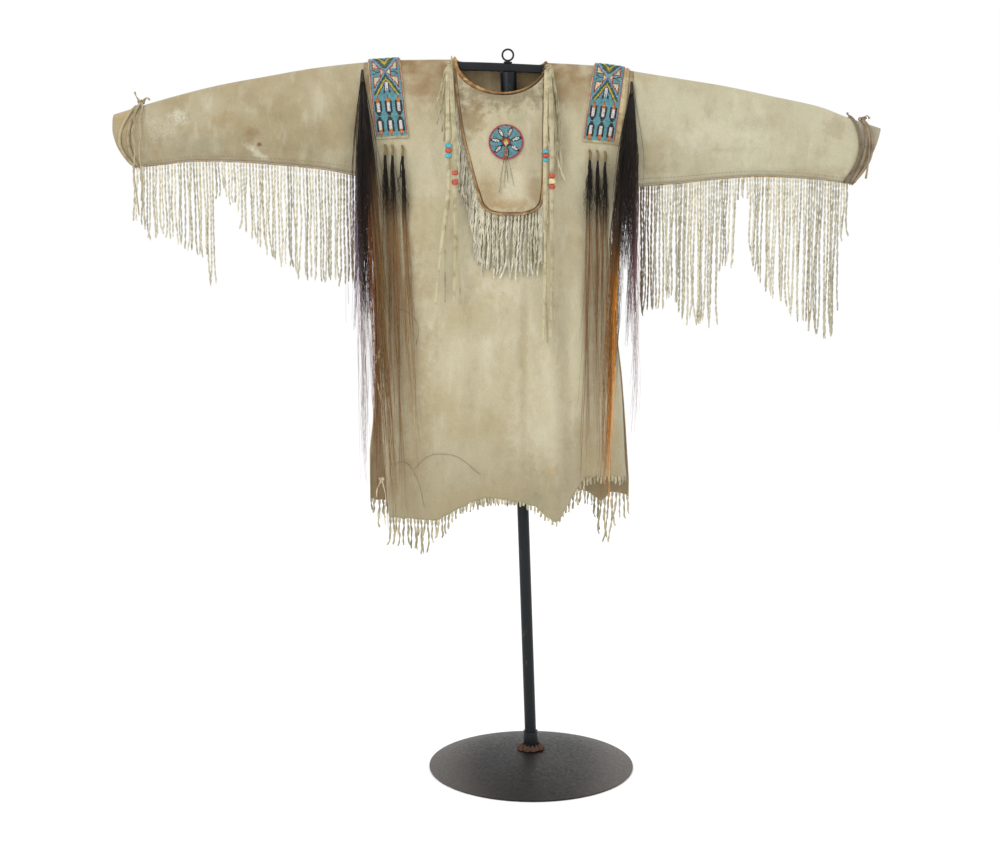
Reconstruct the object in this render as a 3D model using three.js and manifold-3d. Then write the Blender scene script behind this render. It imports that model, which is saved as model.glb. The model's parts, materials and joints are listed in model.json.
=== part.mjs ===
// A hide war shirt with beaded shoulder strips, a bib with a beaded rosette, fringe and hair
// locks, hung on a black metal display stand. Millimetres, +X to the viewer's right, -Y to the
// front of the shirt, +Z up. The origin is the centre of the stand's underside on the floor.
import * as THREE from "three";
import { mergeVertices } from "three/addons/utils/BufferGeometryUtils.js";
import Module from "manifold-3d";

const wasm = await Module();
wasm.setup();

// ---------------------------------------------------------------- driving dimensions
const HIDE = 2; // thickness of the hide
const SEAM = 0.3; // gap between two sewn pieces
const RIDGE_R = 16; // radius of the fold where the hide lies over the bar
const RIDGE_STEPS = 3; // rows that the quarter of that fold is drawn with
const NECK = { x: -68, halfWidth: 95, front: 72, back: 20, roll: 2.8 };
const ARMHOLE = { left: -350, right: 210 };
const ARM_DEPTH = 40; // half depth of the sleeve where it meets the body
const FRINGE = { root: 1.7, tip: 1.3, strip: 3.8, stripHeight: 4.4, gap: 1, hemGap: 2.6 };
const STAND = {
  lean: THREE.MathUtils.degToRad(2.01),
  baseRadius: 224,
  baseEdge: 4,
  baseHeight: 38,
  poleRadius: 12.5,
  socketRadius: 17,
  socketLength: 110,
  collarRadius: 16,
  collarHeight: 40,
  weldRadius: 30,
  weldHeight: 12,
  barDepth: 12,
  barHeight: 17,
  barDrop: 5, // from the shoulder line down to the top of the bar
  ringRadius: 11.5,
  ringWire: 2,
  barFrom: -815,
  barTo: 668,
  nutRadius: 9,
  nutHeight: 3.2,
};

// The line of the shoulders and the tops of the sleeves, cuff to cuff.
const SHOULDER = [
  { x: -876, z: 1413 },
  { x: -756, z: 1448 },
  { x: -654, z: 1473 },
  { x: -554, z: 1491 },
  { x: -453, z: 1508 },
  { x: -353, z: 1519 },
  { x: -277, z: 1524 },
  { x: -169, z: 1525 },
  { x: 32, z: 1518 },
  { x: 149, z: 1511 },
  { x: 224, z: 1499 },
  { x: 300, z: 1487 },
  { x: 400, z: 1471 },
  { x: 501, z: 1450 },
  { x: 602, z: 1428 },
  { x: 653, z: 1409 },
  { x: 729, z: 1384 },
];

// One row a sleeve. The seam is the closed line under the sleeve, armhole to cuff; the cuff's
// mouth bows out past the straight line between its ends by `bow`.
const SLEEVES = {
  left: {
    sign: -1,
    armhole: ARMHOLE.left,
    cuffTop: -876,
    cuffBottom: -805,
    bow: 26,
    cuffDepth: 25,
    seam: [
      { x: -850, z: 1304 },
      { x: -805, z: 1308 },
      { x: -700, z: 1318 },
      { x: -616, z: 1316 },
      { x: -532, z: 1310 },
      { x: -448, z: 1302 },
      { x: -350, z: 1284 },
    ],
    fringe: [
      { x: -842, tip: 1193 },
      { x: -771, tip: 1160 },
      { x: -722, tip: 1124 },
      { x: -712, tip: 1062 },
      { x: -686, tip: 1056 },
      { x: -678, tip: 1250 },
      { x: -643, tip: 1224 },
      { x: -627, tip: 1180 },
      { x: -594, tip: 1145 },
      { x: -527, tip: 1094 },
      { x: -485, tip: 1071 },
      { x: -360, tip: 1056 },
    ],
    fringeFrom: -806,
    fringeTo: -358,
    splay: -34,
  },
  right: {
    sign: 1,
    armhole: ARMHOLE.right,
    cuffTop: 729,
    cuffBottom: 665,
    bow: 3,
    cuffDepth: 27,
    seam: [
      { x: 210, z: 1265 },
      { x: 311, z: 1272 },
      { x: 395, z: 1281 },
      { x: 479, z: 1286 },
      { x: 564, z: 1283 },
      { x: 665, z: 1272 },
      { x: 700, z: 1266 },
    ],
    fringe: [
      { x: 217, tip: 1003 },
      { x: 264, tip: 1014 },
      { x: 289, tip: 1039 },
      { x: 315, tip: 988 },
      { x: 403, tip: 971 },
      { x: 418, tip: 1103 },
      { x: 430, tip: 1240 },
      { x: 455, tip: 1226 },
      { x: 468, tip: 1119 },
      { x: 493, tip: 1056 },
      { x: 571, tip: 986 },
      { x: 623, tip: 944 },
      { x: 646, tip: 960 },
      { x: 655, tip: 1155 },
      { x: 664, tip: 1225 },
    ],
    fringeFrom: 217,
    fringeTo: 664,
    splay: 0,
  },
};
const FRINGE_STRANDS = 38; // on each sleeve
const CUFF_PIECE_FROM = 0.93; // share of the right sleeve's length where its cuff is pieced on

// The two panels of the body. `left` and `right` are the side edges, `hem` the lower edge, and
// `edge` is how far each side edge stands from the middle plane below the armpit.
const PANELS = {
  front: {
    sign: -1,
    edge: { left: 5, right: SEAM / 2 },
    left: [
      { z: 1284, x: ARMHOLE.left },
      { z: 1254, x: -334 },
      { z: 1172, x: -325 },
      { z: 816, x: -324 },
      { z: 730, x: -321 },
      { z: 623, x: -314 },
      { z: 540, x: -307 },
    ],
    right: [
      { z: 1266, x: ARMHOLE.right },
      { z: 1240, x: 176 },
      { z: 1151, x: 164 },
      { z: 1026, x: 170 },
      { z: 858, x: 190 },
      { z: 666, x: 203 },
      { z: 540, x: 211 },
    ],
    hem: [
      { x: -310, z: 558 },
      { x: -213, z: 556 },
      { x: -166, z: 578 },
      { x: -90, z: 605 },
      { x: -40, z: 599 },
      { x: 0, z: 590 },
      { x: 48, z: 557 },
      { x: 68, z: 582 },
      { x: 91, z: 615 },
      { x: 120, z: 647 },
      { x: 167, z: 649 },
      { x: 211, z: 643 },
    ],
    folds: [
      { x: -262, width: 34, depth: -7, top: 1180, bottom: 540 },
      { x: -190, width: 36, depth: 5, top: 1120, bottom: 540 },
      { x: -95, width: 44, depth: -4, top: 1000, bottom: 560 },
      { x: 44, width: 36, depth: 15, top: 800, bottom: 540 },
      { x: 112, width: 30, depth: -11, top: 860, bottom: 560 },
      { x: 165, width: 26, depth: 6, top: 1150, bottom: 600 },
    ],
  },
  back: {
    sign: 1,
    edge: { left: 6, right: SEAM / 2 },
    left: [
      { z: 1284, x: ARMHOLE.left },
      { z: 1250, x: -340 },
      { z: 1023, x: -336 },
      { z: 805, x: -339 },
      { z: 717, x: -348 },
      { z: 651, x: -355 },
      { z: 590, x: -361 },
    ],
    right: [
      { z: 1266, x: ARMHOLE.right },
      { z: 1240, x: 180 },
      { z: 1151, x: 167 },
      { z: 1026, x: 173 },
      { z: 858, x: 193 },
      { z: 666, x: 208 },
      { z: 590, x: 213 },
    ],
    hem: [
      { x: -362, z: 598 },
      { x: -320, z: 588 },
      { x: -200, z: 580 },
      { x: -60, z: 592 },
      { x: 60, z: 606 },
      { x: 118, z: 608 },
      { x: 151, z: 586 },
      { x: 179, z: 607 },
      { x: 214, z: 602 },
    ],
    folds: [
      { x: -250, width: 40, depth: 7, top: 1150, bottom: 560 },
      { x: -140, width: 46, depth: -6, top: 1250, bottom: 560 },
      { x: -10, width: 50, depth: 6, top: 1000, bottom: 560 },
      { x: 90, width: 34, depth: -8, top: 1100, bottom: 560 },
      { x: 155, width: 30, depth: 6, top: 1000, bottom: 560 },
    ],
  },
};

// Half depth of the body along its middle, top to hem.
const BODY_DEPTH = [
  { z: 1512, depth: 16 },
  { z: 1499, depth: 21 },
  { z: 1470, depth: 30 },
  { z: 1420, depth: 41 },
  { z: 1350, depth: 50 },
  { z: 1250, depth: 57 },
  { z: 1100, depth: 61 },
  { z: 900, depth: 60 },
  { z: 700, depth: 57 },
  { z: 480, depth: 54 },
];

const BIB = {
  near: 8, // from the front panel to the bib's inner face
  crown: 6, // how much further its middle stands out
  edging: 2.6,
  outline: [
    { x: -162, z: 1516 },
    { x: -146, z: 1435 },
    { x: -134, z: 1375 },
    { x: -114, z: 1294 },
    { x: -105, z: 1253 },
    { x: -95, z: 1222 },
    { x: -80, z: 1208 },
    { x: -58, z: 1204 },
    { x: -27, z: 1204 },
    { x: 2, z: 1211 },
    { x: 16, z: 1226 },
    { x: 20, z: 1253 },
    { x: 22, z: 1334 },
    { x: 23, z: 1435 },
    { x: 25, z: 1512 },
  ],
};
const ROSETTE = { x: -56, z: 1351, radius: 36, thickness: 3 };

// Beaded strips over the shoulders: the x of each long edge at the ridge and at the lower end.
const STRIPS = {
  left: { length: 168, top: [-343, -279], end: [-325, -259], hideTop: [-349.5, -276], hideEnd: [-333, -256] },
  right: { length: 166, top: [130, 192], end: [104, 168], hideTop: [127, 202], hideEnd: [101, 185] },
};
const STRIP_LAYERS = { hide: [2, 3.4], beads: [4.1, 6.1] };

// Bib fringe: where each strand leaves the bib's edge (share of the outline), and where it ends.
const BIB_FRINGE = [
  { from: 0.08, to: 0.36, strands: 9, bends: 3, length: 128, lean: -10 },
  { from: 0.4, to: 0.62, strands: 16, bends: 2, length: 134, lean: -6 },
  { from: 0.655, to: 0.76, strands: 3, bends: 2, length: 112, lean: 8 },
  { from: 0.87, to: 0.965, strands: 4, bends: 3, length: 150, lean: 33 },
];

const SHORTEST_NIB = 14;
// Fringe along the hems: a row a stretch, with the tips' height at each end.
const HEM_FRINGE = {
  front: [
    { from: -304, to: -231, strands: 10, tipFrom: 499, tipTo: 480 },
    { from: -216, to: -178, strands: 5, tipFrom: 508, tipTo: 532 },
    { from: -168, to: -98, strands: 7, tipFrom: 556, tipTo: 586 },
    { from: 18, to: 104, strands: 7, tipFrom: 566, tipTo: 598 },
    { from: 116, to: 202, strands: 5, tipFrom: 628, tipTo: 632 },
  ],
  back: [
    { from: -354, to: -326, strands: 4, tipFrom: 572, tipTo: 534 },
    { from: -300, to: 90, strands: 12, tipFrom: 545, tipTo: 572 },
    { from: 132, to: 180, strands: 6, tipFrom: 540, tipTo: 496 },
    { from: 188, to: 208, strands: 3, tipFrom: 552, tipTo: 558 },
  ],
};

// Hair locks. A big lock hangs at the head of each sleeve, three small ones under each strip.
// A row of `strands` is one bundle: where its middle and its end hang, and how thick it is.
const BIG_LOCKS = {
  left: {
    root: [-353, -34, 1500],
    strands: [
      { mid: [-366, -66, 1330], end: [-372, -60, 960], r: 7 },
      { mid: [-349, -72, 1310], end: [-340, -68, 1000], r: 9 },
      { mid: [-333, -66, 1320], end: [-300, -72, 800], r: 7 },
      { mid: [-356, -58, 1260], end: [-361, -30, 600], r: 3.2 },
      { mid: [-340, -78, 1240], end: [-311, -74, 520], r: 3.6 },
      { mid: [-326, -74, 1230], end: [-283, -78, 530], r: 3.2 },
    ],
  },
  right: {
    root: [204, -34, 1476],
    strands: [
      { mid: [214, -66, 1310], end: [200, -60, 930], r: 7 },
      { mid: [194, -72, 1300], end: [186, -72, 980], r: 9 },
      { mid: [176, -66, 1320], end: [164, -72, 820], r: 7 },
      { mid: [211, -58, 1230], end: [216, -50, 730], r: 3.2 },
      { mid: [192, -78, 1220], end: [182, -78, 600], r: 4.4 },
      { mid: [172, -78, 1220], end: [163, -76, 600], r: 3.2 },
    ],
  },
};
const SMALL_LOCKS = {
  left: [
    { x: -308, z: 1348, end: -304, reach: 610 },
    { x: -293, z: 1347, end: -277, reach: 560 },
    { x: -272, z: 1346, end: -250, reach: 620 },
  ],
  right: [
    { x: 117, z: 1337, end: 123, reach: 620 },
    { x: 133, z: 1336, end: 144, reach: 600 },
    { x: 149, z: 1334, end: 158, reach: 640 },
  ],
};

// Neck tassels: four thongs from a knot at each end of the neck. The first two pass through the
// upper beads and the other two through the lower ones.
const TASSELS = {
  left: {
    knot: [-173, -34, 1511],
    thongs: [
      { beads: -175.2, end: [-203, 1018] },
      { beads: -172, end: [-182, 1022] },
      { beads: -162.2, end: [-164, 1026] },
      { beads: -159, end: [-150, 1019] },
    ],
    beads: [
      { x: -173.6, z: 1342, half: 4.6, name: "turquoise_upper" },
      { x: -173.6, z: 1332, half: 4.6, name: "red_middle" },
      { x: -173.6, z: 1322, half: 4.6, name: "turquoise_lower" },
      { x: -160.6, z: 1287, half: 4.6, name: "red_upper" },
      { x: -160.6, z: 1268, half: 5.6, name: "red_lower" },
    ],
  },
  right: {
    knot: [31, -35, 1505],
    thongs: [
      { beads: 23.4, end: [21, 946] },
      { beads: 26.6, end: [30, 938] },
      { beads: 36.4, end: [36, 944] },
      { beads: 39.6, end: [46, 940] },
    ],
    beads: [
      { x: 25, z: 1330, half: 3.4, name: "turquoise_upper" },
      { x: 25, z: 1321.6, half: 4.2, name: "red_middle" },
      { x: 25, z: 1313, half: 3.4, name: "turquoise_lower" },
      { x: 38, z: 1281, half: 4.6, name: "red_upper" },
      { x: 38, z: 1270, half: 5.6, name: "cream_middle" },
      { x: 38, z: 1259, half: 4.6, name: "red_lower" },
    ],
  },
};
const TASSEL_Y = -92; // where the thongs hang once they are clear of the shoulders
const THONG_R = 1.45;
const LARGE_BEAD = { radius: 7, bore: 3.6, gap: 0.4 };

// Thongs tied round the cuffs and through the open left side; each end hangs free.
const TIE_R = 1.5;
const CUFF_TIES = {
  left: { top: -822, bottom: -800 },
  right: { top: 690, bottom: 661 },
};
const LOOSE_ENDS = {
  cuff_tie_end_long: [
    [-829, -31, 1392],
    [-833, -34, 1376],
    [-828, -36, 1340],
    [-831, -37, 1290],
    [-826, -36, 1240],
    [-823, -35, 1202],
  ],
  cuff_tie_end_short: [
    [-818, -31.5, 1392],
    [-815, -34, 1372],
    [-819, -36, 1330],
    [-814, -36, 1280],
    [-818, -36, 1232],
  ],
  side_tie_end_upper: [
    [-333.5, -11, 1170],
    [-337, -15, 1140],
    [-334, -17, 1090],
    [-336, -17, 1040],
    [-333, -15, 985],
  ],
};
const SIDE_KNOTS = [
  { x: -330, z: 1176 },
  { x: -329, z: 905 },
  { x: -323, z: 640 },
];

const FINISH = {
  hide: { color: 0xb9b092, roughness: 0.95, metalness: 0 },
  darkHide: { color: 0xa98b62, roughness: 0.9, metalness: 0 },
  thong: { color: 0xd2cdb4, roughness: 0.9, metalness: 0 },
  hair: { color: 0x1d1612, roughness: 0.6, metalness: 0 },
  beadwork: { color: 0x4b9fa8, roughness: 0.3, metalness: 0 },
  turquoise: { color: 0x1f8ea6, roughness: 0.25, metalness: 0 },
  red: { color: 0xb2402c, roughness: 0.25, metalness: 0 },
  cream: { color: 0xd8c9a0, roughness: 0.3, metalness: 0 },
  black: { color: 0x202225, roughness: 0.5, metalness: 0.3 },
};

// ---------------------------------------------------------------- tables and curves
// The smooth curve through a table's rows: gives column `to` at any value of column `from`.
function through(rows, from, to) {
  const table = [...rows].sort((a, b) => a[from] - b[from]);
  const last = table.length - 1;
  const slope = (i) => (table[i + 1][to] - table[i][to]) / (table[i + 1][from] - table[i][from]);
  const tangent = table.map((_, i) => {
    if (i === 0) return slope(0);
    if (i === last) return slope(last - 1);
    const product = slope(i - 1) * slope(i);
    return product <= 0 ? 0 : (2 * product) / (slope(i - 1) + slope(i));
  });
  return (at) => {
    if (at <= table[0][from]) return table[0][to];
    if (at >= table[last][from]) return table[last][to];
    const i = table.findIndex((row, k) => k < last && at <= table[k + 1][from]);
    const span = table[i + 1][from] - table[i][from];
    const t = (at - table[i][from]) / span;
    const s = 1 - t;
    return (
      s * s * (1 + 2 * t) * table[i][to] +
      t * t * (1 + 2 * s) * table[i + 1][to] +
      s * t * (s * tangent[i] - t * tangent[i + 1]) * span
    );
  };
}

const lerp = THREE.MathUtils.lerp;
const smoothstep = (at, low, high) => THREE.MathUtils.smoothstep(at, low, high);
const vec = (x, y, z) => new THREE.Vector3(x, y, z);
const steps = (count) => Array.from({ length: count + 1 }, (_, i) => i / count);
// The point of a line of straight stretches at a share of its count of stretches.
function onLine(points, share) {
  const at = THREE.MathUtils.clamp(share, 0, 1) * (points.length - 1);
  const k = Math.min(Math.floor(at), points.length - 2);
  return points[k].clone().lerp(points[k + 1], at - k);
}
// A repeatable spread of values in -1..1, for strands that hang unevenly.
const uneven = (i, seed) => Math.sin(i * 12.9898 + seed * 78.233) * Math.cos(i * 4.1414 + seed * 3.7);

const shoulderZ = through(SHOULDER, "x", "z");

// Half depth of hide that hangs in a loop over the bar: `drop` below the ridge, in a loop of
// the given height that closes at its lower edge.
function hang(drop, height, deepest) {
  if (drop < RIDGE_R) return Math.sqrt(Math.max(0, RIDGE_R ** 2 - (RIDGE_R - drop) ** 2));
  const t = Math.min(1, (drop - RIDGE_R) / (height - RIDGE_R));
  const belly = RIDGE_R + (deepest - RIDGE_R) * Math.sin(Math.PI * t ** 0.8);
  return belly * Math.sqrt(Math.max(0, 1 - t ** 5));
}

// ---------------------------------------------------------------- closed meshes
function closedGeometry(points, triangles) {
  let volume = 0;
  for (const [a, b, c] of triangles) volume += points[a].dot(points[b].clone().cross(points[c]));
  const faces = volume < 0 ? triangles.map(([a, b, c]) => [a, c, b]) : triangles;
  const geometry = new THREE.BufferGeometry().setFromPoints(points);
  geometry.setIndex(faces.flat());
  return geometry;
}

// A solid through a list of rings that all have the same number of points.
function loft(rings, closedLoop = false) {
  const sides = rings[0].length;
  const triangles = [];
  const last = closedLoop ? rings.length : rings.length - 1;
  for (let i = 0; i < last; i++) {
    const a = i * sides;
    const b = ((i + 1) % rings.length) * sides;
    for (let k = 0; k < sides; k++) {
      const n = (k + 1) % sides;
      triangles.push([a + k, b + n, b + k], [a + k, a + n, b + n]);
    }
  }
  if (!closedLoop) {
    const end = (rings.length - 1) * sides;
    for (let k = 1; k < sides - 1; k++) triangles.push([0, k + 1, k], [end, end + k, end + k + 1]);
  }
  return closedGeometry(rings.flat(), triangles);
}

// A round tube along points, with one radius or one for each point.
function tube(points, radius, sides, closedLoop = false, turn = 0) {
  const count = points.length;
  const rings = points.map((p, i) => {
    const before = points[closedLoop ? (i + count - 1) % count : Math.max(0, i - 1)];
    const after = points[closedLoop ? (i + 1) % count : Math.min(count - 1, i + 1)];
    const along = after.clone().sub(before).normalize();
    const across = Math.abs(along.y) > 0.9 ? vec(1, 0, 0) : vec(0, 1, 0);
    const u = across.clone().cross(along).normalize();
    const v = along.clone().cross(u);
    const r = Array.isArray(radius) ? radius[i] : radius;
    return steps(sides).slice(0, -1).map((k) => {
      const angle = 2 * Math.PI * k + turn;
      return p.clone().addScaledVector(u, r * Math.cos(angle)).addScaledVector(v, r * Math.sin(angle));
    });
  });
  return loft(rings, closedLoop);
}

// A wall over a grid of points: `outer` and `inner` are grids of the same size. It is open at
// both ends and, unless `wraps`, along both sides.
function wall(outer, inner, wraps = false) {
  const rows = outer.length;
  const columns = outer[0].length;
  const size = rows * columns;
  const at = (i, k, side) => side * size + i * columns + (k % columns);
  const triangles = [];
  const quad = (a, b, c, d) => triangles.push([a, b, c], [a, c, d]);
  const across = wraps ? columns : columns - 1;
  for (let i = 0; i < rows - 1; i++)
    for (let k = 0; k < across; k++) {
      quad(at(i, k, 0), at(i, k + 1, 0), at(i + 1, k + 1, 0), at(i + 1, k, 0));
      quad(at(i, k, 1), at(i + 1, k, 1), at(i + 1, k + 1, 1), at(i, k + 1, 1));
    }
  for (let k = 0; k < across; k++) {
    quad(at(0, k, 0), at(0, k, 1), at(0, k + 1, 1), at(0, k + 1, 0));
    const end = rows - 1;
    quad(at(end, k, 0), at(end, k + 1, 0), at(end, k + 1, 1), at(end, k, 1));
  }
  if (!wraps)
    for (let i = 0; i < rows - 1; i++) {
      const side = columns - 1;
      quad(at(i, 0, 0), at(i + 1, 0, 0), at(i + 1, 0, 1), at(i, 0, 1));
      quad(at(i, side, 0), at(i, side, 1), at(i + 1, side, 1), at(i + 1, side, 0));
    }
  return closedGeometry([...outer.flat(), ...inner.flat()], triangles);
}

// A wall on the surface place(u, v), from `near` to `far` along its normal. `facing` is 1 or -1,
// so that the normal points out of the shirt; `limit` moves a point back into its own side.
function layer(place, us, vs, near, far, facing, limit = (p) => p) {
  const step = 1e-3;
  const grid = (distance) =>
    vs.map((v) =>
      us.map((u) => {
        const du = place(Math.min(1, u + step), v).sub(place(Math.max(0, u - step), v));
        const dv = place(u, Math.min(1, v + step)).sub(place(u, Math.max(0, v - step)));
        const normal = du.cross(dv).normalize().multiplyScalar(facing);
        return limit(place(u, v).addScaledVector(normal, distance));
      }),
    );
  return wall(grid(far), grid(near));
}

// ---------------------------------------------------------------- joining and cutting
function toManifold(geometry) {
  const bare = geometry.clone();
  bare.deleteAttribute("normal");
  bare.deleteAttribute("uv");
  const merged = mergeVertices(bare, 1e-4);
  return new wasm.Manifold(
    new wasm.Mesh({
      numProp: 3,
      vertProperties: new Float32Array(merged.attributes.position.array),
      triVerts: new Uint32Array(merged.index.array),
    }),
  );
}

function fromManifold(solid) {
  const mesh = solid.getMesh();
  const geometry = new THREE.BufferGeometry();
  geometry.setAttribute("position", new THREE.BufferAttribute(new Float32Array(mesh.vertProperties), 3));
  geometry.setIndex([...mesh.triVerts]);
  return geometry;
}

const join = (parts) => fromManifold(parts.map(toManifold).reduce((a, b) => a.add(b)));
const cut = (body, tool) => fromManifold(toManifold(body).subtract(toManifold(tool)));
const keepInside = (body, tool) => fromManifold(toManifold(body).intersect(toManifold(tool)));

// A prism of an outline drawn in X and Z, from y = `from` to y = `to`.
function prism(outline, from, to) {
  const shape = new THREE.Shape(outline.map(({ x, z }) => new THREE.Vector2(x, z)));
  const geometry = new THREE.ExtrudeGeometry(shape, { depth: to - from, bevelEnabled: false });
  return geometry.rotateX(Math.PI / 2).translate(0, to, 0);
}

const root = new THREE.Group();
function add(name, geometry, finish) {
  geometry.computeVertexNormals();
  const mesh = new THREE.Mesh(geometry, new THREE.MeshStandardMaterial(finish));
  mesh.name = name;
  root.add(mesh);
}

// ---------------------------------------------------------------- the body's surface
for (const panel of Object.values(PANELS)) {
  panel.leftX = through(panel.left, "z", "x");
  panel.rightX = through(panel.right, "z", "x");
  panel.hemZ = through(panel.hem, "x", "z");
}
const middleDepth = through(BODY_DEPTH, "z", "depth");

// Half depth of a side edge: the sleeve's own depth down to the armpit, then the side seam's.
function edgeDepth(z, side, panel) {
  const armhole = ARMHOLE[side];
  const top = shoulderZ(armhole);
  const armpit = through(SLEEVES[side].seam, "x", "z")(armhole);
  return z > armpit ? Math.max(panel.edge[side], hang(top - z, top - armpit, ARM_DEPTH)) : panel.edge[side];
}

function bodyDepth(panel, x, z) {
  const drop = shoulderZ(x) - z;
  if (drop < RIDGE_R) return hang(drop, 1000, RIDGE_R);
  const u = THREE.MathUtils.clamp((x - panel.leftX(z)) / (panel.rightX(z) - panel.leftX(z)), 0, 1);
  const rounding = lerp(0.5, 1, smoothstep(z, 1180, 1330));
  const share = Math.sin(Math.PI * u) ** rounding;
  const edge = lerp(edgeDepth(z, "left", panel), edgeDepth(z, "right", panel), u);
  let depth = lerp(edge, middleDepth(z), share);
  for (const fold of panel.folds) {
    const across = Math.exp(-(((x - fold.x) / fold.width) ** 2));
    const down = smoothstep(fold.top - z, 0, 0.5 * (fold.top - fold.bottom));
    depth += fold.depth * across * down * Math.min(1, share * 1.5);
  }
  const start = smoothstep(drop, RIDGE_R, 3 * RIDGE_R);
  return lerp(Math.max(RIDGE_R, Math.min(depth, RIDGE_R + drop)), depth, start);
}

// A point of a panel: u across from left to right, v from the ridge (0) to the hem (1). The
// first rows follow the round fold over the bar.
const PANEL_ROWS = 17;
const PANEL_COLUMNS = 18;
const HEM_POINT = 0.694; // a column of its own for the low point of the front's hem
const panelColumns = [...steps(PANEL_COLUMNS), HEM_POINT].sort((a, b) => a - b);
const foldShare = RIDGE_STEPS / PANEL_ROWS;
function panelPoint(panel, u, v) {
  const top = shoulderZ(lerp(ARMHOLE.left, ARMHOLE.right, u));
  const hemX = lerp(panel.leftX(panel.hem[0].z), panel.rightX(panel.hem.at(-1).z), u);
  const height = top - panel.hemZ(hemX);
  const drop =
    v < foldShare
      ? RIDGE_R * (1 - Math.cos(((v / foldShare) * Math.PI) / 2))
      : lerp(RIDGE_R, height, (v - foldShare) / (1 - foldShare));
  const z = top - drop;
  const x = lerp(panel.leftX(z), panel.rightX(z), u);
  return vec(x, panel.sign * bodyDepth(panel, x, shoulderZ(x) - drop < z ? z : shoulderZ(x) - drop), z);
}

function ownSide(panel) {
  return (p) => {
    p.y = panel.sign * Math.max(SEAM / 2, panel.sign * p.y);
    p.x = THREE.MathUtils.clamp(p.x, ARMHOLE.left + SEAM / 2, ARMHOLE.right - SEAM / 2);
    return p;
  };
}

const NECK_POINTS = 14;
function neckCutter(depthBelow, grow, from, to) {
  const outline = steps(NECK_POINTS).map((t) => {
    const angle = Math.PI * t;
    const x = NECK.x - (NECK.halfWidth + grow) * Math.cos(angle);
    return { x, z: shoulderZ(x) - (depthBelow + grow) * Math.sin(angle) };
  });
  const above = shoulderZ(NECK.x) + 60;
  return prism([{ x: outline[0].x, z: above }, ...outline, { x: outline.at(-1).x, z: above }], from, to);
}

function bodyPanel(name, panel, neckDepth) {
  const place = (u, v) => panelPoint(panel, u, v);
  const blank = layer(place, panelColumns, steps(PANEL_ROWS), -HIDE, 0, panel.sign, ownSide(panel));
  const reach = panel.sign < 0 ? [-200, -0.05] : [0.05, 200];
  add(name, cut(blank, neckCutter(neckDepth, NECK.roll + 0.6, ...reach)), FINISH.hide);
}
bodyPanel("front", PANELS.front, NECK.front);
bodyPanel("back", PANELS.back, NECK.back);

// The roll round the neck: along the bib's upper edge in front and the back's edge behind.
const NECK_TURN = [0, 2, 6, 13, 26, 44, 66, 90]; // degrees from the end of the neck to its middle
function neckHalf(panel, deep, outward) {
  const turns = [...NECK_TURN, ...NECK_TURN.slice(1, -1).reverse().map((turn) => 180 - turn)];
  return turns.map((turn) => {
    const angle = THREE.MathUtils.degToRad(turn);
    const x = NECK.x + panel.sign * NECK.halfWidth * Math.cos(angle);
    const drop = deep * Math.sin(angle);
    const depth = bodyDepth(panel, x, shoulderZ(x) - drop) + outward * smoothstep(drop, 4, 30);
    return vec(x, panel.sign * depth, shoulderZ(x) - drop + 1.4);
  });
}
const neckLine = [
  ...neckHalf(PANELS.front, NECK.front, BIB.near / 2),
  vec(NECK.x + NECK.halfWidth, 0, shoulderZ(NECK.x + NECK.halfWidth) + 1.4),
  ...neckHalf(PANELS.back, NECK.back, -HIDE / 2).slice(1),
];
add("neck_roll", tube(neckLine, NECK.roll, 5, true), FINISH.darkHide);

// ---------------------------------------------------------------- bib
const bibY = (x, z) => {
  const across = Math.sin(Math.PI * THREE.MathUtils.clamp((x + 165) / 192, 0, 1));
  const down = Math.sin(Math.PI * THREE.MathUtils.clamp((1530 - z) / 340, 0, 1));
  return -bodyDepth(PANELS.front, x, z) - BIB.crown * across * down;
};
const bibCurve = new THREE.CatmullRomCurve3(BIB.outline.map(({ x, z }) => vec(x, 0, z)));
function bibEdge(share, outward, forward) {
  const p = bibCurve.getPointAt(share);
  const along = bibCurve.getTangentAt(share);
  const out = vec(along.z, 0, -along.x); // to the right of the way down the left edge, so outward
  const x = p.x + out.x * outward;
  const z = p.z + out.z * outward;
  return vec(x, bibY(x, z) - forward, z);
}
{
  const place = (u, v) => {
    const x = lerp(-172, 36, u);
    const z = lerp(1509, 1196, v);
    return vec(x, bibY(x, z), z);
  };
  const sheet = layer(place, steps(7), steps(10), BIB.near, BIB.near + HIDE, -1);
  const outline = steps(28).map((t) => bibEdge(t, -BIB.edging - 0.9, 0));
  const shaped = keepInside(sheet, prism(outline, -200, 0));
  add("bib", cut(shaped, neckCutter(NECK.front, NECK.roll + 0.6, -200, 0)), FINISH.hide);
  const edging = steps(28).map((t) => bibEdge(lerp(0.045, 0.955, t), 0, BIB.near + 1.2));
  add("bib_edging", tube(edging, BIB.edging, 5), FINISH.darkHide);
}

// ---------------------------------------------------------------- fringe
// A strip of rectangular section along points, with strands that hang from it.
function strip(points, thick, high) {
  return loft(
    points.map((p) => [
      vec(p.x, p.y - thick / 2, p.z - high / 2),
      vec(p.x, p.y + thick / 2, p.z - high / 2),
      vec(p.x, p.y + thick / 2, p.z + high / 2),
      vec(p.x, p.y - thick / 2, p.z + high / 2),
    ]),
  );
}
// One strand from `from` to `to`, hanging in a slight wave.
function strand(from, to, index, wave = 2.5, root = FRINGE.root, tip = FRINGE.tip) {
  const middle = from.clone().lerp(to, 0.45);
  middle.x += wave * uneven(index, 1);
  middle.y += wave * uneven(index, 2);
  return tube([from, middle, to], [root, lerp(root, tip, 0.3), tip], 3, false, 2 * uneven(index, 3));
}

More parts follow.
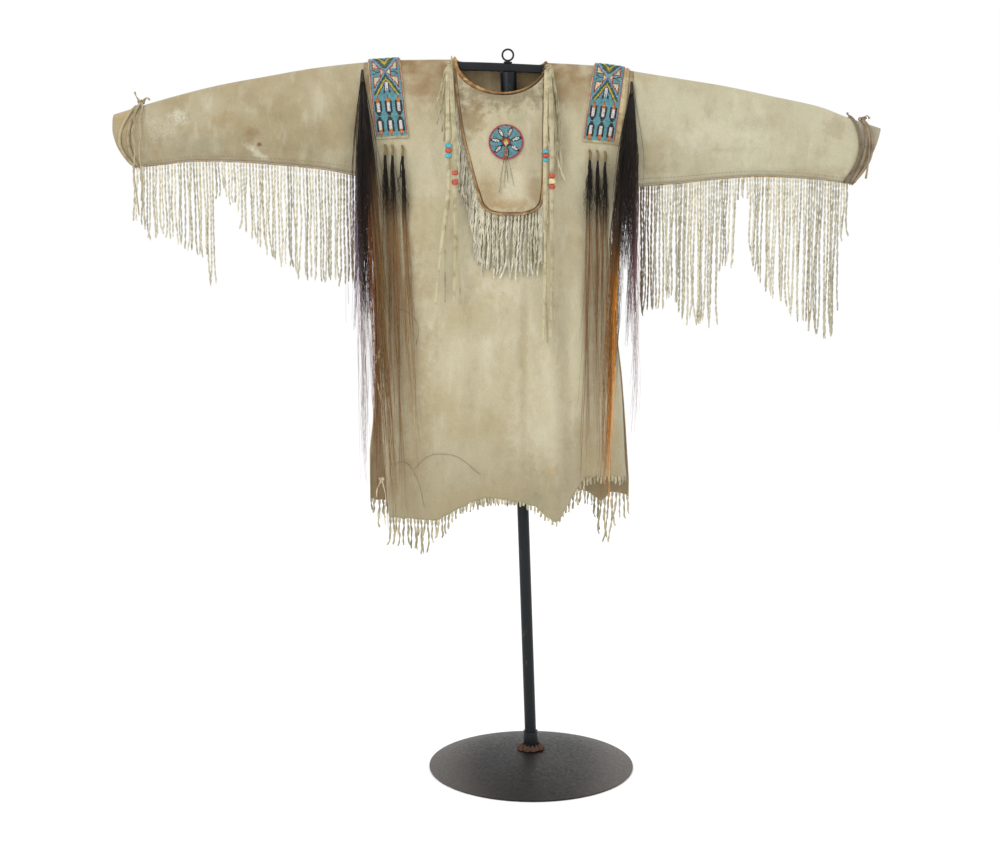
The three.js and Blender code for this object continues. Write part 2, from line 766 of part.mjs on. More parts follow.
function sleeveFringe(side) {
  const sleeve = SLEEVES[side];
  const seam = through(sleeve.seam, "x", "z");
  const tip = through(sleeve.fringe, "x", "tip");
  const low = Math.min(sleeve.fringeFrom, sleeve.fringeTo) - 3;
  const high = Math.max(sleeve.fringeFrom, sleeve.fringeTo) + 3;
  const drop = FRINGE.gap + FRINGE.stripHeight / 2;
  const backing = steps(12).map((t) => {
    const x = lerp(low, high, t);
    return vec(x, 0, seam(x) - drop);
  });
  const strands = steps(FRINGE_STRANDS - 1).map((t, i) => {
    const x = lerp(low + 3, high - 3, t);
    const lean = sleeve.splay * Math.max(0, 1 - t * 7);
    const hangsFrom = onLine(backing, (x - low) / (high - low));
    return strand(hangsFrom, vec(x + lean, 4 * uneven(i, 5), tip(x + lean) + 3 * uneven(i, 4)), i);
  });
  add("fringe_sleeve_" + side, join([strip(backing, FRINGE.strip, FRINGE.stripHeight), ...strands]), FINISH.thong);
}
sleeveFringe("left");
sleeveFringe("right");

{
  const forward = BIB.near / 2;
  const backing = steps(22).map((t) => bibEdge(lerp(0.05, 0.97, t), 0, forward));
  const strands = [];
  for (const row of BIB_FRINGE)
    for (const t of steps(row.strands - 1)) {
      const i = strands.length;
      const from = onLine(backing, (lerp(row.from, row.to, t) - 0.05) / 0.92);
      const length = row.length * (1 + 0.06 * uneven(i, 6));
      const lean = row.lean * (1 + 0.4 * uneven(i, 7));
      const hung = steps(row.bends).slice(1).map((part) => {
        const x = from.x + lean * part ** 0.6;
        const z = from.z - length * part;
        return vec(x, Math.min(from.y, -bodyDepth(PANELS.front, x, z) - forward - 3 * part), z);
      });
      const radii = [FRINGE.root, ...hung.map((_, k) => lerp(FRINGE.root, FRINGE.tip, (k + 1) / row.bends))];
      strands.push(tube([from, ...hung], radii, 3, false, 2 * uneven(i, 3)));
    }
  add("fringe_bib", join([tube(backing, 2.6, 4, false, Math.PI / 4), ...strands]), FINISH.thong);
}

for (const [name, panel] of Object.entries(PANELS)) {
  const drop = FRINGE.hemGap + FRINGE.stripHeight / 2;
  const rows = HEM_FRINGE[name];
  const hem = panelColumns.map((u) => panelPoint(panel, u, 1).add(vec(0, 0, -drop)));
  const edge = (x) => {
    const after = hem.findIndex((p, i) => i > 0 && p.x >= x);
    const k = after < 0 ? hem.length - 1 : after;
    return onLine([hem[k - 1], hem[k]], (x - hem[k - 1].x) / (hem[k].x - hem[k - 1].x));
  };
  const from = rows[0].from - 3;
  const to = rows.at(-1).to + 3;
  const backing = [edge(from), ...hem.filter((p) => p.x > from + 1 && p.x < to - 1), edge(to)];
  const strands = [];
  for (const row of rows)
    for (const t of steps(row.strands - 1)) {
      const i = strands.length;
      const from = edge(lerp(row.from, row.to, t));
      const tip = Math.min(lerp(row.tipFrom, row.tipTo, t), from.z - SHORTEST_NIB) + 4 * uneven(i, 9);
      strands.push(strand(from, vec(from.x + 3 * uneven(i, 10), from.y + 4 * uneven(i, 11), tip), i, 1.5));
    }
  add("fringe_hem_" + name, join([strip(backing, FRINGE.strip, FRINGE.stripHeight), ...strands]), FINISH.thong);
}

// ---------------------------------------------------------------- sleeves
const sleeveRow = [0, 0.14, 0.32, 0.52, 0.72, 0.88, 0.97];
function sleeveRing(sleeve, v, inset) {
  const seam = through(sleeve.seam, "x", "z");
  const start = sleeve.armhole + (sleeve.sign * SEAM) / 2;
  const topX = lerp(start, sleeve.cuffTop, v);
  const bottomX = lerp(start, sleeve.cuffBottom, v);
  const top = vec(topX, 0, shoulderZ(topX));
  const bottom = vec(bottomX, 0, seam(bottomX));
  const height = top.distanceTo(bottom);
  const down = bottom.clone().sub(top).normalize();
  const outward = vec(-down.z, 0, down.x).multiplyScalar(sleeve.sign);
  const deepest = lerp(ARM_DEPTH, sleeve.cuffDepth, v);
  const drops = [
    ...steps(RIDGE_STEPS).slice(0, -1).map((t) => RIDGE_R * (1 - Math.cos((t * Math.PI) / 2))),
    ...sleeveRow.map((t) => lerp(RIDGE_R, height, t)),
    height,
  ];
  const half = (sign) =>
    drops.map((drop) => {
      const bow = sleeve.bow * v ** 3 * Math.sin(Math.PI * (drop / height)) ** 0.8;
      const depth = hang(drop, height, deepest);
      const point = new THREE.Vector2(drop, sign * depth);
      if (inset) {
        const step = 0.5;
        const before = Math.max(0, drop - step);
        const after = Math.min(height, drop + step);
        const along = new THREE.Vector2(after - before, sign * (hang(after, height, deepest) - hang(before, height, deepest)));
        if (drop === 0) along.set(0, sign);
        if (drop === height) along.set(0, -sign);
        along.normalize();
        point.add(new THREE.Vector2(-along.y, along.x).multiplyScalar(-sign * inset));
      }
      return top.clone().addScaledVector(down, point.x).addScaledVector(outward, bow).add(vec(0, point.y, 0));
    });
  return [...half(-1), ...half(1).slice(1, -1).reverse()];
}
function sleevePiece(name, sleeve, from, to, rows) {
  const outer = steps(rows).map((t) => sleeveRing(sleeve, lerp(from, to, t), 0));
  const inner = steps(rows).map((t) => sleeveRing(sleeve, lerp(from, to, t), HIDE));
  add(name, wall(outer, inner, true), FINISH.hide);
}
sleevePiece("sleeve_left", SLEEVES.left, 0, 1, 11);
sleevePiece("sleeve_right", SLEEVES.right, 0, CUFF_PIECE_FROM, 10);
sleevePiece("cuff_right", SLEEVES.right, CUFF_PIECE_FROM + 0.0008, 1, 2);

// ---------------------------------------------------------------- beaded strips and rosette
function stripPlace(edgesTop, edgesEnd, length) {
  return (u, v) => {
    const along = (2 * v - 1) * length; // negative in front, positive behind
    const run = Math.abs(along);
    const x = lerp(lerp(edgesTop[0], edgesEnd[0], run / length), lerp(edgesTop[1], edgesEnd[1], run / length), u);
    const arc = (RIDGE_R * Math.PI) / 2;
    const drop = run < arc ? RIDGE_R * (1 - Math.cos(run / RIDGE_R)) : RIDGE_R + (run - arc);
    const z = shoulderZ(x) - drop;
    const panel = along < 0 ? PANELS.front : PANELS.back;
    return vec(x, Math.sign(along) * bodyDepth(panel, x, z), z);
  };
}
function stripRows(length) {
  const arc = (RIDGE_R * Math.PI) / 2;
  const runs = [
    ...steps(3).map((t) => lerp(length, arc, t)),
    ...steps(RIDGE_STEPS).slice(1).map((t) => lerp(arc, 0, t)),
  ];
  const front = runs.map((run) => 0.5 - run / length / 2);
  return [...front, ...front.slice(0, -1).reverse().map((v) => 1 - v)];
}
for (const [side, strap] of Object.entries(STRIPS)) {
  const hideLength = strap.length + 4;
  const hide = stripPlace(strap.hideTop, strap.hideEnd, hideLength);
  const beads = stripPlace(strap.top, strap.end, strap.length);
  const { hide: under, beads: over } = STRIP_LAYERS;
  add("strip_hide_" + side, layer(hide, steps(3), stripRows(hideLength), ...under, 1), FINISH.darkHide);
  add("strip_beads_" + side, layer(beads, steps(3), stripRows(strap.length), ...over, 1), FINISH.beadwork);
}

const rosetteFace = BIB.near + HIDE + 1.2;
{
  const place = (distance) =>
    [...steps(3)].map((r) =>
      steps(20).slice(0, -1).map((a) => {
        const radius = Math.max(0.4, r) * ROSETTE.radius;
        const x = ROSETTE.x + radius * Math.cos(2 * Math.PI * a);
        const z = ROSETTE.z + radius * Math.sin(2 * Math.PI * a);
        return vec(x, bibY(x, z) - distance, z);
      }),
    );
  const ring = (r, distance) => place(distance)[r];
  const centre = [ring(1, rosetteFace), ring(2, rosetteFace), ring(3, rosetteFace)];
  const face = [ring(3, rosetteFace + ROSETTE.thickness), ring(1, rosetteFace + ROSETTE.thickness)];
  add("rosette", loft([...centre, ...face]), FINISH.beadwork);
}

// The rosette's pendant: a knot at its centre, two thongs with red beads and thin tails.
{
  const y = bibY(ROSETTE.x, ROSETTE.z) - rosetteFace - ROSETTE.thickness - 3.4;
  const knot = tube([vec(-56, y, 1349), vec(-56, y - 1, 1344)], 2.6, 6);
  const tails = [
    { x: -70, z: 1247 },
    { x: -60, z: 1256 },
    { x: -52, z: 1268 },
    { x: -40, z: 1262 },
  ].map(({ x, z }, i) => strand(vec(-56, y - 0.5, 1346), vec(x, bibY(x, z) - rosetteFace - 4, z), i, 3, 0.9, 0.6));
  add("rosette_pendant", join([knot, ...tails]), FINISH.thong);
}

// ---------------------------------------------------------------- hair locks
function lock(name, head, bundles) {
  add(name, join([head, ...bundles]), FINISH.hair);
}
for (const [side, big] of Object.entries(BIG_LOCKS)) {
  const top = vec(...big.root);
  const low = top.clone().add(vec(0, -8, -26));
  const bundles = big.strands.map(({ mid, end, r }, i) => {
    const start = low.clone().add(vec(0.8 * uneven(i, 12), 0.8 * uneven(i, 13), 4));
    const middle = vec(...mid);
    const last = vec(...end);
    const third = middle.clone().lerp(last, 0.4);
    return tube([start, middle, third, last], [2.5, r, r * 0.65, 0.7], r > 5 ? 4 : 3, false, 0.6 * i);
  });
  lock("hair_big_" + side, tube([top, low], [3, 5.5], 6), bundles);
}
for (const [side, locks] of Object.entries(SMALL_LOCKS))
  locks.forEach(({ x, z, end, reach }, i) => {
    const y = -bodyDepth(PANELS.front, x, z) - 4;
    const head = tube([vec(x, y, z), vec(x + 1, y - 1, z - 22)], [1.4, 2.2], 5);
    const radii = [5, 4, 2.6, 1.6, 0.6];
    const hung = [85, 200, 340, 520, z - reach].map((drop, k) => {
      const at = lerp(x + 1, end, drop / (z - reach));
      return vec(at, -bodyDepth(PANELS.front, at, z - drop) - 6 - radii[k], z - drop);
    });
    const bundle = tube([vec(x + 1, y - 1, z - 18), ...hung], [1.6, ...radii], 3);
    lock("hair_small_" + side + "_" + (i + 1), head, [bundle]);
  });

// ---------------------------------------------------------------- neck tassels and large beads
function beadRing(bead) {
  const { radius, bore } = LARGE_BEAD;
  const half = bead.half - LARGE_BEAD.gap / 2;
  const profile = [
    [bore, -half],
    [radius * 0.85, -half],
    [radius, 0],
    [radius * 0.85, half],
    [bore, half],
    [bore, -half],
  ].map(([r, z]) => new THREE.Vector2(r, z));
  return new THREE.LatheGeometry(profile, 8).rotateX(Math.PI / 2).translate(bead.x, TASSEL_Y, bead.z);
}
for (const [side, tassel] of Object.entries(TASSELS)) {
  const knot = vec(...tassel.knot);
  const head = tube([knot.clone().add(vec(0, 6, 8)), knot, knot.clone().add(vec(0, -5, -10))], [5, 7.5, 5], 8);
  const thongs = tassel.thongs.map(({ beads, end }, i) => {
    const start = knot.clone().add(vec((i - 1.5) * 2, -3, -6));
    const out = vec(lerp(start.x, beads, 0.5), lerp(TASSEL_Y, start.y, 0.25), 1440);
    return tube(
      [start, out, vec(beads, TASSEL_Y, 1350), vec(beads, TASSEL_Y, 1250), vec(end[0], TASSEL_Y + 8, end[1])],
      [2, 2, THONG_R, THONG_R, 1.1],
      4,
      false,
      Math.PI / 4,
    );
  });
  add("neck_tassel_" + side, join([head, ...thongs]), FINISH.thong);
  for (const bead of tassel.beads)
    add("bead_" + side + "_" + bead.name, beadRing(bead), FINISH[bead.name.split("_")[0]]);
}

// ---------------------------------------------------------------- ties
for (const [side, tie] of Object.entries(CUFF_TIES)) {
  const sleeve = SLEEVES[side];
  const topShare = (tie.top - sleeve.armhole) / (sleeve.cuffTop - sleeve.armhole);
  const bottomShare = (tie.bottom - sleeve.armhole) / (sleeve.cuffBottom - sleeve.armhole);
  const upper = sleeveRing(sleeve, topShare, -TIE_R - 0.8);
  const lower = sleeveRing(sleeve, bottomShare, -TIE_R - 0.8);
  const half = upper.length / 2; // from the top of the sleeve round the front to the seam
  const wrapped = upper.map((p, i) => p.clone().lerp(lower[i], 1 - Math.abs(1 - i / half)));
  const open = [...wrapped.slice(half + 1), ...wrapped.slice(0, half)]; // both ends stop at the seam
  add("cuff_tie_" + side, tube(open, TIE_R, 4), FINISH.thong);
}
for (const [name, route] of Object.entries(LOOSE_ENDS)) {
  const curve = new THREE.CatmullRomCurve3(route.map((p) => vec(...p)));
  const section = new THREE.Shape().absarc(0, 0, TIE_R, 0, 2 * Math.PI);
  const count = Math.round(curve.getLength() / (5 * TIE_R * 2));
  add(
    name,
    new THREE.ExtrudeGeometry(section, { steps: count, curveSegments: 4, extrudePath: curve, bevelEnabled: false }),
    FINISH.thong,
  );
}
SIDE_KNOTS.forEach(({ x, z }, i) => {
  const knot = new THREE.SphereGeometry(5, 6, 5).scale(1, 1.1, 0.8).translate(x, -13.5, z);
  add("side_knot_" + (i + 1), knot, FINISH.thong);
});

// ---------------------------------------------------------------- stand
// What stands on the base leans with the pole, about the middle of the base's top.
function addLeaning(name, geometry) {
  geometry.translate(0, 0, -STAND.baseHeight).rotateY(-STAND.lean).translate(0, 0, STAND.baseHeight);
  add(name, geometry, FINISH.black);
}
function turned(profile, segments) {
  const points = profile.map(([r, z]) => new THREE.Vector2(r, z));
  return new THREE.LatheGeometry(points, segments).rotateX(Math.PI / 2);
}
function pipe(inner, outer, from, to) {
  return turned([[inner, from], [outer, from], [outer, to], [inner, to], [inner, from]], 16);
}
{
  const { baseRadius, baseEdge, baseHeight, poleRadius, barDrop, barHeight, barDepth } = STAND;
  const dome = steps(4).map((t) => [baseRadius * (1 - t), baseEdge + (baseHeight - baseEdge) * (2 * t - t * t)]);
  add("stand_base", turned([[0, 0], [baseRadius, 0], ...dome], 36), FINISH.black);

  const foot = baseHeight + 1;
  const poleX = -Math.tan(STAND.lean) * (shoulderZ(NECK.x) - baseHeight);
  const top = (shoulderZ(poleX) - barDrop - barHeight - 1.7 - baseHeight) / Math.cos(STAND.lean) + baseHeight;
  const bore = poleRadius + SEAM;
  addLeaning("stand_pole", turned([[0, foot], [poleRadius, foot], [poleRadius, top], [0, top]], 16));
  addLeaning("stand_collar", pipe(bore, STAND.collarRadius, foot, foot + STAND.collarHeight));
  addLeaning("stand_socket", pipe(bore, STAND.socketRadius, top - STAND.socketLength, top));
  const weldInner = STAND.collarRadius + SEAM;
  const weld = [[weldInner, foot], [STAND.weldRadius, foot], [weldInner + 3, foot + STAND.weldHeight], [weldInner, foot + STAND.weldHeight], [weldInner, foot]];
  addLeaning("stand_weld", turned(weld, 16));

  const barRings = steps(22).map((t) => {
    const x = lerp(STAND.barFrom, STAND.barTo, t);
    const z = shoulderZ(x) - barDrop;
    const half = barDepth / 2;
    return [vec(x, -half, z - barHeight), vec(x, half, z - barHeight), vec(x, half, z), vec(x, -half, z)];
  });
  add("stand_crossbar", loft(barRings), FINISH.black);

  const onBar = (geometry, height) =>
    geometry.rotateX(Math.PI / 2).rotateY(STAND.lean).translate(poleX, 0, shoulderZ(poleX) - barDrop + height);
  const { nutRadius, nutHeight, ringRadius, ringWire } = STAND;
  const nut = new THREE.CylinderGeometry(nutRadius, nutRadius, nutHeight, 12);
  add("stand_nut", onBar(nut, 0.4 + nutHeight / 2), FINISH.black);
  const ring = new THREE.TorusGeometry(ringRadius, ringWire, 6, 16);
  add("stand_ring", onBar(ring, 0.7 + nutHeight + ringWire + ringRadius), FINISH.black);
}
export default root;
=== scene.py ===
"""Fringed hide war shirt with beaded strips, bib and hair locks, hung on a black T stand.

Sizes are in millimetres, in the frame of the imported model: the origin is the centre of the
stand's underside, +X runs along the sleeves, -Y is the front and +Z is up.
"""

import json
import logging
import math
from dataclasses import dataclass
from enum import Enum
from typing import Callable, Sequence

import bpy
import numpy as np
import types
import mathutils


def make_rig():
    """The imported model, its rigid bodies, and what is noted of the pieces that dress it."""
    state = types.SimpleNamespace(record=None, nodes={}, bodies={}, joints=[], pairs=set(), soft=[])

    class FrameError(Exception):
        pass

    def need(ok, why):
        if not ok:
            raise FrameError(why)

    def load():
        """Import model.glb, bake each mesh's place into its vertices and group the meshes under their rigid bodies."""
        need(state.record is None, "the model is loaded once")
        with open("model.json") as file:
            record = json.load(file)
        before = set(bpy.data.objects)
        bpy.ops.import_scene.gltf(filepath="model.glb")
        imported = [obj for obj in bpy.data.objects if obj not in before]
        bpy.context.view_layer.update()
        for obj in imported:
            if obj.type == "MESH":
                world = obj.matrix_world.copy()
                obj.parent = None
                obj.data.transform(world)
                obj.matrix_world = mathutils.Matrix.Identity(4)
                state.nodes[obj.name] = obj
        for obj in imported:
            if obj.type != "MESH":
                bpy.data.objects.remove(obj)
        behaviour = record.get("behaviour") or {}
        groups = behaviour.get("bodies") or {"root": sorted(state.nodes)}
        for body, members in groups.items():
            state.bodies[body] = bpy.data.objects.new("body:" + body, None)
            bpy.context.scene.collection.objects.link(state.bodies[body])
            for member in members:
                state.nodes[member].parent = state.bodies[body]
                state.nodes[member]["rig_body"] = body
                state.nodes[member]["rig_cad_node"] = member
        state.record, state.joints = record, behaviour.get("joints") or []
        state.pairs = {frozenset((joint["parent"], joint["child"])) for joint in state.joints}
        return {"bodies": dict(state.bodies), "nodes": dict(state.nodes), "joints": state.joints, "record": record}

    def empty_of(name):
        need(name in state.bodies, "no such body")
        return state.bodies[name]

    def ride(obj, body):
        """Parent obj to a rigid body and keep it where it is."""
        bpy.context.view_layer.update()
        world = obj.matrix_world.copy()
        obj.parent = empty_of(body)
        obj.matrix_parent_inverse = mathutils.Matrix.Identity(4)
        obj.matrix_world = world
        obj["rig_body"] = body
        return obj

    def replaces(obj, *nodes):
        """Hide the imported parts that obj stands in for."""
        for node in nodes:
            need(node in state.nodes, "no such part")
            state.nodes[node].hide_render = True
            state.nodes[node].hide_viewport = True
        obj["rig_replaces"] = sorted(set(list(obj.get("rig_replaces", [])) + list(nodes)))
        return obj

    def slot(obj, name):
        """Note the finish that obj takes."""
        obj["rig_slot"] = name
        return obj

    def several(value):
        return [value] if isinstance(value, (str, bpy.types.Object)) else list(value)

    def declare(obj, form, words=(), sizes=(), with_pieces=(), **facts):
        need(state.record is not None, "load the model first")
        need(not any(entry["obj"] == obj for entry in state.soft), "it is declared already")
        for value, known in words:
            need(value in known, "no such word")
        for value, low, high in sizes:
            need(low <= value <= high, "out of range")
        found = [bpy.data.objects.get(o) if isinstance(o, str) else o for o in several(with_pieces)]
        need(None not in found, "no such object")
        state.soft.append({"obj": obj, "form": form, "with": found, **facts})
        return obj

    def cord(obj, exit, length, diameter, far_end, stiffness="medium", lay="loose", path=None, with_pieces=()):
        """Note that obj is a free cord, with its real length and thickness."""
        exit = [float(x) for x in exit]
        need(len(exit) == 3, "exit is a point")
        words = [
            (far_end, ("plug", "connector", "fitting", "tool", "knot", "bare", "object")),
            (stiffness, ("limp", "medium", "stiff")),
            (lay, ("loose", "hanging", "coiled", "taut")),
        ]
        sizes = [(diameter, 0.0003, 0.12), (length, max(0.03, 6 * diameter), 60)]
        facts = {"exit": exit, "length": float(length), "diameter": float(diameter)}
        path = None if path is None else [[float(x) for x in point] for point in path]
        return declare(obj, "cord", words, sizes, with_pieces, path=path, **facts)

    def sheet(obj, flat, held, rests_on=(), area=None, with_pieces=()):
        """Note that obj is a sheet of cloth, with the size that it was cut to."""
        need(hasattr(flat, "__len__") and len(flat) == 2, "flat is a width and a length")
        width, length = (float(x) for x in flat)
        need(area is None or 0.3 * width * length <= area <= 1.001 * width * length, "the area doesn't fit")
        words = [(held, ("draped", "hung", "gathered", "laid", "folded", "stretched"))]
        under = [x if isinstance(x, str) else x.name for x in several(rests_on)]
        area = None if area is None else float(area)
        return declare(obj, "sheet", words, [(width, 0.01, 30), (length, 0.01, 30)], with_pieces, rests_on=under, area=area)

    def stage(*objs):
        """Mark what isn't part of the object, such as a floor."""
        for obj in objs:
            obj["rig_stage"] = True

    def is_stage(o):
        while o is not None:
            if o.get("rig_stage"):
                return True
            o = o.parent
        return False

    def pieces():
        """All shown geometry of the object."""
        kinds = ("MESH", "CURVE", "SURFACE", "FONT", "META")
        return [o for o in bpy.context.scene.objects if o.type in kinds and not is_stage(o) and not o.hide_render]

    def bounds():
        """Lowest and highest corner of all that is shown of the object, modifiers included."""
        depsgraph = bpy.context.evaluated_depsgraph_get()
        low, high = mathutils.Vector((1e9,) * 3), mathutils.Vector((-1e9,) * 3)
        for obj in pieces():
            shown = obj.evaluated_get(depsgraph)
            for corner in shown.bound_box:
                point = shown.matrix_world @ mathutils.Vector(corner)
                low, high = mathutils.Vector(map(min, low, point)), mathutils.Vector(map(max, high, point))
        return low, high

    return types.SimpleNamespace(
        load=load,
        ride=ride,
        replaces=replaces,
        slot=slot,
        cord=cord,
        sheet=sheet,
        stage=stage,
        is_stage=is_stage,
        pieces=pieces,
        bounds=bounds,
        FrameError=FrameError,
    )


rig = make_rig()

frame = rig.load()
CAD_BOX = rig.bounds()

LOG = logging.getLogger("war_shirt")
MM = 0.001  # metres in a millimetre
SIZE_FILE = "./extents.json"
BODY = "root"

Array = np.ndarray
Point = tuple[float, float, float]

# ---- numbers
HIDE = 2.0  # thickness of the hide
SEAM = 0.3  # gap between two sewn pieces
CUFF_GAP = 0.0008  # the same gap at the cuff, as a share of the sleeve
RIDGE_R = 16.0  # radius of the fold where the hide lies over the bar
ARM_DEPTH = 40.0  # half depth of a sleeve where it meets the body


class Side(Enum):
    """The two sides of the shirt, as the viewer sees them."""

    LEFT = "left"
    RIGHT = "right"


class Face(Enum):
    """The two faces of the shirt, by the sign of Y that each lies on."""

    FRONT = -1.0
    BACK = 1.0


def lerp(start: Array | float, end: Array | float, share: Array | float) -> Array | float:
    """Blends from start to end by share."""
    return start + (end - start) * share


def smoothstep(value: Array | float, low: float, high: float) -> Array:
    """Rises softly from 0 at low to 1 at high."""
    t = np.clip((np.asarray(value, float) - low) / (high - low), 0.0, 1.0)
    return t * t * (3.0 - 2.0 * t)


def unit(vectors: Array) -> Array:
    """Scales vectors to a length of 1."""
    length = np.linalg.norm(vectors, axis=-1, keepdims=True)
    return vectors / np.maximum(length, 1e-9)


class Profile:
    """A smooth line through the rows of a table, which never overshoots them."""

    def __init__(self, rows: Sequence[tuple[float, float]]) -> None:
        """Sorts the rows and works out the slope at each.

        Args:
            rows: pairs of a place and the value there.
        """
        table = np.array(sorted(rows), float)
        self.at, self.value = table[:, 0], table[:, 1]
        slopes = np.diff(self.value) / np.diff(self.at)
        product, total = slopes[:-1] * slopes[1:], slopes[:-1] + slopes[1:]
        inner = np.where(product > 0, 2.0 * product / np.where(product > 0, total, 1.0), 0.0)
        self.tangent = np.concatenate([slopes[:1], inner, slopes[-1:]])

    def __call__(self, at: Array | float) -> Array:
        """Reads the line.

        Args:
            at: the places to read it at.

        Returns:
            The values there, held level past both ends.
        """
        place = np.clip(np.asarray(at, float), self.at[0], self.at[-1])
        k = np.clip(np.searchsorted(self.at, place) - 1, 0, len(self.at) - 2)
        span = self.at[k + 1] - self.at[k]
        t = (place - self.at[k]) / span
        s = 1.0 - t
        bend = s * t * (s * self.tangent[k] - t * self.tangent[k + 1]) * span
        return s * s * (1 + 2 * t) * self.value[k] + t * t * (1 + 2 * s) * self.value[k + 1] + bend


def spline(points: Sequence[Sequence[float]], count: int) -> Array:
    """Runs a smooth line through points and spaces count points evenly along it.

    Args:
        points: the points that it passes through.
        count: how many points come back.

    Returns:
        The points of the line, one a row.
    """
    given = np.asarray(points, float)
    ends = np.vstack([2 * given[0] - given[1], given, 2 * given[-1] - given[-2]])
    knots = np.concatenate([[0.0], np.cumsum(np.linalg.norm(np.diff(ends, axis=0), axis=1) ** 0.5)])
    stretches = []
    for i in range(1, len(ends) - 2):
        t0, t1, t2, t3 = knots[i - 1 : i + 3]
        t = np.linspace(t1, t2, 25)[:, None]
        a1 = (t1 - t) / (t1 - t0) * ends[i - 1] + (t - t0) / (t1 - t0) * ends[i]
        a2 = (t2 - t) / (t2 - t1) * ends[i] + (t - t1) / (t2 - t1) * ends[i + 1]
        a3 = (t3 - t) / (t3 - t2) * ends[i + 1] + (t - t2) / (t3 - t2) * ends[i + 2]
        b1 = (t2 - t) / (t2 - t0) * a1 + (t - t0) / (t2 - t0) * a2
        b2 = (t3 - t) / (t3 - t1) * a2 + (t - t1) / (t3 - t1) * a3
        stretches.append((t2 - t) / (t2 - t1) * b1 + (t - t1) / (t2 - t1) * b2)
    line = np.vstack([part[:-1] for part in stretches[:-1]] + [stretches[-1]])
    return evenly(line, count)


def evenly(line: Array, count: int) -> Array:
    """Spaces count points evenly by length along a line of points.

    Args:
        line: the points of the line.
        count: how many points to give.

    Returns:
        The points, from end to end of the line.
    """
    along = np.concatenate([[0.0], np.cumsum(np.linalg.norm(np.diff(line, axis=0), axis=1))])
    wanted = np.linspace(0.0, along[-1], count)
    return np.column_stack([np.interp(wanted, along, line[:, k]) for k in range(line.shape[1])])


def line_length(line: Array) -> float:
    """Measures a line of points."""
    return float(np.linalg.norm(np.diff(line, axis=0), axis=1).sum())


def ripple(x: Array, z: Array, seed: int, shortest: float, longest: float, waves: int = 7) -> Array:
    """Gives low uneven waves of about -1 to 1 over a surface.

    Args:
        x: places across.
        z: places up.
        seed: which set of waves.
        shortest: the shortest wave's length.
        longest: the longest wave's length.
        waves: how many waves are added up.

    Returns:
        The height at each place.
    """
    rng = np.random.default_rng(seed)
    total = np.zeros(np.broadcast(x, z).shape)
    for _ in range(waves):
        length = rng.uniform(shortest, longest)
        turn, phase = rng.uniform(0, math.pi), rng.uniform(0, 2 * math.pi)
        way = math.cos(turn) * x + math.sin(turn) * z
        total += np.sin(2 * math.pi * way / length + phase)
    return total / math.sqrt(waves)


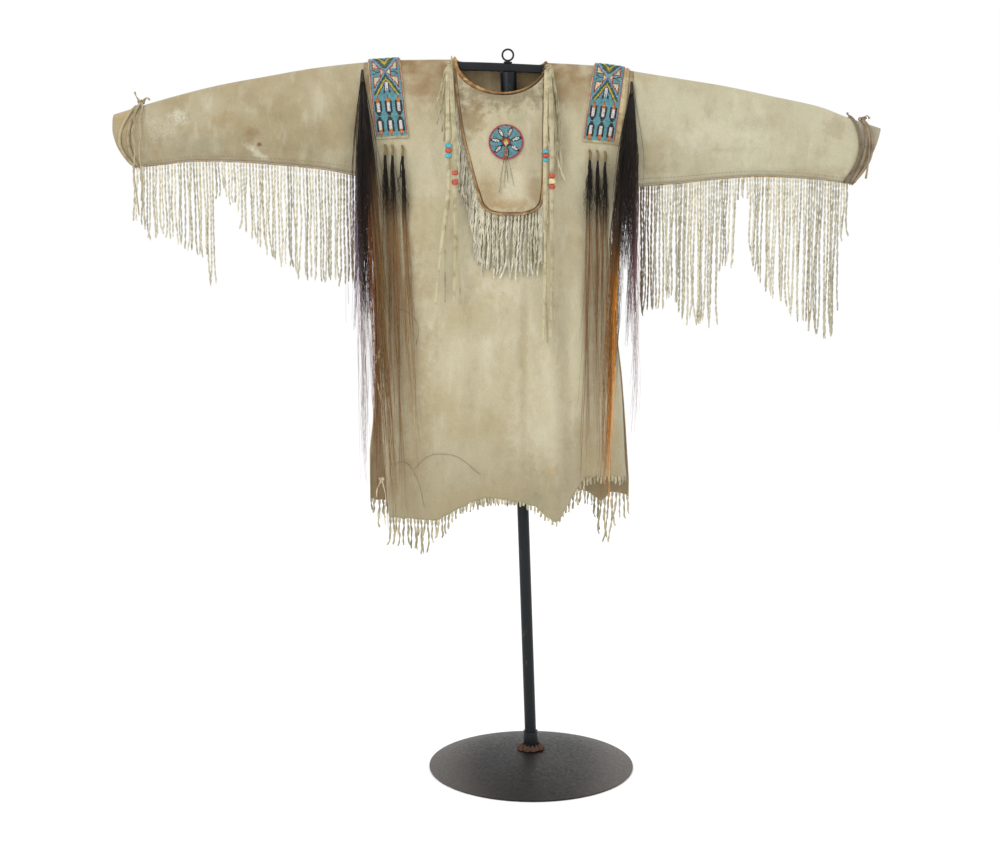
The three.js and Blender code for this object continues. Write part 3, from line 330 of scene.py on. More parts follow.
# ---- meshes
class Patchwork:
    """Collects patches of faces from arrays and joins them into one mesh."""

    def __init__(self) -> None:
        """Starts with nothing in it."""
        self.points: list[Array] = []
        self.faces: list[Array] = []
        self.finish: list[Array] = []
        self.tints: list[Array] = []
        self.count = 0

    def add(self, points: Array, faces: Array, finish: int | Array = 0, tint: Array | None = None) -> None:
        """Adds a patch.

        Args:
            points: its points, in millimetres.
            faces: its triangles or quads, by number of point.
            finish: its material's number, or one for each face.
            tint: one linear colour for the patch or one for each point.
        """
        points = np.asarray(points, float).reshape(-1, 3)
        faces = np.asarray(faces, int)
        self.points.append(points)
        self.faces.append(faces + self.count)
        self.finish.append(np.broadcast_to(finish, (len(faces),)))
        shade = np.ones(3) if tint is None else np.asarray(tint, float)
        self.tints.append(np.broadcast_to(shade, (len(points), 3)))
        self.count += len(points)

    def closed(self, points: Array, tint: Array | None = None) -> None:
        """Adds a grid of quads, rows by columns by 3, that closes on itself both ways."""
        self.add(points, grid_faces(*points.shape[:2], True, True), 0, tint)

    def loop(
        self,
        path: Array,
        across: Array | float,
        thick: Array | float,
        sides: int,
        tint: Array | None = None,
    ) -> None:
        """Adds a tube that closes on itself.

        Args:
            path: its points, the last one beside the first.
            across: half the section's width at each point.
            thick: half its thickness at each point.
            sides: how many sides the section has.
            tint: its colour.
        """
        count = len(path)
        order = np.arange(-2, count + 2) % count
        wide, deep = (np.broadcast_to(np.asarray(size, float), (count,))[order] for size in (across, thick))
        self.closed(rings_along(path[order][None], wide, deep, sides)[0, 2:-2], tint)

    def strap(
        self,
        points: Sequence[Point],
        count: int,
        size: tuple[float, float],
        sides: int,
        twist: float,
        tint: Array,
    ) -> Array:
        """Adds an evenly twisted thong.

        Args:
            points: the points that it passes through.
            count: how many rings it has.
            size: half its width and half its thickness.
            sides: how many sides the section has.
            twist: how far it is twisted in all, in radians.
            tint: its colour.

        Returns:
            Its middle line.
        """
        path = spline(points, count)
        self.tubes(rings_along(path[None], *size, sides, np.linspace(0, twist, count)), tint=tint)
        return path

    def threads(self, lines: Array, radius: float, sides: int = 5) -> None:
        """Adds open tubes of sewing thread, in the second finish.

        Args:
            lines: the threads' points, threads by points by 3.
            radius: the thread's radius.
            sides: how many sides it has.
        """
        count, steps = lines.shape[:2]
        each = np.arange(count)[:, None, None] * steps * sides
        faces = (grid_faces(steps, sides, False, True)[None] + each).reshape(-1, 4)
        self.add(rings_along(lines, radius, radius, sides), faces, 1)

    def tubes(self, rings: Array, finish: int = 0, tint: Array | None = None) -> None:
        """Adds closed tubes.

        Args:
            rings: tubes by rings by sides by 3.
            finish: the material's number.
            tint: a colour for each tube, or for each ring of each tube.
        """
        tubes, steps, sides = rings.shape[:3]
        body = grid_faces(steps, sides, False, True)
        each = np.arange(tubes)[:, None, None] * steps * sides
        shade = None
        if tint is not None:
            tint = np.asarray(tint, float)
            tint = tint[:, None, :] if tint.ndim == 2 else tint
            shade = np.broadcast_to(tint[:, :, None, :], (tubes, steps, sides, 3)).reshape(-1, 3)
        start = self.count
        self.add(rings, (body[None] + each).reshape(-1, 4), finish, shade)
        ends = (end_caps(steps, sides)[None] + each).reshape(-1, 3)
        self.faces.append(ends + start)
        self.finish.append(np.broadcast_to(finish, (len(ends),)))

    def build(
        self,
        name: str,
        materials: Sequence[bpy.types.Material],
        slot: str,
        node: str,
        smooth: float = 180.0,
    ) -> bpy.types.Object:
        """Makes the joined mesh as a piece that rides on the shirt's body.

        Args:
            name: the piece's name.
            materials: its materials, in the order of their numbers.
            slot: the finish's slot in the record.
            node: the frame's node that the piece stands for.
            smooth: edges that turn by less than this many degrees are shaded smooth.

        Returns:
            The piece.
        """
        mesh = bpy.data.meshes.new(name)
        points = np.vstack(self.points) * MM
        sizes = np.concatenate([np.full(len(f), f.shape[1]) for f in self.faces])
        corners = np.concatenate([f.reshape(-1) for f in self.faces])
        mesh.vertices.add(len(points))
        mesh.vertices.foreach_set("co", points.reshape(-1))
        mesh.loops.add(len(corners))
        mesh.loops.foreach_set("vertex_index", corners)
        mesh.polygons.add(len(sizes))
        mesh.polygons.foreach_set("loop_start", np.concatenate([[0], np.cumsum(sizes)[:-1]]))
        mesh.polygons.foreach_set("material_index", np.concatenate(self.finish))
        mesh.update(calc_edges=True)
        mesh.validate()
        colours = np.ones((len(points), 4))
        colours[:, :3] = np.vstack(self.tints)
        layer = mesh.color_attributes.new("tint", "FLOAT_COLOR", "POINT")
        layer.data.foreach_set("color", colours.reshape(-1))
        for material in materials:
            mesh.materials.append(material)
        mesh.shade_smooth()
        if smooth < 180.0:
            mesh.set_sharp_from_angle(angle=math.radians(smooth))
        piece = bpy.data.objects.new(name, mesh)
        bpy.context.scene.collection.objects.link(piece)
        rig.ride(piece, BODY)
        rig.slot(piece, slot)
        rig.replaces(piece, node)
        LOG.info("%s: %d faces", name, len(sizes))
        return piece


def grid_faces(rows: int, columns: int, wrap_rows: bool = False, wrap_columns: bool = False) -> Array:
    """Numbers the quads of a grid of points.

    Args:
        rows: how many rows of points.
        columns: how many points in a row.
        wrap_rows: whether the last row joins the first.
        wrap_columns: whether the last column joins the first.

    Returns:
        The quads, four numbers each.
    """
    i = np.arange(rows if wrap_rows else rows - 1)[:, None]
    k = np.arange(columns if wrap_columns else columns - 1)[None, :]
    below, right = (i + 1) % rows, (k + 1) % columns
    corners = [i * columns + k, below * columns + k, below * columns + right, i * columns + right]
    return np.stack([np.broadcast_to(c, (len(i), k.shape[1])).reshape(-1) for c in corners], axis=1)


def end_caps(steps: int, sides: int) -> Array:
    """Numbers the triangles that close the first and the last ring of a tube.

    Args:
        steps: how many rings the tube has.
        sides: how many points a ring has.

    Returns:
        The triangles, three numbers each.
    """
    last = (steps - 1) * sides
    near = [(0, k + 1, k) for k in range(1, sides - 1)]
    return np.array(near + [(last, last + k, last + k + 1) for k in range(1, sides - 1)])


def normals(points: Array, wrap_columns: bool = False) -> Array:
    """Works out the normal at each point of a grid, from the points beside it.

    Args:
        points: the grid, rows by columns by 3.
        wrap_columns: whether the last column joins the first.

    Returns:
        The unit normals.
    """
    down = np.gradient(points, axis=0)
    across = np.gradient(points, axis=1)
    if wrap_columns:
        across = (np.roll(points, -1, axis=1) - np.roll(points, 1, axis=1)) / 2
    return unit(np.cross(across, down))


def shell(
    patchwork: Patchwork, outer: Array, inner: Array, wrap: bool = False, finishes: tuple[int, int] = (0, 0)
) -> None:
    """Adds a closed wall between two grids of the same size.

    Args:
        patchwork: what it goes into.
        outer: the side of the wall that shows.
        inner: the other side.
        wrap: whether the columns close into a tube.
        finishes: the materials' numbers outside and inside.
    """
    rows, columns = outer.shape[:2]
    size = rows * columns
    face = grid_faces(rows, columns, False, wrap)
    k = np.arange(columns if wrap else columns - 1)
    right = (k + 1) % columns
    end = (rows - 1) * columns
    first = np.stack([k, right, size + right, size + k], axis=1)
    last = np.stack([end + k, size + end + k, size + end + right, end + right], axis=1)
    rims = [first, last]
    if not wrap:
        i = np.arange(rows - 1) * columns
        near = np.stack([i, size + i, size + i + columns, i + columns], axis=1)
        far = i + columns - 1
        rims += [near, np.stack([far, far + columns, size + far + columns, size + far], axis=1)]
    faces = np.vstack([face, (face + size)[:, ::-1], *rims])
    points = np.vstack([outer.reshape(-1, 3), inner.reshape(-1, 3)])
    corner = points[faces]
    fans = ((0, 1, 2), (0, 2, 3))
    volume = sum(
        np.einsum("ij,ij->i", corner[:, a], np.cross(corner[:, b], corner[:, c])).sum() for a, b, c in fans
    )
    number = np.concatenate([np.full(len(face), finishes[0]), np.full(len(faces) - len(face), finishes[1])])
    patchwork.add(points, faces[:, ::-1] if volume < 0 else faces, number)


def rings_along(
    paths: Array, across: Array | float, thick: Array | float, sides: int = 4, turn: Array | float = 0.0
) -> Array:
    """Puts a ring of points round each point of some paths.

    Args:
        paths: paths by points by 3.
        across: half the section's width.
        thick: half the section's thickness.
        sides: how many sides the section has.
        turn: how far the section is turned at each point, in radians.

    Returns:
        The rings, paths by points by sides by 3.
    """
    along = unit(np.gradient(paths, axis=1))
    level = np.abs(along[..., 1:2]) > 0.9
    reference = np.where(level, np.array([1.0, 0.0, 0.0]), np.array([0.0, 1.0, 0.0]))
    u = unit(np.cross(reference, along))
    v = np.cross(along, u)
    angle = 2 * math.pi * (np.arange(sides) + 0.5) / sides
    wide = np.broadcast_to(np.asarray(across, float), paths.shape[:2])[..., None] * np.cos(angle)
    deep = np.broadcast_to(np.asarray(thick, float), paths.shape[:2])[..., None] * np.sin(angle)
    turned = np.broadcast_to(np.asarray(turn, float), paths.shape[:2])[..., None]
    a = wide * np.cos(turned) - deep * np.sin(turned)
    b = wide * np.sin(turned) + deep * np.cos(turned)
    return paths[:, :, None, :] + a[..., None] * u[:, :, None, :] + b[..., None] * v[:, :, None, :]


def turned(profile: Sequence[tuple[float, float]], segments: int) -> Array:
    """Turns a profile of (radius, height) round the Z axis into a grid, a row for each turn.

    Args:
        profile: the radius and height of each point.
        segments: how many turns the circle is cut into.

    Returns:
        The grid of points.
    """
    table = np.asarray(profile, float)
    angle = np.linspace(0.0, 2 * math.pi, segments, endpoint=False)
    x = np.outer(np.cos(angle), table[:, 0])
    y = np.outer(np.sin(angle), table[:, 0])
    return np.stack([x, y, np.broadcast_to(table[:, 1], x.shape)], axis=-1)


# ---- finishes
Link = tuple[bpy.types.Node, str | int]


def linear(colour: str) -> tuple[float, float, float, float]:
    """Turns an sRGB hex colour to linear light, with an alpha of 1.

    Args:
        colour: the colour, as a hash and six digits.

    Returns:
        Red, green, blue and alpha.
    """
    parts = [int(colour[i : i + 2], 16) / 255 for i in (1, 3, 5)]
    red, green, blue = (p / 12.92 if p <= 0.04045 else ((p + 0.055) / 1.055) ** 2.4 for p in parts)
    return red, green, blue, 1.0


def add_node(
    tree: bpy.types.NodeTree, kind: str, settings: dict | None = None, inputs: dict | None = None
) -> bpy.types.Node:
    """Adds a node to a tree.

    Args:
        tree: the material's node tree.
        kind: the node's type.
        settings: its properties by name.
        inputs: what goes into its sockets, a value or a (node, output) pair, by name or number.

    Returns:
        The new node.
    """
    node = tree.nodes.new(kind)
    for name, value in (settings or {}).items():
        setattr(node, name, value)
    feed(tree, node, inputs or {})
    return node


def feed(tree: bpy.types.NodeTree, node: bpy.types.Node, inputs: dict) -> None:
    """Sets or links a node's sockets.

    Args:
        tree: the material's node tree.
        node: the node.
        inputs: what goes into its sockets, as for add_node.
    """
    for socket, value in inputs.items():
        if isinstance(value, tuple) and isinstance(value[0], bpy.types.Node):
            tree.links.new(value[0].outputs[value[1]], node.inputs[socket])
        else:
            node.inputs[socket].default_value = value


def per_metre(size_mm: float) -> float:
    """Gives a noise scale whose features are size_mm across."""
    return 1.0 / (size_mm * MM)


class Finish:
    """A material in the making: its tree, its shader and the place that its patterns use."""

    def __init__(self, name: str) -> None:
        """Starts a material with one principled shader.

        Args:
            name: the material's name.
        """
        self.material = bpy.data.materials.new(name)
        self.material.use_nodes = True
        self.tree = self.material.node_tree
        self.shader = self.tree.nodes["Principled BSDF"]
        self.place = (self.add("ShaderNodeTexCoord"), "Object")

    def add(self, kind: str, settings: dict | None = None, inputs: dict | None = None) -> bpy.types.Node:
        """Adds a node to this material."""
        return add_node(self.tree, kind, settings, inputs)

    def noise(
        self, size_mm: float, detail: float = 3.0, stretch: Point = (1, 1, 1), rough: float = 0.5
    ) -> Link:
        """Makes noise with features of a real size.

        Args:
            size_mm: how large the features are.
            detail: how many finer layers it has.
            stretch: how much finer it is along each axis.
            rough: how strong the finer layers are.

        Returns:
            The noise, from 0 to 1.
        """
        place = self.place
        if stretch != (1, 1, 1):
            place = (self.add("ShaderNodeMapping", {}, {"Vector": self.place, "Scale": stretch}), 0)
        node = self.add(
            "ShaderNodeTexNoise",
            {},
            {"Vector": place, "Scale": per_metre(size_mm), "Detail": detail, "Roughness": rough},
        )
        return node, "Fac"

    def ramp(self, value: Link, low: float, high: float, out: tuple[float, float] = (0.0, 1.0)) -> Link:
        """Maps a value's stretch from low to high onto out, softly at both ends.

        Args:
            value: the value to map.
            low: where the stretch starts.
            high: where the stretch ends.
            out: what the two ends become.

        Returns:
            The mapped value.
        """
        settings = {"interpolation_type": "SMOOTHSTEP"}
        inputs = {"Value": value, 1: low, 2: high, 3: out[0], 4: out[1]}
        return self.add("ShaderNodeMapRange", settings, inputs), 0

    def math(self, operation: str, first: Link | float, second: Link | float) -> Link:
        """Works out one sum of two values."""
        return self.add("ShaderNodeMath", {"operation": operation}, {0: first, 1: second}), 0

    def mix(self, share: Link | float, first: Link | str, second: Link | str, blend: str = "MIX") -> Link:
        """Mixes two colours.

        Args:
            share: how much of the second there is.
            first: the first colour, as a link or a hex value.
            second: the second colour.
            blend: the way they are blended.

        Returns:
            The mixed colour.
        """
        colours = [linear(c) if isinstance(c, str) else c for c in (first, second)]
        settings = {"data_type": "RGBA", "blend_type": blend, "clamp_factor": True}
        return self.add("ShaderNodeMix", settings, {0: share, 6: colours[0], 7: colours[1]}), 2

    def bump(self, height: Link, depth_mm: float, under: Link | None = None, strength: float = 1.0) -> Link:
        """Raises the surface by a height from 0 to 1, over a real depth.

        Args:
            height: the height, from 0 to 1.
            depth_mm: how deep the full height is.
            under: a bump to add to.
            strength: how much of the bump shows.

        Returns:
            The normal to feed to a shader.
        """
        inputs = {"Height": height, "Distance": depth_mm * MM, "Strength": strength}
        if under:
            inputs["Normal"] = under
        return self.add("ShaderNodeBump", {}, inputs), 0

    def tint(self) -> Link:
        """Reads the colour that the mesh carries."""
        return self.add("ShaderNodeAttribute", {"attribute_name": "tint"}), "Color"

    def finish(
        self, colour: Link | str, roughness: Link | float, normal: Link | None, **sockets: float
    ) -> bpy.types.Material:
        """Feeds the shader.

        Args:
            colour: the base colour.
            roughness: the roughness.
            normal: the bumped normal, if there is one.
            sockets: other sockets' fixed values, with _ for a space.

        Returns:
            The finished material.
        """
        colour = linear(colour) if isinstance(colour, str) else colour
        feeds = {"Base Color": colour, "Roughness": roughness}
        if normal:
            feeds["Normal"] = normal
        feeds |= {name.replace("_", " "): value for name, value in sockets.items()}
        feed(self.tree, self.shader, feeds)
        return self.material


@dataclass(frozen=True)
class StainAndShade:
    """A soft-edged patch of another colour on a hide, as an ellipsoid in millimetres: some are real staining, some are
    painted shade.
    """

    centre: Point
    radii: Point
    colour: str
    strength: float
    tilt: float = 0.0  # degrees, in the picture plane
    crackle: float = 0.0  # size of the crackle's cells, or 0 for none
    ragged: float = 0.35  # how uneven its edge is


@dataclass(frozen=True)
class SmokedHide:
    """Brain-tanned, lightly smoked hide with a napped, chalky face.

    The eye sees a matt pale surface with broad tan clouds, fine scuffs and no gloss at all.
    """

    name: str
    pale: str = "#d0c8a8"
    tan: str = "#b5a27c"
    dirt: str = "#8d7c5e"
    tan_from: float = 0.46
    shoulder: str = "#9f835c"
    shoulder_span: tuple[float, float] = (1465.0, 1524.0)
    shoulder_share: float = 0.45
    stains: tuple[StainAndShade, ...] = ()
    stain_share: float = 0.5  # how strong the patches of staining and of painted shade are over all
    cloud_mm: float = 130.0
    blotch_mm: float = 24.0
    nap_mm: float = 1.6  # real nap is finer, drawn coarser so that it shows
    pore_mm: float = 4.5
    hem: str = "#8d8063"
    hem_span: tuple[float, float] = (560.0, 860.0)
    hem_share: float = 0.6

    def stained(self, f: Finish, colour: Link) -> Link:
        """Lays the patches of staining and of painted shade over a colour.

        Args:
            f: the finish being built.
            colour: the colour to lay them over.

        Returns:
            The colour with the patches laid over it.
        """
        warp = f.noise(14.0, 4.0, rough=0.6)
        for spot in self.stains:
            local = f.add(
                "ShaderNodeMapping",
                {"vector_type": "TEXTURE"},
                {
                    "Vector": f.place,
                    "Location": tuple(c * MM for c in spot.centre),
                    "Rotation": (0.0, -math.radians(spot.tilt), 0.0),
                    "Scale": tuple(r * MM for r in spot.radii),
                },
            )
            distance = (f.add("ShaderNodeVectorMath", {"operation": "LENGTH"}, {0: (local, 0)}), "Value")
            shift = f.ramp(warp, 0.25, 0.75, (-spot.ragged, spot.ragged))
            edge = f.math("ADD", distance, shift)
            mask = f.ramp(edge, 1.15, 0.25, (0.0, spot.strength * self.stain_share))
            if spot.crackle:
                cells = f.add(
                    "ShaderNodeTexVoronoi",
                    {"feature": "DISTANCE_TO_EDGE"},
                    {"Vector": f.place, "Scale": per_metre(spot.crackle)},
                )
                mask = f.math("MULTIPLY", mask, f.ramp((cells, 0), 0.02, 0.14, (0.15, 1.0)))
            colour = f.mix(mask, colour, spot.colour)
        return colour

    def make(self) -> bpy.types.Material:
        """Makes the hide's material.

        Returns:
            The material.
        """
        f = Finish(self.name)
        cloud = f.noise(self.cloud_mm, 5.0, rough=0.55)
        cloud = f.ramp(cloud, self.tan_from - 0.08, self.tan_from + 0.3, (0.0, 0.8))
        colour = f.mix(cloud, self.pale, self.tan)
        blotch = f.ramp(f.noise(self.blotch_mm, 5.0, (1.0, 1.0, 0.55), 0.62), 0.45, 0.8, (0.0, 0.28))
        colour = f.mix(blotch, colour, self.dirt)
        bleach = f.ramp(f.noise(38.0, 4.0, (1.5, 1.0, 0.5), 0.6), 0.48, 0.76, (0.0, 0.26))
        colour = f.mix(bleach, colour, "#ddd8c2")
        height = (f.add("ShaderNodeSeparateXYZ", {}, {0: f.place}), "Z")
        low, high = (edge * MM for edge in self.shoulder_span)
        uneven = f.ramp(f.noise(30.0, 3.0), 0.3, 0.7, (0.35, 1.0))
        top = f.math("MULTIPLY", f.ramp(height, low, high, (0.0, self.shoulder_share)), uneven)
        colour = f.mix(top, colour, self.shoulder)
        hem = f.ramp(height, self.hem_span[1] * MM, self.hem_span[0] * MM, (0.0, self.hem_share))
        colour = f.mix(hem, colour, self.hem)
        colour = self.stained(f, colour)
        speck = f.ramp(f.noise(3.2, 2.0, rough=0.7), 0.66, 0.8, (0.0, 0.35))
        colour = f.mix(speck, colour, self.dirt)
        nap = f.noise(self.nap_mm, 3.0, (1.0, 1.0, 0.6), 0.6)
        shade = f.ramp(nap, 0.3, 0.7, (0.0, 0.16))
        colour = f.mix(shade, colour, "#857a60", "MULTIPLY")
        pores = f.noise(self.pore_mm, 5.0, (1.0, 1.0, 0.7), 0.65)
        normal = f.bump(nap, 0.35, f.bump(pores, 0.9))
        wrinkle = f.noise(16.0, 4.0, (1.0, 1.0, 0.45), 0.6)
        normal = f.bump(wrinkle, 1.6, normal, 0.6)
        return f.finish(
            colour, f.ramp(pores, 0.3, 0.7, (0.88, 0.98)), normal,
            Specular_IOR_Level=0.18, Sheen_Weight=0.22, Sheen_Roughness=0.55,
        )


@dataclass(frozen=True)
class WornEdgeHide:
    """Folded hide edging that hands have browned: tan-orange, faintly polished, dark in its folds."""

    name: str
    warm: str = "#ab8a60"
    brown: str = "#86633f"
    dark: str = "#4b3424"
    pale: str = "#cdb98c"
    dark_from_x: float | None = None  # past this it is handled nearly black

    def make(self) -> bpy.types.Material:
        """Makes the edging's material.

        Returns:
            The material.
        """
        f = Finish(self.name)
        colour = f.mix(f.ramp(f.noise(26.0, 4.0), 0.4, 0.62), self.warm, self.brown)
        colour = f.mix(f.ramp(f.noise(9.0, 4.0, rough=0.65), 0.55, 0.75, (0.0, 0.7)), colour, self.dark)
        colour = f.mix(f.ramp(f.noise(12.0, 3.0), 0.58, 0.72, (0.0, 0.7)), colour, self.pale)
        if self.dark_from_x is not None:
            across = (f.add("ShaderNodeSeparateXYZ", {}, {0: f.place}), "X")
            share = f.ramp(across, (self.dark_from_x - 25) * MM, (self.dark_from_x + 25) * MM, (0.0, 0.75))
            colour = f.mix(share, colour, self.dark)
        grain = f.noise(2.4, 4.0, rough=0.65)
        roughness = f.ramp(grain, 0.3, 0.7, (0.68, 0.85))
        return f.finish(colour, roughness, f.bump(grain, 0.5), Specular_IOR_Level=0.3)


@dataclass(frozen=True)
class TwistedThong:
    """Cut and twisted hide thong: pale, fuzzy at its corners and greyer where it has been handled."""

    name: str
    pale: str = "#e0dbc6"
    grey: str = "#bdb69e"

    def make(self) -> bpy.types.Material:
        """Makes the thong's material; the mesh carries each strand's own shade.

        Returns:
            The material.
        """
        f = Finish(self.name)
        length = f.ramp(f.noise(20.0, 4.0, rough=0.6), 0.46, 0.68)
        colour = f.mix(length, self.pale, self.grey)
        colour = f.mix(f.ramp(f.noise(7.0, 2.0), 0.5, 0.8, (0.0, 0.22)), colour, "#857b62")
        colour = f.mix(1.0, colour, f.tint(), "MULTIPLY")
        fuzz = f.noise(0.9, 3.0, rough=0.7)
        return f.finish(
            colour, 0.92, f.bump(fuzz, 0.3), Specular_IOR_Level=0.15, Sheen_Weight=0.2, Sheen_Roughness=0.5
        )


@dataclass(frozen=True)
class Horsehair:
    """Horsehair, washed and combed: long smooth strands that shine along their length."""

    name: str = "horsehair"

    def make(self) -> bpy.types.Material:
        """Makes the hair's material; the mesh carries its dark and dyed colours.

        Returns:
            The material.
        """
        f = Finish(self.name)
        streak = f.ramp(f.noise(3.0, 2.0, (1.0, 1.0, 0.04)), 0.35, 0.65)
        colour = f.mix(streak, f.tint(), f.mix(0.1, f.tint(), "#7a5a3c"))
        return f.finish(colour, 0.5, None, Specular_IOR_Level=0.3)


@dataclass(frozen=True)
class SeedBeadGlass:
    """Drawn opaque glass seed beads, tumbled smooth: small bright glints and deep even colour."""

    name: str = "seed_bead_glass"

    def make(self) -> bpy.types.Material:
        """Makes the beads' material; the mesh carries each bead's colour.

        Returns:
            The material.
        """
        f = Finish(self.name)
        grime = f.ramp(f.noise(11.0, 4.0, rough=0.6), 0.5, 0.75, (0.0, 0.35))
        colour = f.mix(grime, f.tint(), "#4a3f30", "MULTIPLY")
        roughness = f.ramp(f.noise(6.0, 2.0), 0.3, 0.7, (0.2, 0.38))
        return f.finish(colour, roughness, None, IOR=1.5, Coat_Weight=0.15)


@dataclass(frozen=True)
class WoundGlass:
    """Large wound glass beads: thick opaque glass with faint trails of the winding and a hard shine."""

    name: str
    body: str
    trail: str

    def make(self) -> bpy.types.Material:
        """Makes one colour of large bead.

        Returns:
            The material.
        """
        f = Finish(self.name)
        winding = f.noise(5.0, 3.0, (0.5, 0.5, 2.5), 0.6)
        colour = f.mix(f.ramp(winding, 0.4, 0.65), self.body, self.trail)
        pit = f.noise(1.4, 3.0, rough=0.7)
        roughness = f.ramp(pit, 0.4, 0.7, (0.14, 0.3))
        return f.finish(colour, roughness, f.bump(pit, 0.12), IOR=1.52, Coat_Weight=0.2)


@dataclass(frozen=True)
class SinewThread:
    """Split sinew sewing thread: dry, flat and straw coloured."""

    name: str = "sinew_thread"

    def make(self) -> bpy.types.Material:
        """Makes the thread's material.

        Returns:
            The material.
        """
        f = Finish(self.name)
        fibre = f.noise(1.0, 2.0, rough=0.6)
        return f.finish(f.mix(f.ramp(fibre, 0.3, 0.7), "#b59a68", "#7c6136"), 0.7, f.bump(fibre, 0.15))


@dataclass(frozen=True)
class BrushedPaint:
    """Black paint brushed on steel, satin: soft highlights, with dust and rubs where it is handled, and on the round
    foot a painted reflection that lightens the rim, most at the left and right.
    """

    name: str
    colour: str
    worn: str
    dust: str = "#8a807a"
    worn_share: float = 0.5
    roughness: tuple[float, float] = (0.28, 0.45)
    specks: float = 0.5
    dusty: tuple[float, float] | None = None  # how far out on a round foot the painted reflection starts and is full

    def make(self) -> bpy.types.Material:
        """Makes the painted steel's material.

        Returns:
            The material.
        """
        f = Finish(self.name)
        cloud = f.ramp(f.noise(120.0, 5.0, rough=0.6), 0.35, 0.7, (0.0, self.worn_share))
        colour = f.mix(cloud, self.colour, self.worn)
        speck = f.ramp(f.noise(2.6, 2.0, rough=0.75), 0.68, 0.76, (0.0, self.specks))
        colour = f.mix(speck, colour, self.dust)
        rub = f.ramp(f.noise(40.0, 5.0, (2.5, 1.0, 1.0), 0.7), 0.6, 0.8, (0.0, 0.3))
        colour = f.mix(rub, colour, self.dust)
        # Painted reflection: the foot lightens towards its rim, more at the left and right than at the front and back,
        # in the same pale grey as the dust.
        if self.dusty:
            squash = {0: f.place, 1: (1.0, 0.45, 0.0)}
            flat = f.add("ShaderNodeVectorMath", {"operation": "MULTIPLY"}, squash)
            out = (f.add("ShaderNodeVectorMath", {"operation": "LENGTH"}, {0: (flat, 0)}), "Value")
            start, full = (radius * MM for radius in self.dusty)
            colour = f.mix(f.ramp(out, start, full, (0.0, 0.4)), colour, self.dust)
        brush = f.noise(7.0, 4.0, rough=0.6)
        normal = f.bump(brush, 0.5, None, 0.5)
        return f.finish(colour, f.ramp(brush, 0.3, 0.7, self.roughness), normal, Specular_IOR_Level=0.25)


@dataclass(frozen=True)
class RustedWeld:
    """A hand-laid weld left to rust under thin paint: lumpy, dull and brown-black with orange bloom."""

    name: str = "rusted_weld"

    def make(self) -> bpy.types.Material:
        """Makes the weld's material.

        Returns:
            The material.
        """
        f = Finish(self.name)
        crust = f.noise(3.5, 5.0, rough=0.7)
        colour = f.mix(f.ramp(crust, 0.42, 0.6), "#2a211d", "#5d3a22")
        colour = f.mix(f.ramp(f.noise(8.0, 4.0), 0.58, 0.72, (0.0, 0.8)), colour, "#8a5128")
        return f.finish(colour, 0.85, f.bump(crust, 1.4))


LEFT_SLEEVE_STAINS_AND_SHADE = (
    StainAndShade((-736, -25, 1406), (26, 60, 20), "#dedbca", 0.75, 0, 4.5),
    StainAndShade((-768, -25, 1378), (46, 60, 34), "#cfccb8", 0.5, 0, 4.5),
    StainAndShade((-585, -28, 1372), (20, 60, 18), "#84623f", 0.7),
    StainAndShade((-571, -28, 1349), (6, 60, 5), "#60401f", 1.0),
    StainAndShade((-640, -25, 1400), (42, 60, 20), "#9c8358", 0.6),
    # Painted shade: a darker grey band low on the sleeve, just above the seam, where the sleeve turns under.
    StainAndShade((-700, -30, 1345), (70, 60, 26), "#8f8a78", 0.5),
    StainAndShade((-850, 0, 1400), (34, 90, 60), "#ab8650", 0.55),
    StainAndShade((-575, -28, 1330), (34, 60, 9), "#d6d6c2", 0.7, -35),
    StainAndShade((-420, -30, 1370), (40, 60, 52), "#a08c64", 0.5),
    StainAndShade((-700, 30, 1400), (90, 50, 36), "#a8946c", 0.5),
    StainAndShade((-500, 35, 1380), (70, 50, 40), "#dcd7c4", 0.5, 0, 7.0),
)
RIGHT_SLEEVE_STAINS_AND_SHADE = (
    StainAndShade((390, -30, 1365), (110, 60, 40), "#d8d3bd", 0.5),
    StainAndShade((460, -32, 1390), (52, 60, 22), "#8b795a", 0.35, 0, 4.0),
    StainAndShade((250, -30, 1330), (40, 60, 60), "#9d8a63", 0.55),
    # Painted shade: a darker band low on the sleeve, just above the seam, where the sleeve turns under.
    StainAndShade((600, -20, 1290), (80, 60, 18), "#9b8a6a", 0.5),
    StainAndShade((630, -25, 1380), (30, 60, 34), "#8d7a58", 0.5),
    StainAndShade((420, 32, 1350), (90, 50, 36), "#9d8b66", 0.5),
)
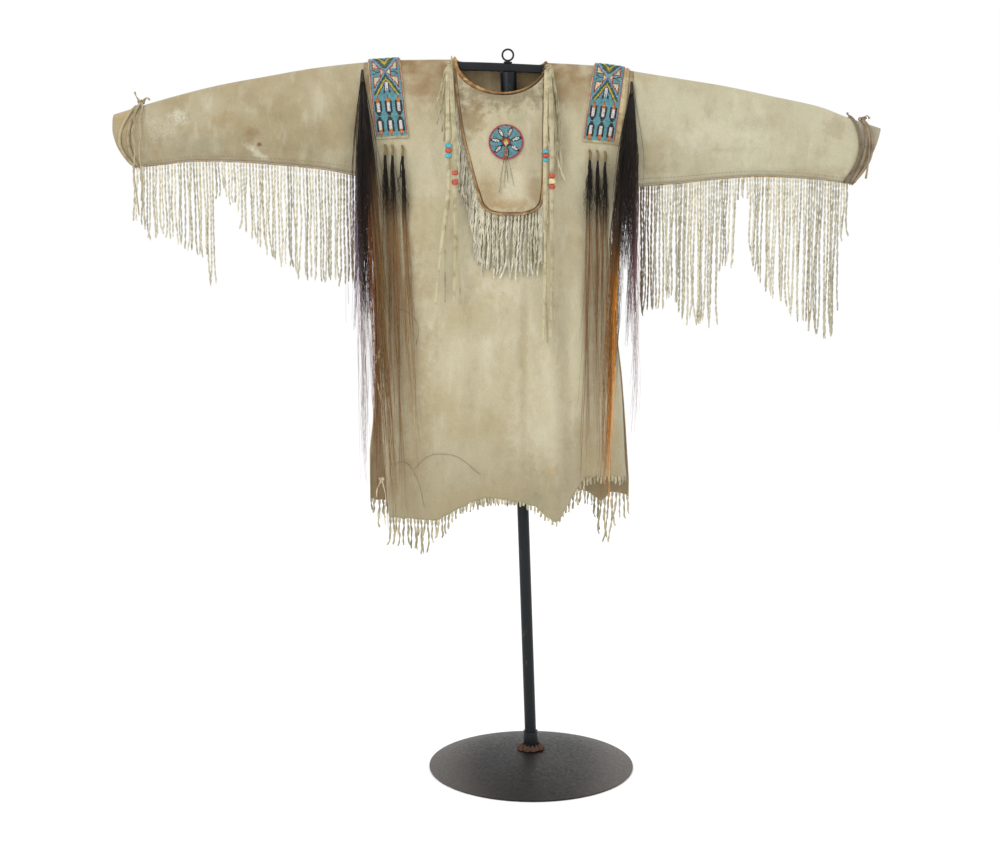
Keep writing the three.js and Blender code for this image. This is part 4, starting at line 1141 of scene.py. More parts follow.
BODY_STAINS_AND_SHADE = (
    StainAndShade((42, -60, 664), (9, 26, 7), "#c8a22e", 0.8),
    StainAndShade((-5, -62, 600), (36, 40, 30), "#8f8c74", 0.65),
    # Painted shade: these two thin dark streaks follow the crease troughs near x -15 and x 77.
    StainAndShade((-18, -60, 900), (11, 40, 300), "#8f7a50", 0.45),
    StainAndShade((62, -60, 860), (13, 40, 260), "#8d7750", 0.4, 2),
    StainAndShade((-265, -45, 900), (70, 60, 330), "#9a855f", 0.6),
    StainAndShade((-250, -45, 1180), (90, 50, 90), "#a8946b", 0.5),
    StainAndShade((160, -45, 1000), (40, 60, 300), "#a2906b", 0.45),
    StainAndShade((-60, -60, 1120), (90, 40, 110), "#d8d2ba", 0.5),
    StainAndShade((30, -62, 760), (90, 40, 110), "#d5cfb6", 0.45),
    StainAndShade((-120, -55, 600), (120, 50, 36), "#9e8d68", 0.5),
    StainAndShade((150, -55, 680), (60, 50, 50), "#a08c63", 0.5),
    StainAndShade((-210, -30, 1480), (80, 40, 64), "#8a7048", 0.6, ragged=0.2),
    StainAndShade((66, -30, 1472), (60, 40, 64), "#8a7048", 0.6, ragged=0.2),
    StainAndShade((-100, 60, 1100), (150, 50, 200), "#d4ceb5", 0.4),
    StainAndShade((60, 60, 760), (110, 50, 160), "#9b8962", 0.45),
    StainAndShade((-220, 55, 700), (90, 50, 120), "#99865f", 0.45),
    StainAndShade((-120, 60, 950), (26, 50, 20), "#7b6440", 0.5),
)
BIB_STAINS_AND_SHADE = (
    StainAndShade((-95, -60, 1240), (30, 60, 42), "#94764a", 0.6),
    StainAndShade((5, -60, 1250), (26, 60, 46), "#8f7148", 0.6),
    # The darker top and upper left patches are partly tan and partly painted shade.
    StainAndShade((-70, -50, 1452), (120, 60, 44), "#7b6e52", 1.0),
    StainAndShade((-128, -50, 1400), (34, 60, 44), "#8a7450", 0.8),
    StainAndShade((-30, -50, 1400), (26, 60, 20), "#9aa07e", 0.5),
    StainAndShade((-50, -60, 1222), (60, 60, 16), "#a1855a", 0.9),
    StainAndShade((-40, -60, 1260), (34, 60, 40), "#d6cfb6", 0.5),
)


class Palette:
    """Every finish on the shirt and its stand, made once."""

    def __init__(self) -> None:
        """Makes the materials."""
        self.body = SmokedHide(
            "smoked_hide_body", "#beb699", "#ad9f7d", shoulder="#886c45", shoulder_span=(1385.0, 1508.0),
            shoulder_share=1.0, stains=BODY_STAINS_AND_SHADE, stain_share=0.62,
        ).make()
        self.sleeve_left = SmokedHide(
            "smoked_hide_left_sleeve", "#b0a68a", "#968866", "#7a6c54", 0.42, "#9b875f", (1400, 1500),
            0.4, LEFT_SLEEVE_STAINS_AND_SHADE, 0.75,
        ).make()
        self.sleeve_right = SmokedHide(
            "smoked_hide_right_sleeve", "#bdb79c", "#a89c7d", "#83775e", 0.5, "#b3a67f", (1420, 1500),
            0.35, RIGHT_SLEEVE_STAINS_AND_SHADE, 0.65,
        ).make()
        self.cuff = SmokedHide("smoked_hide_cuff", "#9d9580", "#857c69", "#6a6151", 0.42, "#8a806c").make()
        self.bib = SmokedHide(
            "smoked_hide_bib", "#bfb699", "#a49270", "#8f7b58", 0.44, stains=BIB_STAINS_AND_SHADE, stain_share=0.8
        ).make()
        self.inside = SmokedHide(
            "smoked_hide_inside", "#b8a37c", "#98805a", "#6d573c", 0.42, "#7d6548", (1440, 1510), 0.4
        ).make()
        self.edge = WornEdgeHide("worn_edge_hide").make()
        self.neck_edge = WornEdgeHide("worn_neck_edge_hide", "#b9935e", "#8a633a", dark_from_x=-20).make()
        self.band = WornEdgeHide("worn_band_hide", "#c2b48c", "#a8946a", "#6d573b", "#d8cda9").make()
        self.thong = TwistedThong("twisted_thong").make()
        self.hair = Horsehair().make()
        self.seed = SeedBeadGlass().make()
        self.turquoise = WoundGlass("wound_glass_turquoise", "#2c8fa0", "#5db4bd").make()
        self.red = WoundGlass("wound_glass_red", "#a53526", "#c4563a").make()
        self.cream = WoundGlass("wound_glass_cream", "#e2d3a6", "#c9b37c").make()
        self.sinew = SinewThread().make()
        self.pole = BrushedPaint(
            "brushed_paint_pole", "#0d1215", "#14191c", worn_share=0.4, specks=0.1
        ).make()
        self.bar = BrushedPaint("brushed_paint_bar", "#15181b", "#1c1f22", specks=0.15).make()
        self.base = BrushedPaint(
            "brushed_paint_base", "#161312", "#221f1d", "#7d756f", 0.8, (0.42, 0.6), 0.35, (90.0, 225.0)
        ).make()
        self.weld = RustedWeld().make()


PALETTE = Palette()


# ---- the garment's form
@dataclass(frozen=True)
class Crease:
    """One soft ridge (depth above 0) or trough in a hide, along a slightly bowed line."""

    start: tuple[float, float]
    end: tuple[float, float]
    width: float
    depth: float
    bow: float = 0.0

    def height(self, x: Array, z: Array) -> Array:
        """Gives how far the crease lifts the hide at each place.

        Args:
            x: places across.
            z: places up.

        Returns:
            The lift, in millimetres.
        """
        (x0, z0), (x1, z1) = self.start, self.end
        length = math.hypot(x1 - x0, z1 - z0)
        ux, uz = (x1 - x0) / length, (z1 - z0) / length
        along = ((x - x0) * ux + (z - z0) * uz) / length
        off = (x - x0) * uz - (z - z0) * ux - self.bow * np.sin(math.pi * np.clip(along, 0, 1))
        ends = smoothstep(along, -0.08, 0.3) * smoothstep(1 - along, -0.08, 0.3)
        return self.depth * np.exp(-((off / self.width) ** 2)) * ends


def creased(*rows: tuple[float, ...]) -> tuple[Crease, ...]:
    """Makes creases from rows of start x and z, end x and z, width, depth and bow."""
    return tuple(Crease(row[:2], row[2:4], *row[4:]) for row in rows)


@dataclass(frozen=True)
class Cut:
    """The shirt's main lines, shared by every piece of it."""

    shoulder_rows: tuple[tuple[float, float], ...] = (
        (-876, 1413), (-756, 1448), (-654, 1473), (-554, 1491), (-453, 1508), (-353, 1519),
        (-277, 1524), (-169, 1525), (32, 1518), (149, 1511), (224, 1499), (300, 1487), (400, 1471),
        (501, 1450), (602, 1428), (653, 1409), (729, 1384),
    )
    depth_rows: tuple[tuple[float, float], ...] = (
        (1512, 16), (1499, 21), (1470, 30), (1420, 41), (1350, 50), (1250, 57), (1100, 61), (900, 60),
        (700, 57), (480, 54),
    )
    armhole: tuple[float, float] = (-350.0, 210.0)
    armpit: tuple[float, float] = (1284.0, 1265.0)
    neck_x: float = -68.0
    neck_half: float = 95.0
    neck_front: float = 72.0
    neck_back: float = 13.0
    roll: float = 2.8
    neck_clear: float = 0.6

    @property
    def neck_grow(self) -> float:
        """How much wider the hide is cut than the line that the roll runs on."""
        return self.roll + self.neck_clear

    def neck_drop(self, x: Array, deep: float, grow: float) -> Array:
        """Gives how far below the shoulder line the neck is cut, 0 beside it."""
        share = (np.asarray(x, float) - self.neck_x) / (self.neck_half + grow)
        return (deep + grow) * np.sqrt(np.clip(1.0 - share**2, 0.0, None))


CUT = Cut()
SHOULDER = Profile(CUT.shoulder_rows)
MIDDLE_DEPTH = Profile(CUT.depth_rows)


def hang(drop: Array, height: Array | float, deepest: Array | float) -> Array:
    """Half depth of hide that hangs in a closed loop over the bar.

    Args:
        drop: how far below the ridge.
        height: the loop's height.
        deepest: its greatest half depth.

    Returns:
        The half depth at each drop.
    """
    arc = np.sqrt(np.clip(RIDGE_R**2 - (RIDGE_R - drop) ** 2, 0.0, None))
    t = np.clip((drop - RIDGE_R) / (height - RIDGE_R), 0.0, 1.0)
    belly = RIDGE_R + (deepest - RIDGE_R) * np.sin(math.pi * t**0.8)
    return np.where(drop < RIDGE_R, arc, belly * np.sqrt(np.clip(1.0 - t**5, 0.0, None)))


@dataclass(frozen=True)
class PanelCut:
    """One of the two large hides: its side lines, its hem and its folds."""

    face: Face
    edge: tuple[float, float]
    left: tuple[tuple[float, float], ...]
    right: tuple[tuple[float, float], ...]
    hem: tuple[tuple[float, float], ...]
    folds: tuple[tuple[float, float, float, float, float], ...]  # x, width, depth, top, bottom
    neck: float
    creases: tuple[Crease, ...]
    seed: int

    def left_x(self, z: Array) -> Array:
        """Gives the left side line's x at each height."""
        return Profile(self.left)(z)

    def right_x(self, z: Array) -> Array:
        """Gives the right side line's x at each height."""
        return Profile(self.right)(z)

    def depth(self, x: Array, z: Array) -> Array:
        """Gives the half depth of the hide, without its creases.

        Args:
            x: places across.
            z: places up.

        Returns:
            The distance from the shirt's middle plane.
        """
        x, z = np.broadcast_arrays(np.asarray(x, float), np.asarray(z, float))
        drop = SHOULDER(x) - z
        left, right = self.left_x(z), self.right_x(z)
        u = np.clip((x - left) / (right - left), 0.0, 1.0)
        share = np.sin(math.pi * u) ** lerp(0.5, 1.0, smoothstep(z, 1180, 1330))
        sides = []
        for k in (0, 1):
            top = float(SHOULDER(CUT.armhole[k]))
            loop = hang(top - z, top - CUT.armpit[k], ARM_DEPTH)
            sides.append(np.where(z > CUT.armpit[k], np.maximum(self.edge[k], loop), self.edge[k]))
        depth = lerp(lerp(sides[0], sides[1], u), MIDDLE_DEPTH(z), share)
        for at, width, deep, high, low in self.folds:
            down = smoothstep(high - z, 0, 0.5 * (high - low))
            depth = depth + deep * np.exp(-(((x - at) / width) ** 2)) * down * np.minimum(1.0, share * 1.5)
        start = smoothstep(drop, RIDGE_R, 3 * RIDGE_R)
        near_ridge = np.maximum(RIDGE_R, np.minimum(depth, RIDGE_R + drop))
        below = lerp(near_ridge, depth, start)
        return np.where(drop < RIDGE_R, hang(drop, 1000.0, RIDGE_R), below)

    def relief(self, x: Array, z: Array) -> Array:
        """Gives the creases and the hide's low unevenness, 0 at the ridge and under the strips.

        Args:
            x: places across, from left to right.
            z: heights.

        Returns:
            How far the hide stands out at each place.
        """
        lift = 1.2 * ripple(x, z, self.seed, 70, 190) + 0.5 * ripple(x, z, self.seed + 1, 26, 60)
        for crease in self.creases:
            lift = lift + crease.height(x, z)
        below_ridge = smoothstep(SHOULDER(x) - z, 20, 70)
        near, far = CUT.armhole
        middle = smoothstep(x, near, near + 20) * smoothstep(-x, -far, 20 - far)
        low = 1.0 - smoothstep(z, 1150, 1250)
        mask = np.maximum(middle, low) * below_ridge
        for strip in STRIPS.values():
            near, far = strip.reach
            inside = smoothstep(x, near - 14, near) * smoothstep(-x, -far - 14, -far)
            mask = mask * (1.0 - inside * smoothstep(z, 1310, 1335))
        return lift * mask

    def surface(self, x: Array, z: Array) -> Array:
        """Gives the y of the hide's outer face, with its creases."""
        return self.face.value * (self.depth(x, z) + self.relief(x, z))


@dataclass(frozen=True)
class StripCut:
    """A beaded strip: its edges at the ridge and at its ends."""

    length: float
    top: tuple[float, float]
    end: tuple[float, float]
    hide_top: tuple[float, float]
    hide_end: tuple[float, float]

    @property
    def reach(self) -> tuple[float, float]:
        """The lowest and highest x of its hide."""
        return min(self.hide_top[0], self.hide_end[0]), max(self.hide_top[1], self.hide_end[1])


STRIPS = {
    Side.LEFT: StripCut(168.0, (-343, -279), (-325, -259), (-344.6, -277.4), (-326.6, -257.4)),
    Side.RIGHT: StripCut(166.0, (130, 192), (104, 168), (128.4, 202), (102.4, 185)),
}

FRONT_CREASES = creased(
    (-190, 1190, -212, 560, 15, -5.5, 8), (-150, 1150, -160, 620, 13, 4.5, -6),
    (-262, 1230, -288, 560, 16, 4.5, 6), (-225, 980, -246, 500, 10, -4.0, 0),
    (-118, 1080, -108, 610, 12, -3.5, 5), (-18, 1120, -12, 600, 9, -3.8, 3),
    (26, 1190, 50, 560, 12, 5.0, -5), (70, 1060, 84, 590, 10, -5.5, -3),
    (108, 1180, 128, 660, 12, 4.5, 8), (140, 1010, 160, 640, 10, -4.5, 0),
    (182, 900, 196, 560, 9, 4.0, 0), (-70, 900, -58, 600, 14, 2.5, 6),
    (-335, 1290, -250, 1225, 12, -3.5, 8), (-330, 1340, -210, 1250, 14, 3.0, 10),
    (190, 1270, 120, 1210, 12, -3.5, -6), (180, 1330, 90, 1240, 14, 3.0, -8),
    (-25, 622, 35, 612, 4, -2.8, 3), (-20, 606, 30, 600, 3.5, 2.6, -2), (-30, 590, 40, 584, 4, -2.4, 2),
    (-300, 700, -170, 640, 12, -3.0, 10), (60, 700, 200, 660, 13, 3.0, -8),
    (-130, 1000, 40, 960, 22, -2.2, 8), (-300, 1040, -190, 1010, 16, 2.2, 5),
    (-240, 1420, -180, 1300, 12, -2.5, 4), (70, 1420, 55, 1290, 12, -2.5, -4),
)
BACK_CREASES = creased(
    (-200, 1240, -230, 600, 16, 5.5, 8), (-120, 1180, -130, 610, 13, -5.0, -6),
    (-60, 1260, -40, 640, 15, 4.5, 6), (10, 1120, 20, 610, 12, -4.5, 0),
    (60, 1200, 86, 600, 14, 5.0, -6), (120, 1100, 140, 640, 10, -4.5, 4),
    (160, 1150, 180, 680, 10, 4.0, 0), (-280, 1180, -310, 620, 14, -5.0, 5),
    (-330, 1320, -200, 1230, 15, 3.5, 10), (195, 1310, 90, 1220, 14, 3.5, -8),
    (-250, 1440, -120, 1340, 18, -3.0, 8), (100, 1430, 0, 1330, 18, -3.0, -8),
    (-300, 760, -170, 700, 14, 3.2, 8), (30, 720, 160, 680, 13, -3.0, 6),
    (-180, 1000, -20, 960, 20, -2.4, 8), (20, 900, 120, 860, 15, 2.4, 4),
)
FRONT = PanelCut(
    face=Face.FRONT,
    edge=(5.0, 0.15),
    left=((1284, -350), (1254, -334), (1172, -325), (816, -324), (730, -321), (623, -314), (540, -307)),
    right=((1266, 210), (1240, 176), (1151, 164), (1026, 170), (858, 190), (666, 203), (540, 211)),
    hem=(
        (-310, 558), (-213, 556), (-166, 578), (-90, 605), (-40, 599), (0, 590), (48, 557), (68, 582),
        (91, 615), (120, 647), (167, 649), (211, 643),
    ),
    folds=(
        (-262, 34, -7, 1180, 540), (-190, 36, 5, 1120, 540), (-95, 44, -4, 1000, 560),
        (44, 36, 15, 800, 540), (112, 30, -11, 860, 560), (165, 26, 6, 1150, 600),
    ),
    neck=CUT.neck_front,
    creases=FRONT_CREASES,
    seed=11,
)
BACK = PanelCut(
    face=Face.BACK,
    edge=(6.0, 0.15),
    left=((1284, -350), (1250, -340), (1023, -336), (805, -339), (717, -348), (651, -355), (590, -361)),
    right=((1266, 210), (1240, 180), (1151, 167), (1026, 173), (858, 193), (666, 208), (590, 213)),
    hem=(
        (-362, 598), (-320, 588), (-200, 580), (-60, 592), (60, 606), (118, 608), (151, 586),
        (179, 607), (214, 602),
    ),
    folds=(
        (-250, 40, 7, 1150, 560), (-140, 46, -6, 1250, 560), (-10, 50, 6, 1000, 560),
        (90, 34, -8, 1100, 560), (155, 30, 6, 1000, 560),
    ),
    neck=CUT.neck_back,
    creases=BACK_CREASES,
    seed=23,
)


@dataclass
class HidePanel:
    """The front or the back: one hide from the shoulder ridge to the ragged hem."""

    cut: PanelCut
    rows: int = 150
    ridge_rows: int = 9
    column_gap: float = 4.8
    neck_columns: int = 44
    ragged: float = 2.0

    def columns(self) -> Array:
        """Spaces the columns across, closer at the ends of the neck.

        Returns:
            Each column's share of the way across.
        """
        low, high = CUT.armhole
        reach = CUT.neck_half + CUT.neck_grow
        start, end = CUT.neck_x - reach, CUT.neck_x + reach
        before, after = round((start - low) / self.column_gap), round((high - end) / self.column_gap)
        left, right = np.arange(before) / before, np.arange(1, after + 1) / after
        turn = np.linspace(0.0, math.pi, self.neck_columns + 1)
        across = CUT.neck_x - reach * np.cos(turn)
        x = np.concatenate([lerp(low, start, left), across, lerp(end, high, right)])
        return (x - low) / (high - low)

    def outer(self) -> Array:
        """Places the points of the hide's outer face, rows from the ridge to the hem.

        Returns:
            The grid of points.
        """
        cut = self.cut
        u = self.columns()[None, :]
        x_top = lerp(CUT.armhole[0], CUT.armhole[1], u)
        top = SHOULDER(x_top)
        left_end, right_end = cut.left_x(cut.hem[0][1]), cut.right_x(cut.hem[-1][1])
        hem_x = lerp(left_end, right_end, u)
        torn = 0.6 * np.sin(hem_x / 3.1) * np.sin(hem_x / 11.0 + 1.0) + 0.4 * np.sin(hem_x / 5.3)
        height = top - Profile(cut.hem)(hem_x) - self.ragged * torn * smoothstep(u * (1 - u), 0, 0.01)
        ridge = RIDGE_R * (1 - np.cos(np.linspace(0, math.pi / 2, self.ridge_rows)))
        rest = np.linspace(0.0, 1.0, self.rows)[1:, None]
        drops = np.vstack([ridge[:, None] + 0 * height, RIDGE_R + rest * (height - RIDGE_R)])
        first = CUT.neck_drop(x_top, cut.neck, CUT.neck_grow)
        drops = first + (height - first) * drops / height
        z = top - drops
        x = lerp(cut.left_x(z), cut.right_x(z), u)
        level = np.maximum(z, SHOULDER(x) - drops)
        y = cut.depth(x, level) + cut.relief(x, level)
        y = np.maximum(y, SEAM / 2)
        x = np.clip(x, CUT.armhole[0] + SEAM / 2, CUT.armhole[1] - SEAM / 2)
        return np.stack([x, cut.face.value * y, z], axis=-1)

    def walls(self) -> tuple[Array, Array]:
        """Gives the grids of the outer and the inner face.

        Returns:
            The outer face and the inner face.
        """
        outer = self.outer()
        direction = normals(outer)
        centre = direction[len(direction) // 2, direction.shape[1] // 2]
        direction = direction if centre[1] * self.cut.face.value > 0 else -direction
        inner = outer - HIDE * direction
        side = self.cut.face.value
        inner[..., 1] = side * np.maximum(side * inner[..., 1], SEAM / 2)
        inner[..., 0] = np.clip(inner[..., 0], CUT.armhole[0] + SEAM / 2, CUT.armhole[1] - SEAM / 2)
        return outer, inner

    def build(self) -> bpy.types.Object:
        """Builds the hide.

        Returns:
            The piece that stands for the hide.
        """
        name = self.cut.face.name.lower()
        patch = Patchwork()
        outer, inner = self.walls()
        shell(patch, outer, inner, finishes=(0, 1))
        return patch.build(name + "_hide", [PALETTE.body, PALETTE.inside], "hide", name)


@dataclass(frozen=True)
class SleeveCut:
    """One sleeve: a hide folded over the bar and closed under the arm."""

    side: Side
    sign: float
    armhole: float
    cuff_top: float
    cuff_bottom: float
    bow: float
    cuff_depth: float
    seam: tuple[tuple[float, float], ...]
    tips: tuple[tuple[float, float], ...]
    fringe: tuple[float, float]
    splay: float
    strands: int
    creases: dict[Face, tuple[Crease, ...]]
    seed: int

    def seam_z(self, x: Array) -> Array:
        """Gives the height of the seam under the arm."""
        return Profile(self.seam)(x)

    def ring(self, v: Array, drop_share: Array, behind: Array, lift: float = 0.0) -> Array:
        """Places points round the sleeve.

        Args:
            v: shares of the way from the armhole to the cuff, one a row or one a point.
            drop_share: how far round each point is, from 0 at the ridge to 1 at the seam.
            behind: the sign of Y for each point.
            lift: how far outside the hide the points are.

        Returns:
            The points, rows by points by 3.
        """
        v = np.asarray(v, float)
        v = v[:, None] if v.ndim == 1 else v
        start = self.armhole + self.sign * SEAM / 2
        top_x, bottom_x = lerp(start, self.cuff_top, v), lerp(start, self.cuff_bottom, v)
        top_z, bottom_z = SHOULDER(top_x), self.seam_z(bottom_x)
        height = np.hypot(bottom_x - top_x, bottom_z - top_z)
        down_x, down_z = (bottom_x - top_x) / height, (bottom_z - top_z) / height
        share = np.asarray(drop_share, float)[None, :]
        arc = RIDGE_R * (1 - np.cos(np.clip(share / 0.2, 0, 1) * math.pi / 2))
        drop = np.where(share < 0.2, arc, lerp(RIDGE_R, height, np.clip((share - 0.2) / 0.8, 0, 1)))
        deepest = lerp(ARM_DEPTH, self.cuff_depth, v)
        depth = hang(drop, height, deepest)
        bow = self.bow * v**3 * np.sin(math.pi * np.clip(drop / height, 0, 1)) ** 0.8
        x = top_x + down_x * drop - down_z * self.sign * bow
        z = top_z + down_z * drop + down_x * self.sign * bow
        side = np.asarray(behind, float)[None, :]
        y = side * (depth + lift * smoothstep(depth, 2, 14))
        return np.stack([x, y, z], axis=-1)

    def relief(self, points: Array) -> Array:
        """Lifts the points by the sleeve's creases and its low unevenness.

        Args:
            points: the points, in millimetres.

        Returns:
            The moved points.
        """
        x, y, z = points[..., 0], points[..., 1], points[..., 2]
        lift = 1.1 * ripple(x, z + 3 * y, self.seed, 60, 150) + 0.45 * ripple(x, z, self.seed + 1, 22, 50)
        for face, creases in self.creases.items():
            own = smoothstep(face.value * y, 0, 12)
            for crease in creases:
                lift = lift + own * crease.height(x, z)
        ridge = smoothstep(SHOULDER(x) - z, 18, 40)
        hem = smoothstep(z - self.seam_z(x), 2, 16)
        join = smoothstep(np.abs(x - self.armhole), 0, 22)
        moved = points.copy()
        moved[..., 1] += np.sign(y) * lift * ridge * hem * join
        return moved


SLEEVES = {
    Side.LEFT: SleeveCut(
        side=Side.LEFT, sign=-1.0, armhole=-350.0, cuff_top=-876.0, cuff_bottom=-842.0, bow=13.0,
        cuff_depth=25.0,
        seam=(
            (-850, 1304), (-805, 1308), (-700, 1318), (-616, 1316), (-532, 1310), (-448, 1302),
            (-350, 1284),
        ),
        tips=(
            (-829, 1188), (-816, 1155), (-790, 1161), (-776, 1164), (-763, 1155), (-747, 1140),
            (-720, 1124), (-692, 1116), (-689, 1058), (-671, 1055), (-668, 1241), (-651, 1244),
            (-639, 1225), (-622, 1220), (-616, 1175), (-603, 1167), (-582, 1143), (-551, 1118),
            (-537, 1100), (-510, 1091), (-486, 1074), (-423, 1063), (-381, 1057),
        ),
        fringe=(-839, -358), splay=-3.0, strands=74,
        creases={
            Face.FRONT: creased(
                (-600, 1450, -520, 1400, 6, 4.0, 4), (-590, 1438, -505, 1384, 5, -3.5, 4),
                (-840, 1350, -690, 1368, 9, -4.0, 6), (-800, 1400, -640, 1412, 10, 3.5, -5),
                (-700, 1335, -520, 1350, 8, 3.5, 4), (-470, 1470, -400, 1330, 11, -4.0, 6),
                (-430, 1480, -372, 1360, 9, 3.5, 4), (-620, 1350, -470, 1330, 8, -3.5, -4),
                (-780, 1430, -700, 1390, 7, -3.0, 3), (-540, 1440, -440, 1400, 9, -3.0, 5),
            ),
            Face.BACK: creased(
                (-780, 1400, -600, 1420, 10, 4.0, 5), (-700, 1350, -520, 1370, 9, -3.5, -5),
                (-560, 1450, -470, 1350, 10, -4.0, 6), (-450, 1460, -390, 1330, 10, 3.5, 4),
                (-830, 1360, -720, 1340, 8, -3.0, 4), (-640, 1340, -500, 1325, 8, 3.0, 3),
            ),
        },
        seed=31,
    ),
    Side.RIGHT: SleeveCut(
        side=Side.RIGHT, sign=1.0, armhole=210.0, cuff_top=729.0, cuff_bottom=676.0, bow=5.0,
        cuff_depth=27.0,
        seam=((210, 1265), (311, 1272), (395, 1281), (479, 1286), (564, 1283), (665, 1272), (700, 1266)),
        tips=(
            (221, 1001), (249, 1001), (275, 1007), (281, 1038), (297, 1029), (312, 1010), (320, 985),
            (337, 975), (393, 973), (396, 1094), (432, 1098), (435, 1245), (456, 1243), (459, 1102),
            (473, 1086), (485, 1064), (494, 1044), (532, 1021), (550, 999), (568, 982), (597, 961),
            (619, 943), (645, 952), (648, 1110), (653, 1155),
        ),
        fringe=(217, 664), splay=0.0, strands=79,
        creases={
            Face.FRONT: creased(
                (420, 1400, 470, 1372, 5, -3.5, 3), (440, 1412, 500, 1385, 5, 3.5, 3),
                (240, 1470, 290, 1320, 11, -4.0, -6), (285, 1470, 330, 1330, 10, 3.5, -4),
                (330, 1340, 520, 1330, 9, -3.5, 4), (520, 1400, 660, 1350, 10, 4.0, 6),
                (500, 1350, 640, 1310, 8, -3.0, -4), (350, 1430, 420, 1390, 9, -3.0, 4),
                (400, 1305, 560, 1300, 7, 3.0, 3),
            ),
            Face.BACK: creased(
                (260, 1460, 330, 1320, 12, 4.0, 6), (330, 1450, 420, 1330, 10, -4.0, 5),
                (430, 1400, 600, 1370, 9, 3.5, 5), (480, 1350, 640, 1320, 9, -3.5, 4),
                (360, 1320, 520, 1310, 8, 3.0, -3),
            ),
        },
        seed=43,
    ),
}


def cuff_join(share: Array) -> Array:
    """Gives how far along the right sleeve its cuff is sewn on, at each share of the way down."""
    return 0.874 + 0.084 * share + 0.03 * np.sin(math.pi * share)


@dataclass
class Sleeve:
    """A sleeve's hide, from the armhole to the cuff or to the piece sewn on its end."""

    cut: SleeveCut
    node: str
    start: Callable[[Array], Array] = np.zeros_like
    end: Callable[[Array], Array] = np.ones_like
    rows: int = 110
    half_points: int = 34

    def walls(self) -> tuple[Array, Array]:
        """Gives the rings of the outer and the inner face.

        Returns:
            The outer face and the inner face.
        """
        share = np.linspace(0.0, 1.0, self.half_points)
        share = np.concatenate([share, share[-2:0:-1]])
        behind = np.concatenate([np.full(self.half_points, -1.0), np.full(self.half_points - 2, 1.0)])
        v = lerp(self.start(share), self.end(share), np.linspace(0.0, 1.0, self.rows)[:, None])
        outer = self.cut.relief(self.cut.ring(v, share, behind))
        direction = normals(outer, True)
        middle = direction[self.rows // 2, self.half_points // 2]
        direction = direction if middle[1] < 0 else -direction
        return outer, outer - HIDE * direction

    def build(self, finish: bpy.types.Material) -> bpy.types.Object:
        """Builds the sleeve.

        Args:
            finish: the hide's own finish.

        Returns:
            The piece that stands for the sleeve's node.
        """
        patch = Patchwork()
        outer, inner = self.walls()
        shell(patch, outer, inner, wrap=True, finishes=(0, 1))
        return patch.build(self.node + "_hide", [finish, PALETTE.inside], "hide", self.node)


# ---- studio
@dataclass(frozen=True)
class Studio:
    """The camera, the plain floor and the soft lights."""

    camera_place: Point = (-0.0685, -3.2, 1.1377)
    camera_pitch: float = 6.814  # degrees below level
    lens: float = 53.98
    floor_half: float = 30.0
    floor_colour: str = "#ffffff"

    def build(self) -> None:
        """Sets up the camera, the world, the lights and the floor."""
        camera = bpy.data.cameras.new("camera")
        camera.lens, camera.sensor_width = self.lens, 36.0
        camera.clip_end = 100.0
        eye = bpy.data.objects.new("camera", camera)
        eye.location = self.camera_place
        eye.rotation_euler = (math.radians(90.0 - self.camera_pitch), 0.0, 0.0)
        bpy.context.scene.collection.objects.link(eye)
        bpy.context.scene.camera = eye
        bpy.context.scene.view_settings.view_transform = "Standard"
        self.world()
        self.light("key", (-2.2, -3.2, 3.6), 1.8, 60.0)
        self.light("fill", (3.2, -2.6, 1.8), 2.6, 8.0)
        self.light("rim", (1.0, 3.4, 3.2), 2.4, 20.0)
        self.floor()

    def world(self) -> None:
        """Fills the world with even white light."""
        world = bpy.data.worlds.new("studio")
        world.use_nodes = True
        background = world.node_tree.nodes["Background"]
        background.inputs["Color"].default_value = (1.0, 1.0, 1.0, 1.0)
        background.inputs["Strength"].default_value = 1.0
        bpy.context.scene.world = world

    def light(self, name: str, place: Point, size: float, power: float) -> None:
        """Hangs one large soft light that points at the shirt's middle.

        Args:
            name: the light's name.
            place: where it hangs, in metres.
            size: the length of its sides.
            power: its power, in watts.
        """
        area = bpy.data.lights.new(name, "AREA")
        area.shape, area.size, area.energy = "SQUARE", size, power
        lamp = bpy.data.objects.new(name, area)
        lamp.location = place
        way = np.array([0.0, 0.0, 1.05]) - np.array(place)
        level = math.hypot(way[0], way[1])
        lamp.rotation_euler = (math.atan2(level, -way[2]), 0.0, math.atan2(way[1], way[0]) - math.pi / 2)
        bpy.context.scene.collection.objects.link(lamp)

    def floor(self) -> None:
        """Lays the pale floor, far past what any view takes in."""
        half = self.floor_half
        mesh = bpy.data.meshes.new("floor")
        corners = [(-half, -half, 0.0), (half, -half, 0.0), (half, half, 0.0), (-half, half, 0.0)]
        mesh.from_pydata(corners, [], [(0, 1, 2, 3)])
        f = Finish("floor_paper")
        mesh.materials.append(f.finish(self.floor_colour, 1.0, None, Specular_IOR_Level=0.0))
        floor = bpy.data.objects.new("floor", mesh)
        bpy.context.scene.collection.objects.link(floor)
        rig.stage(floor)


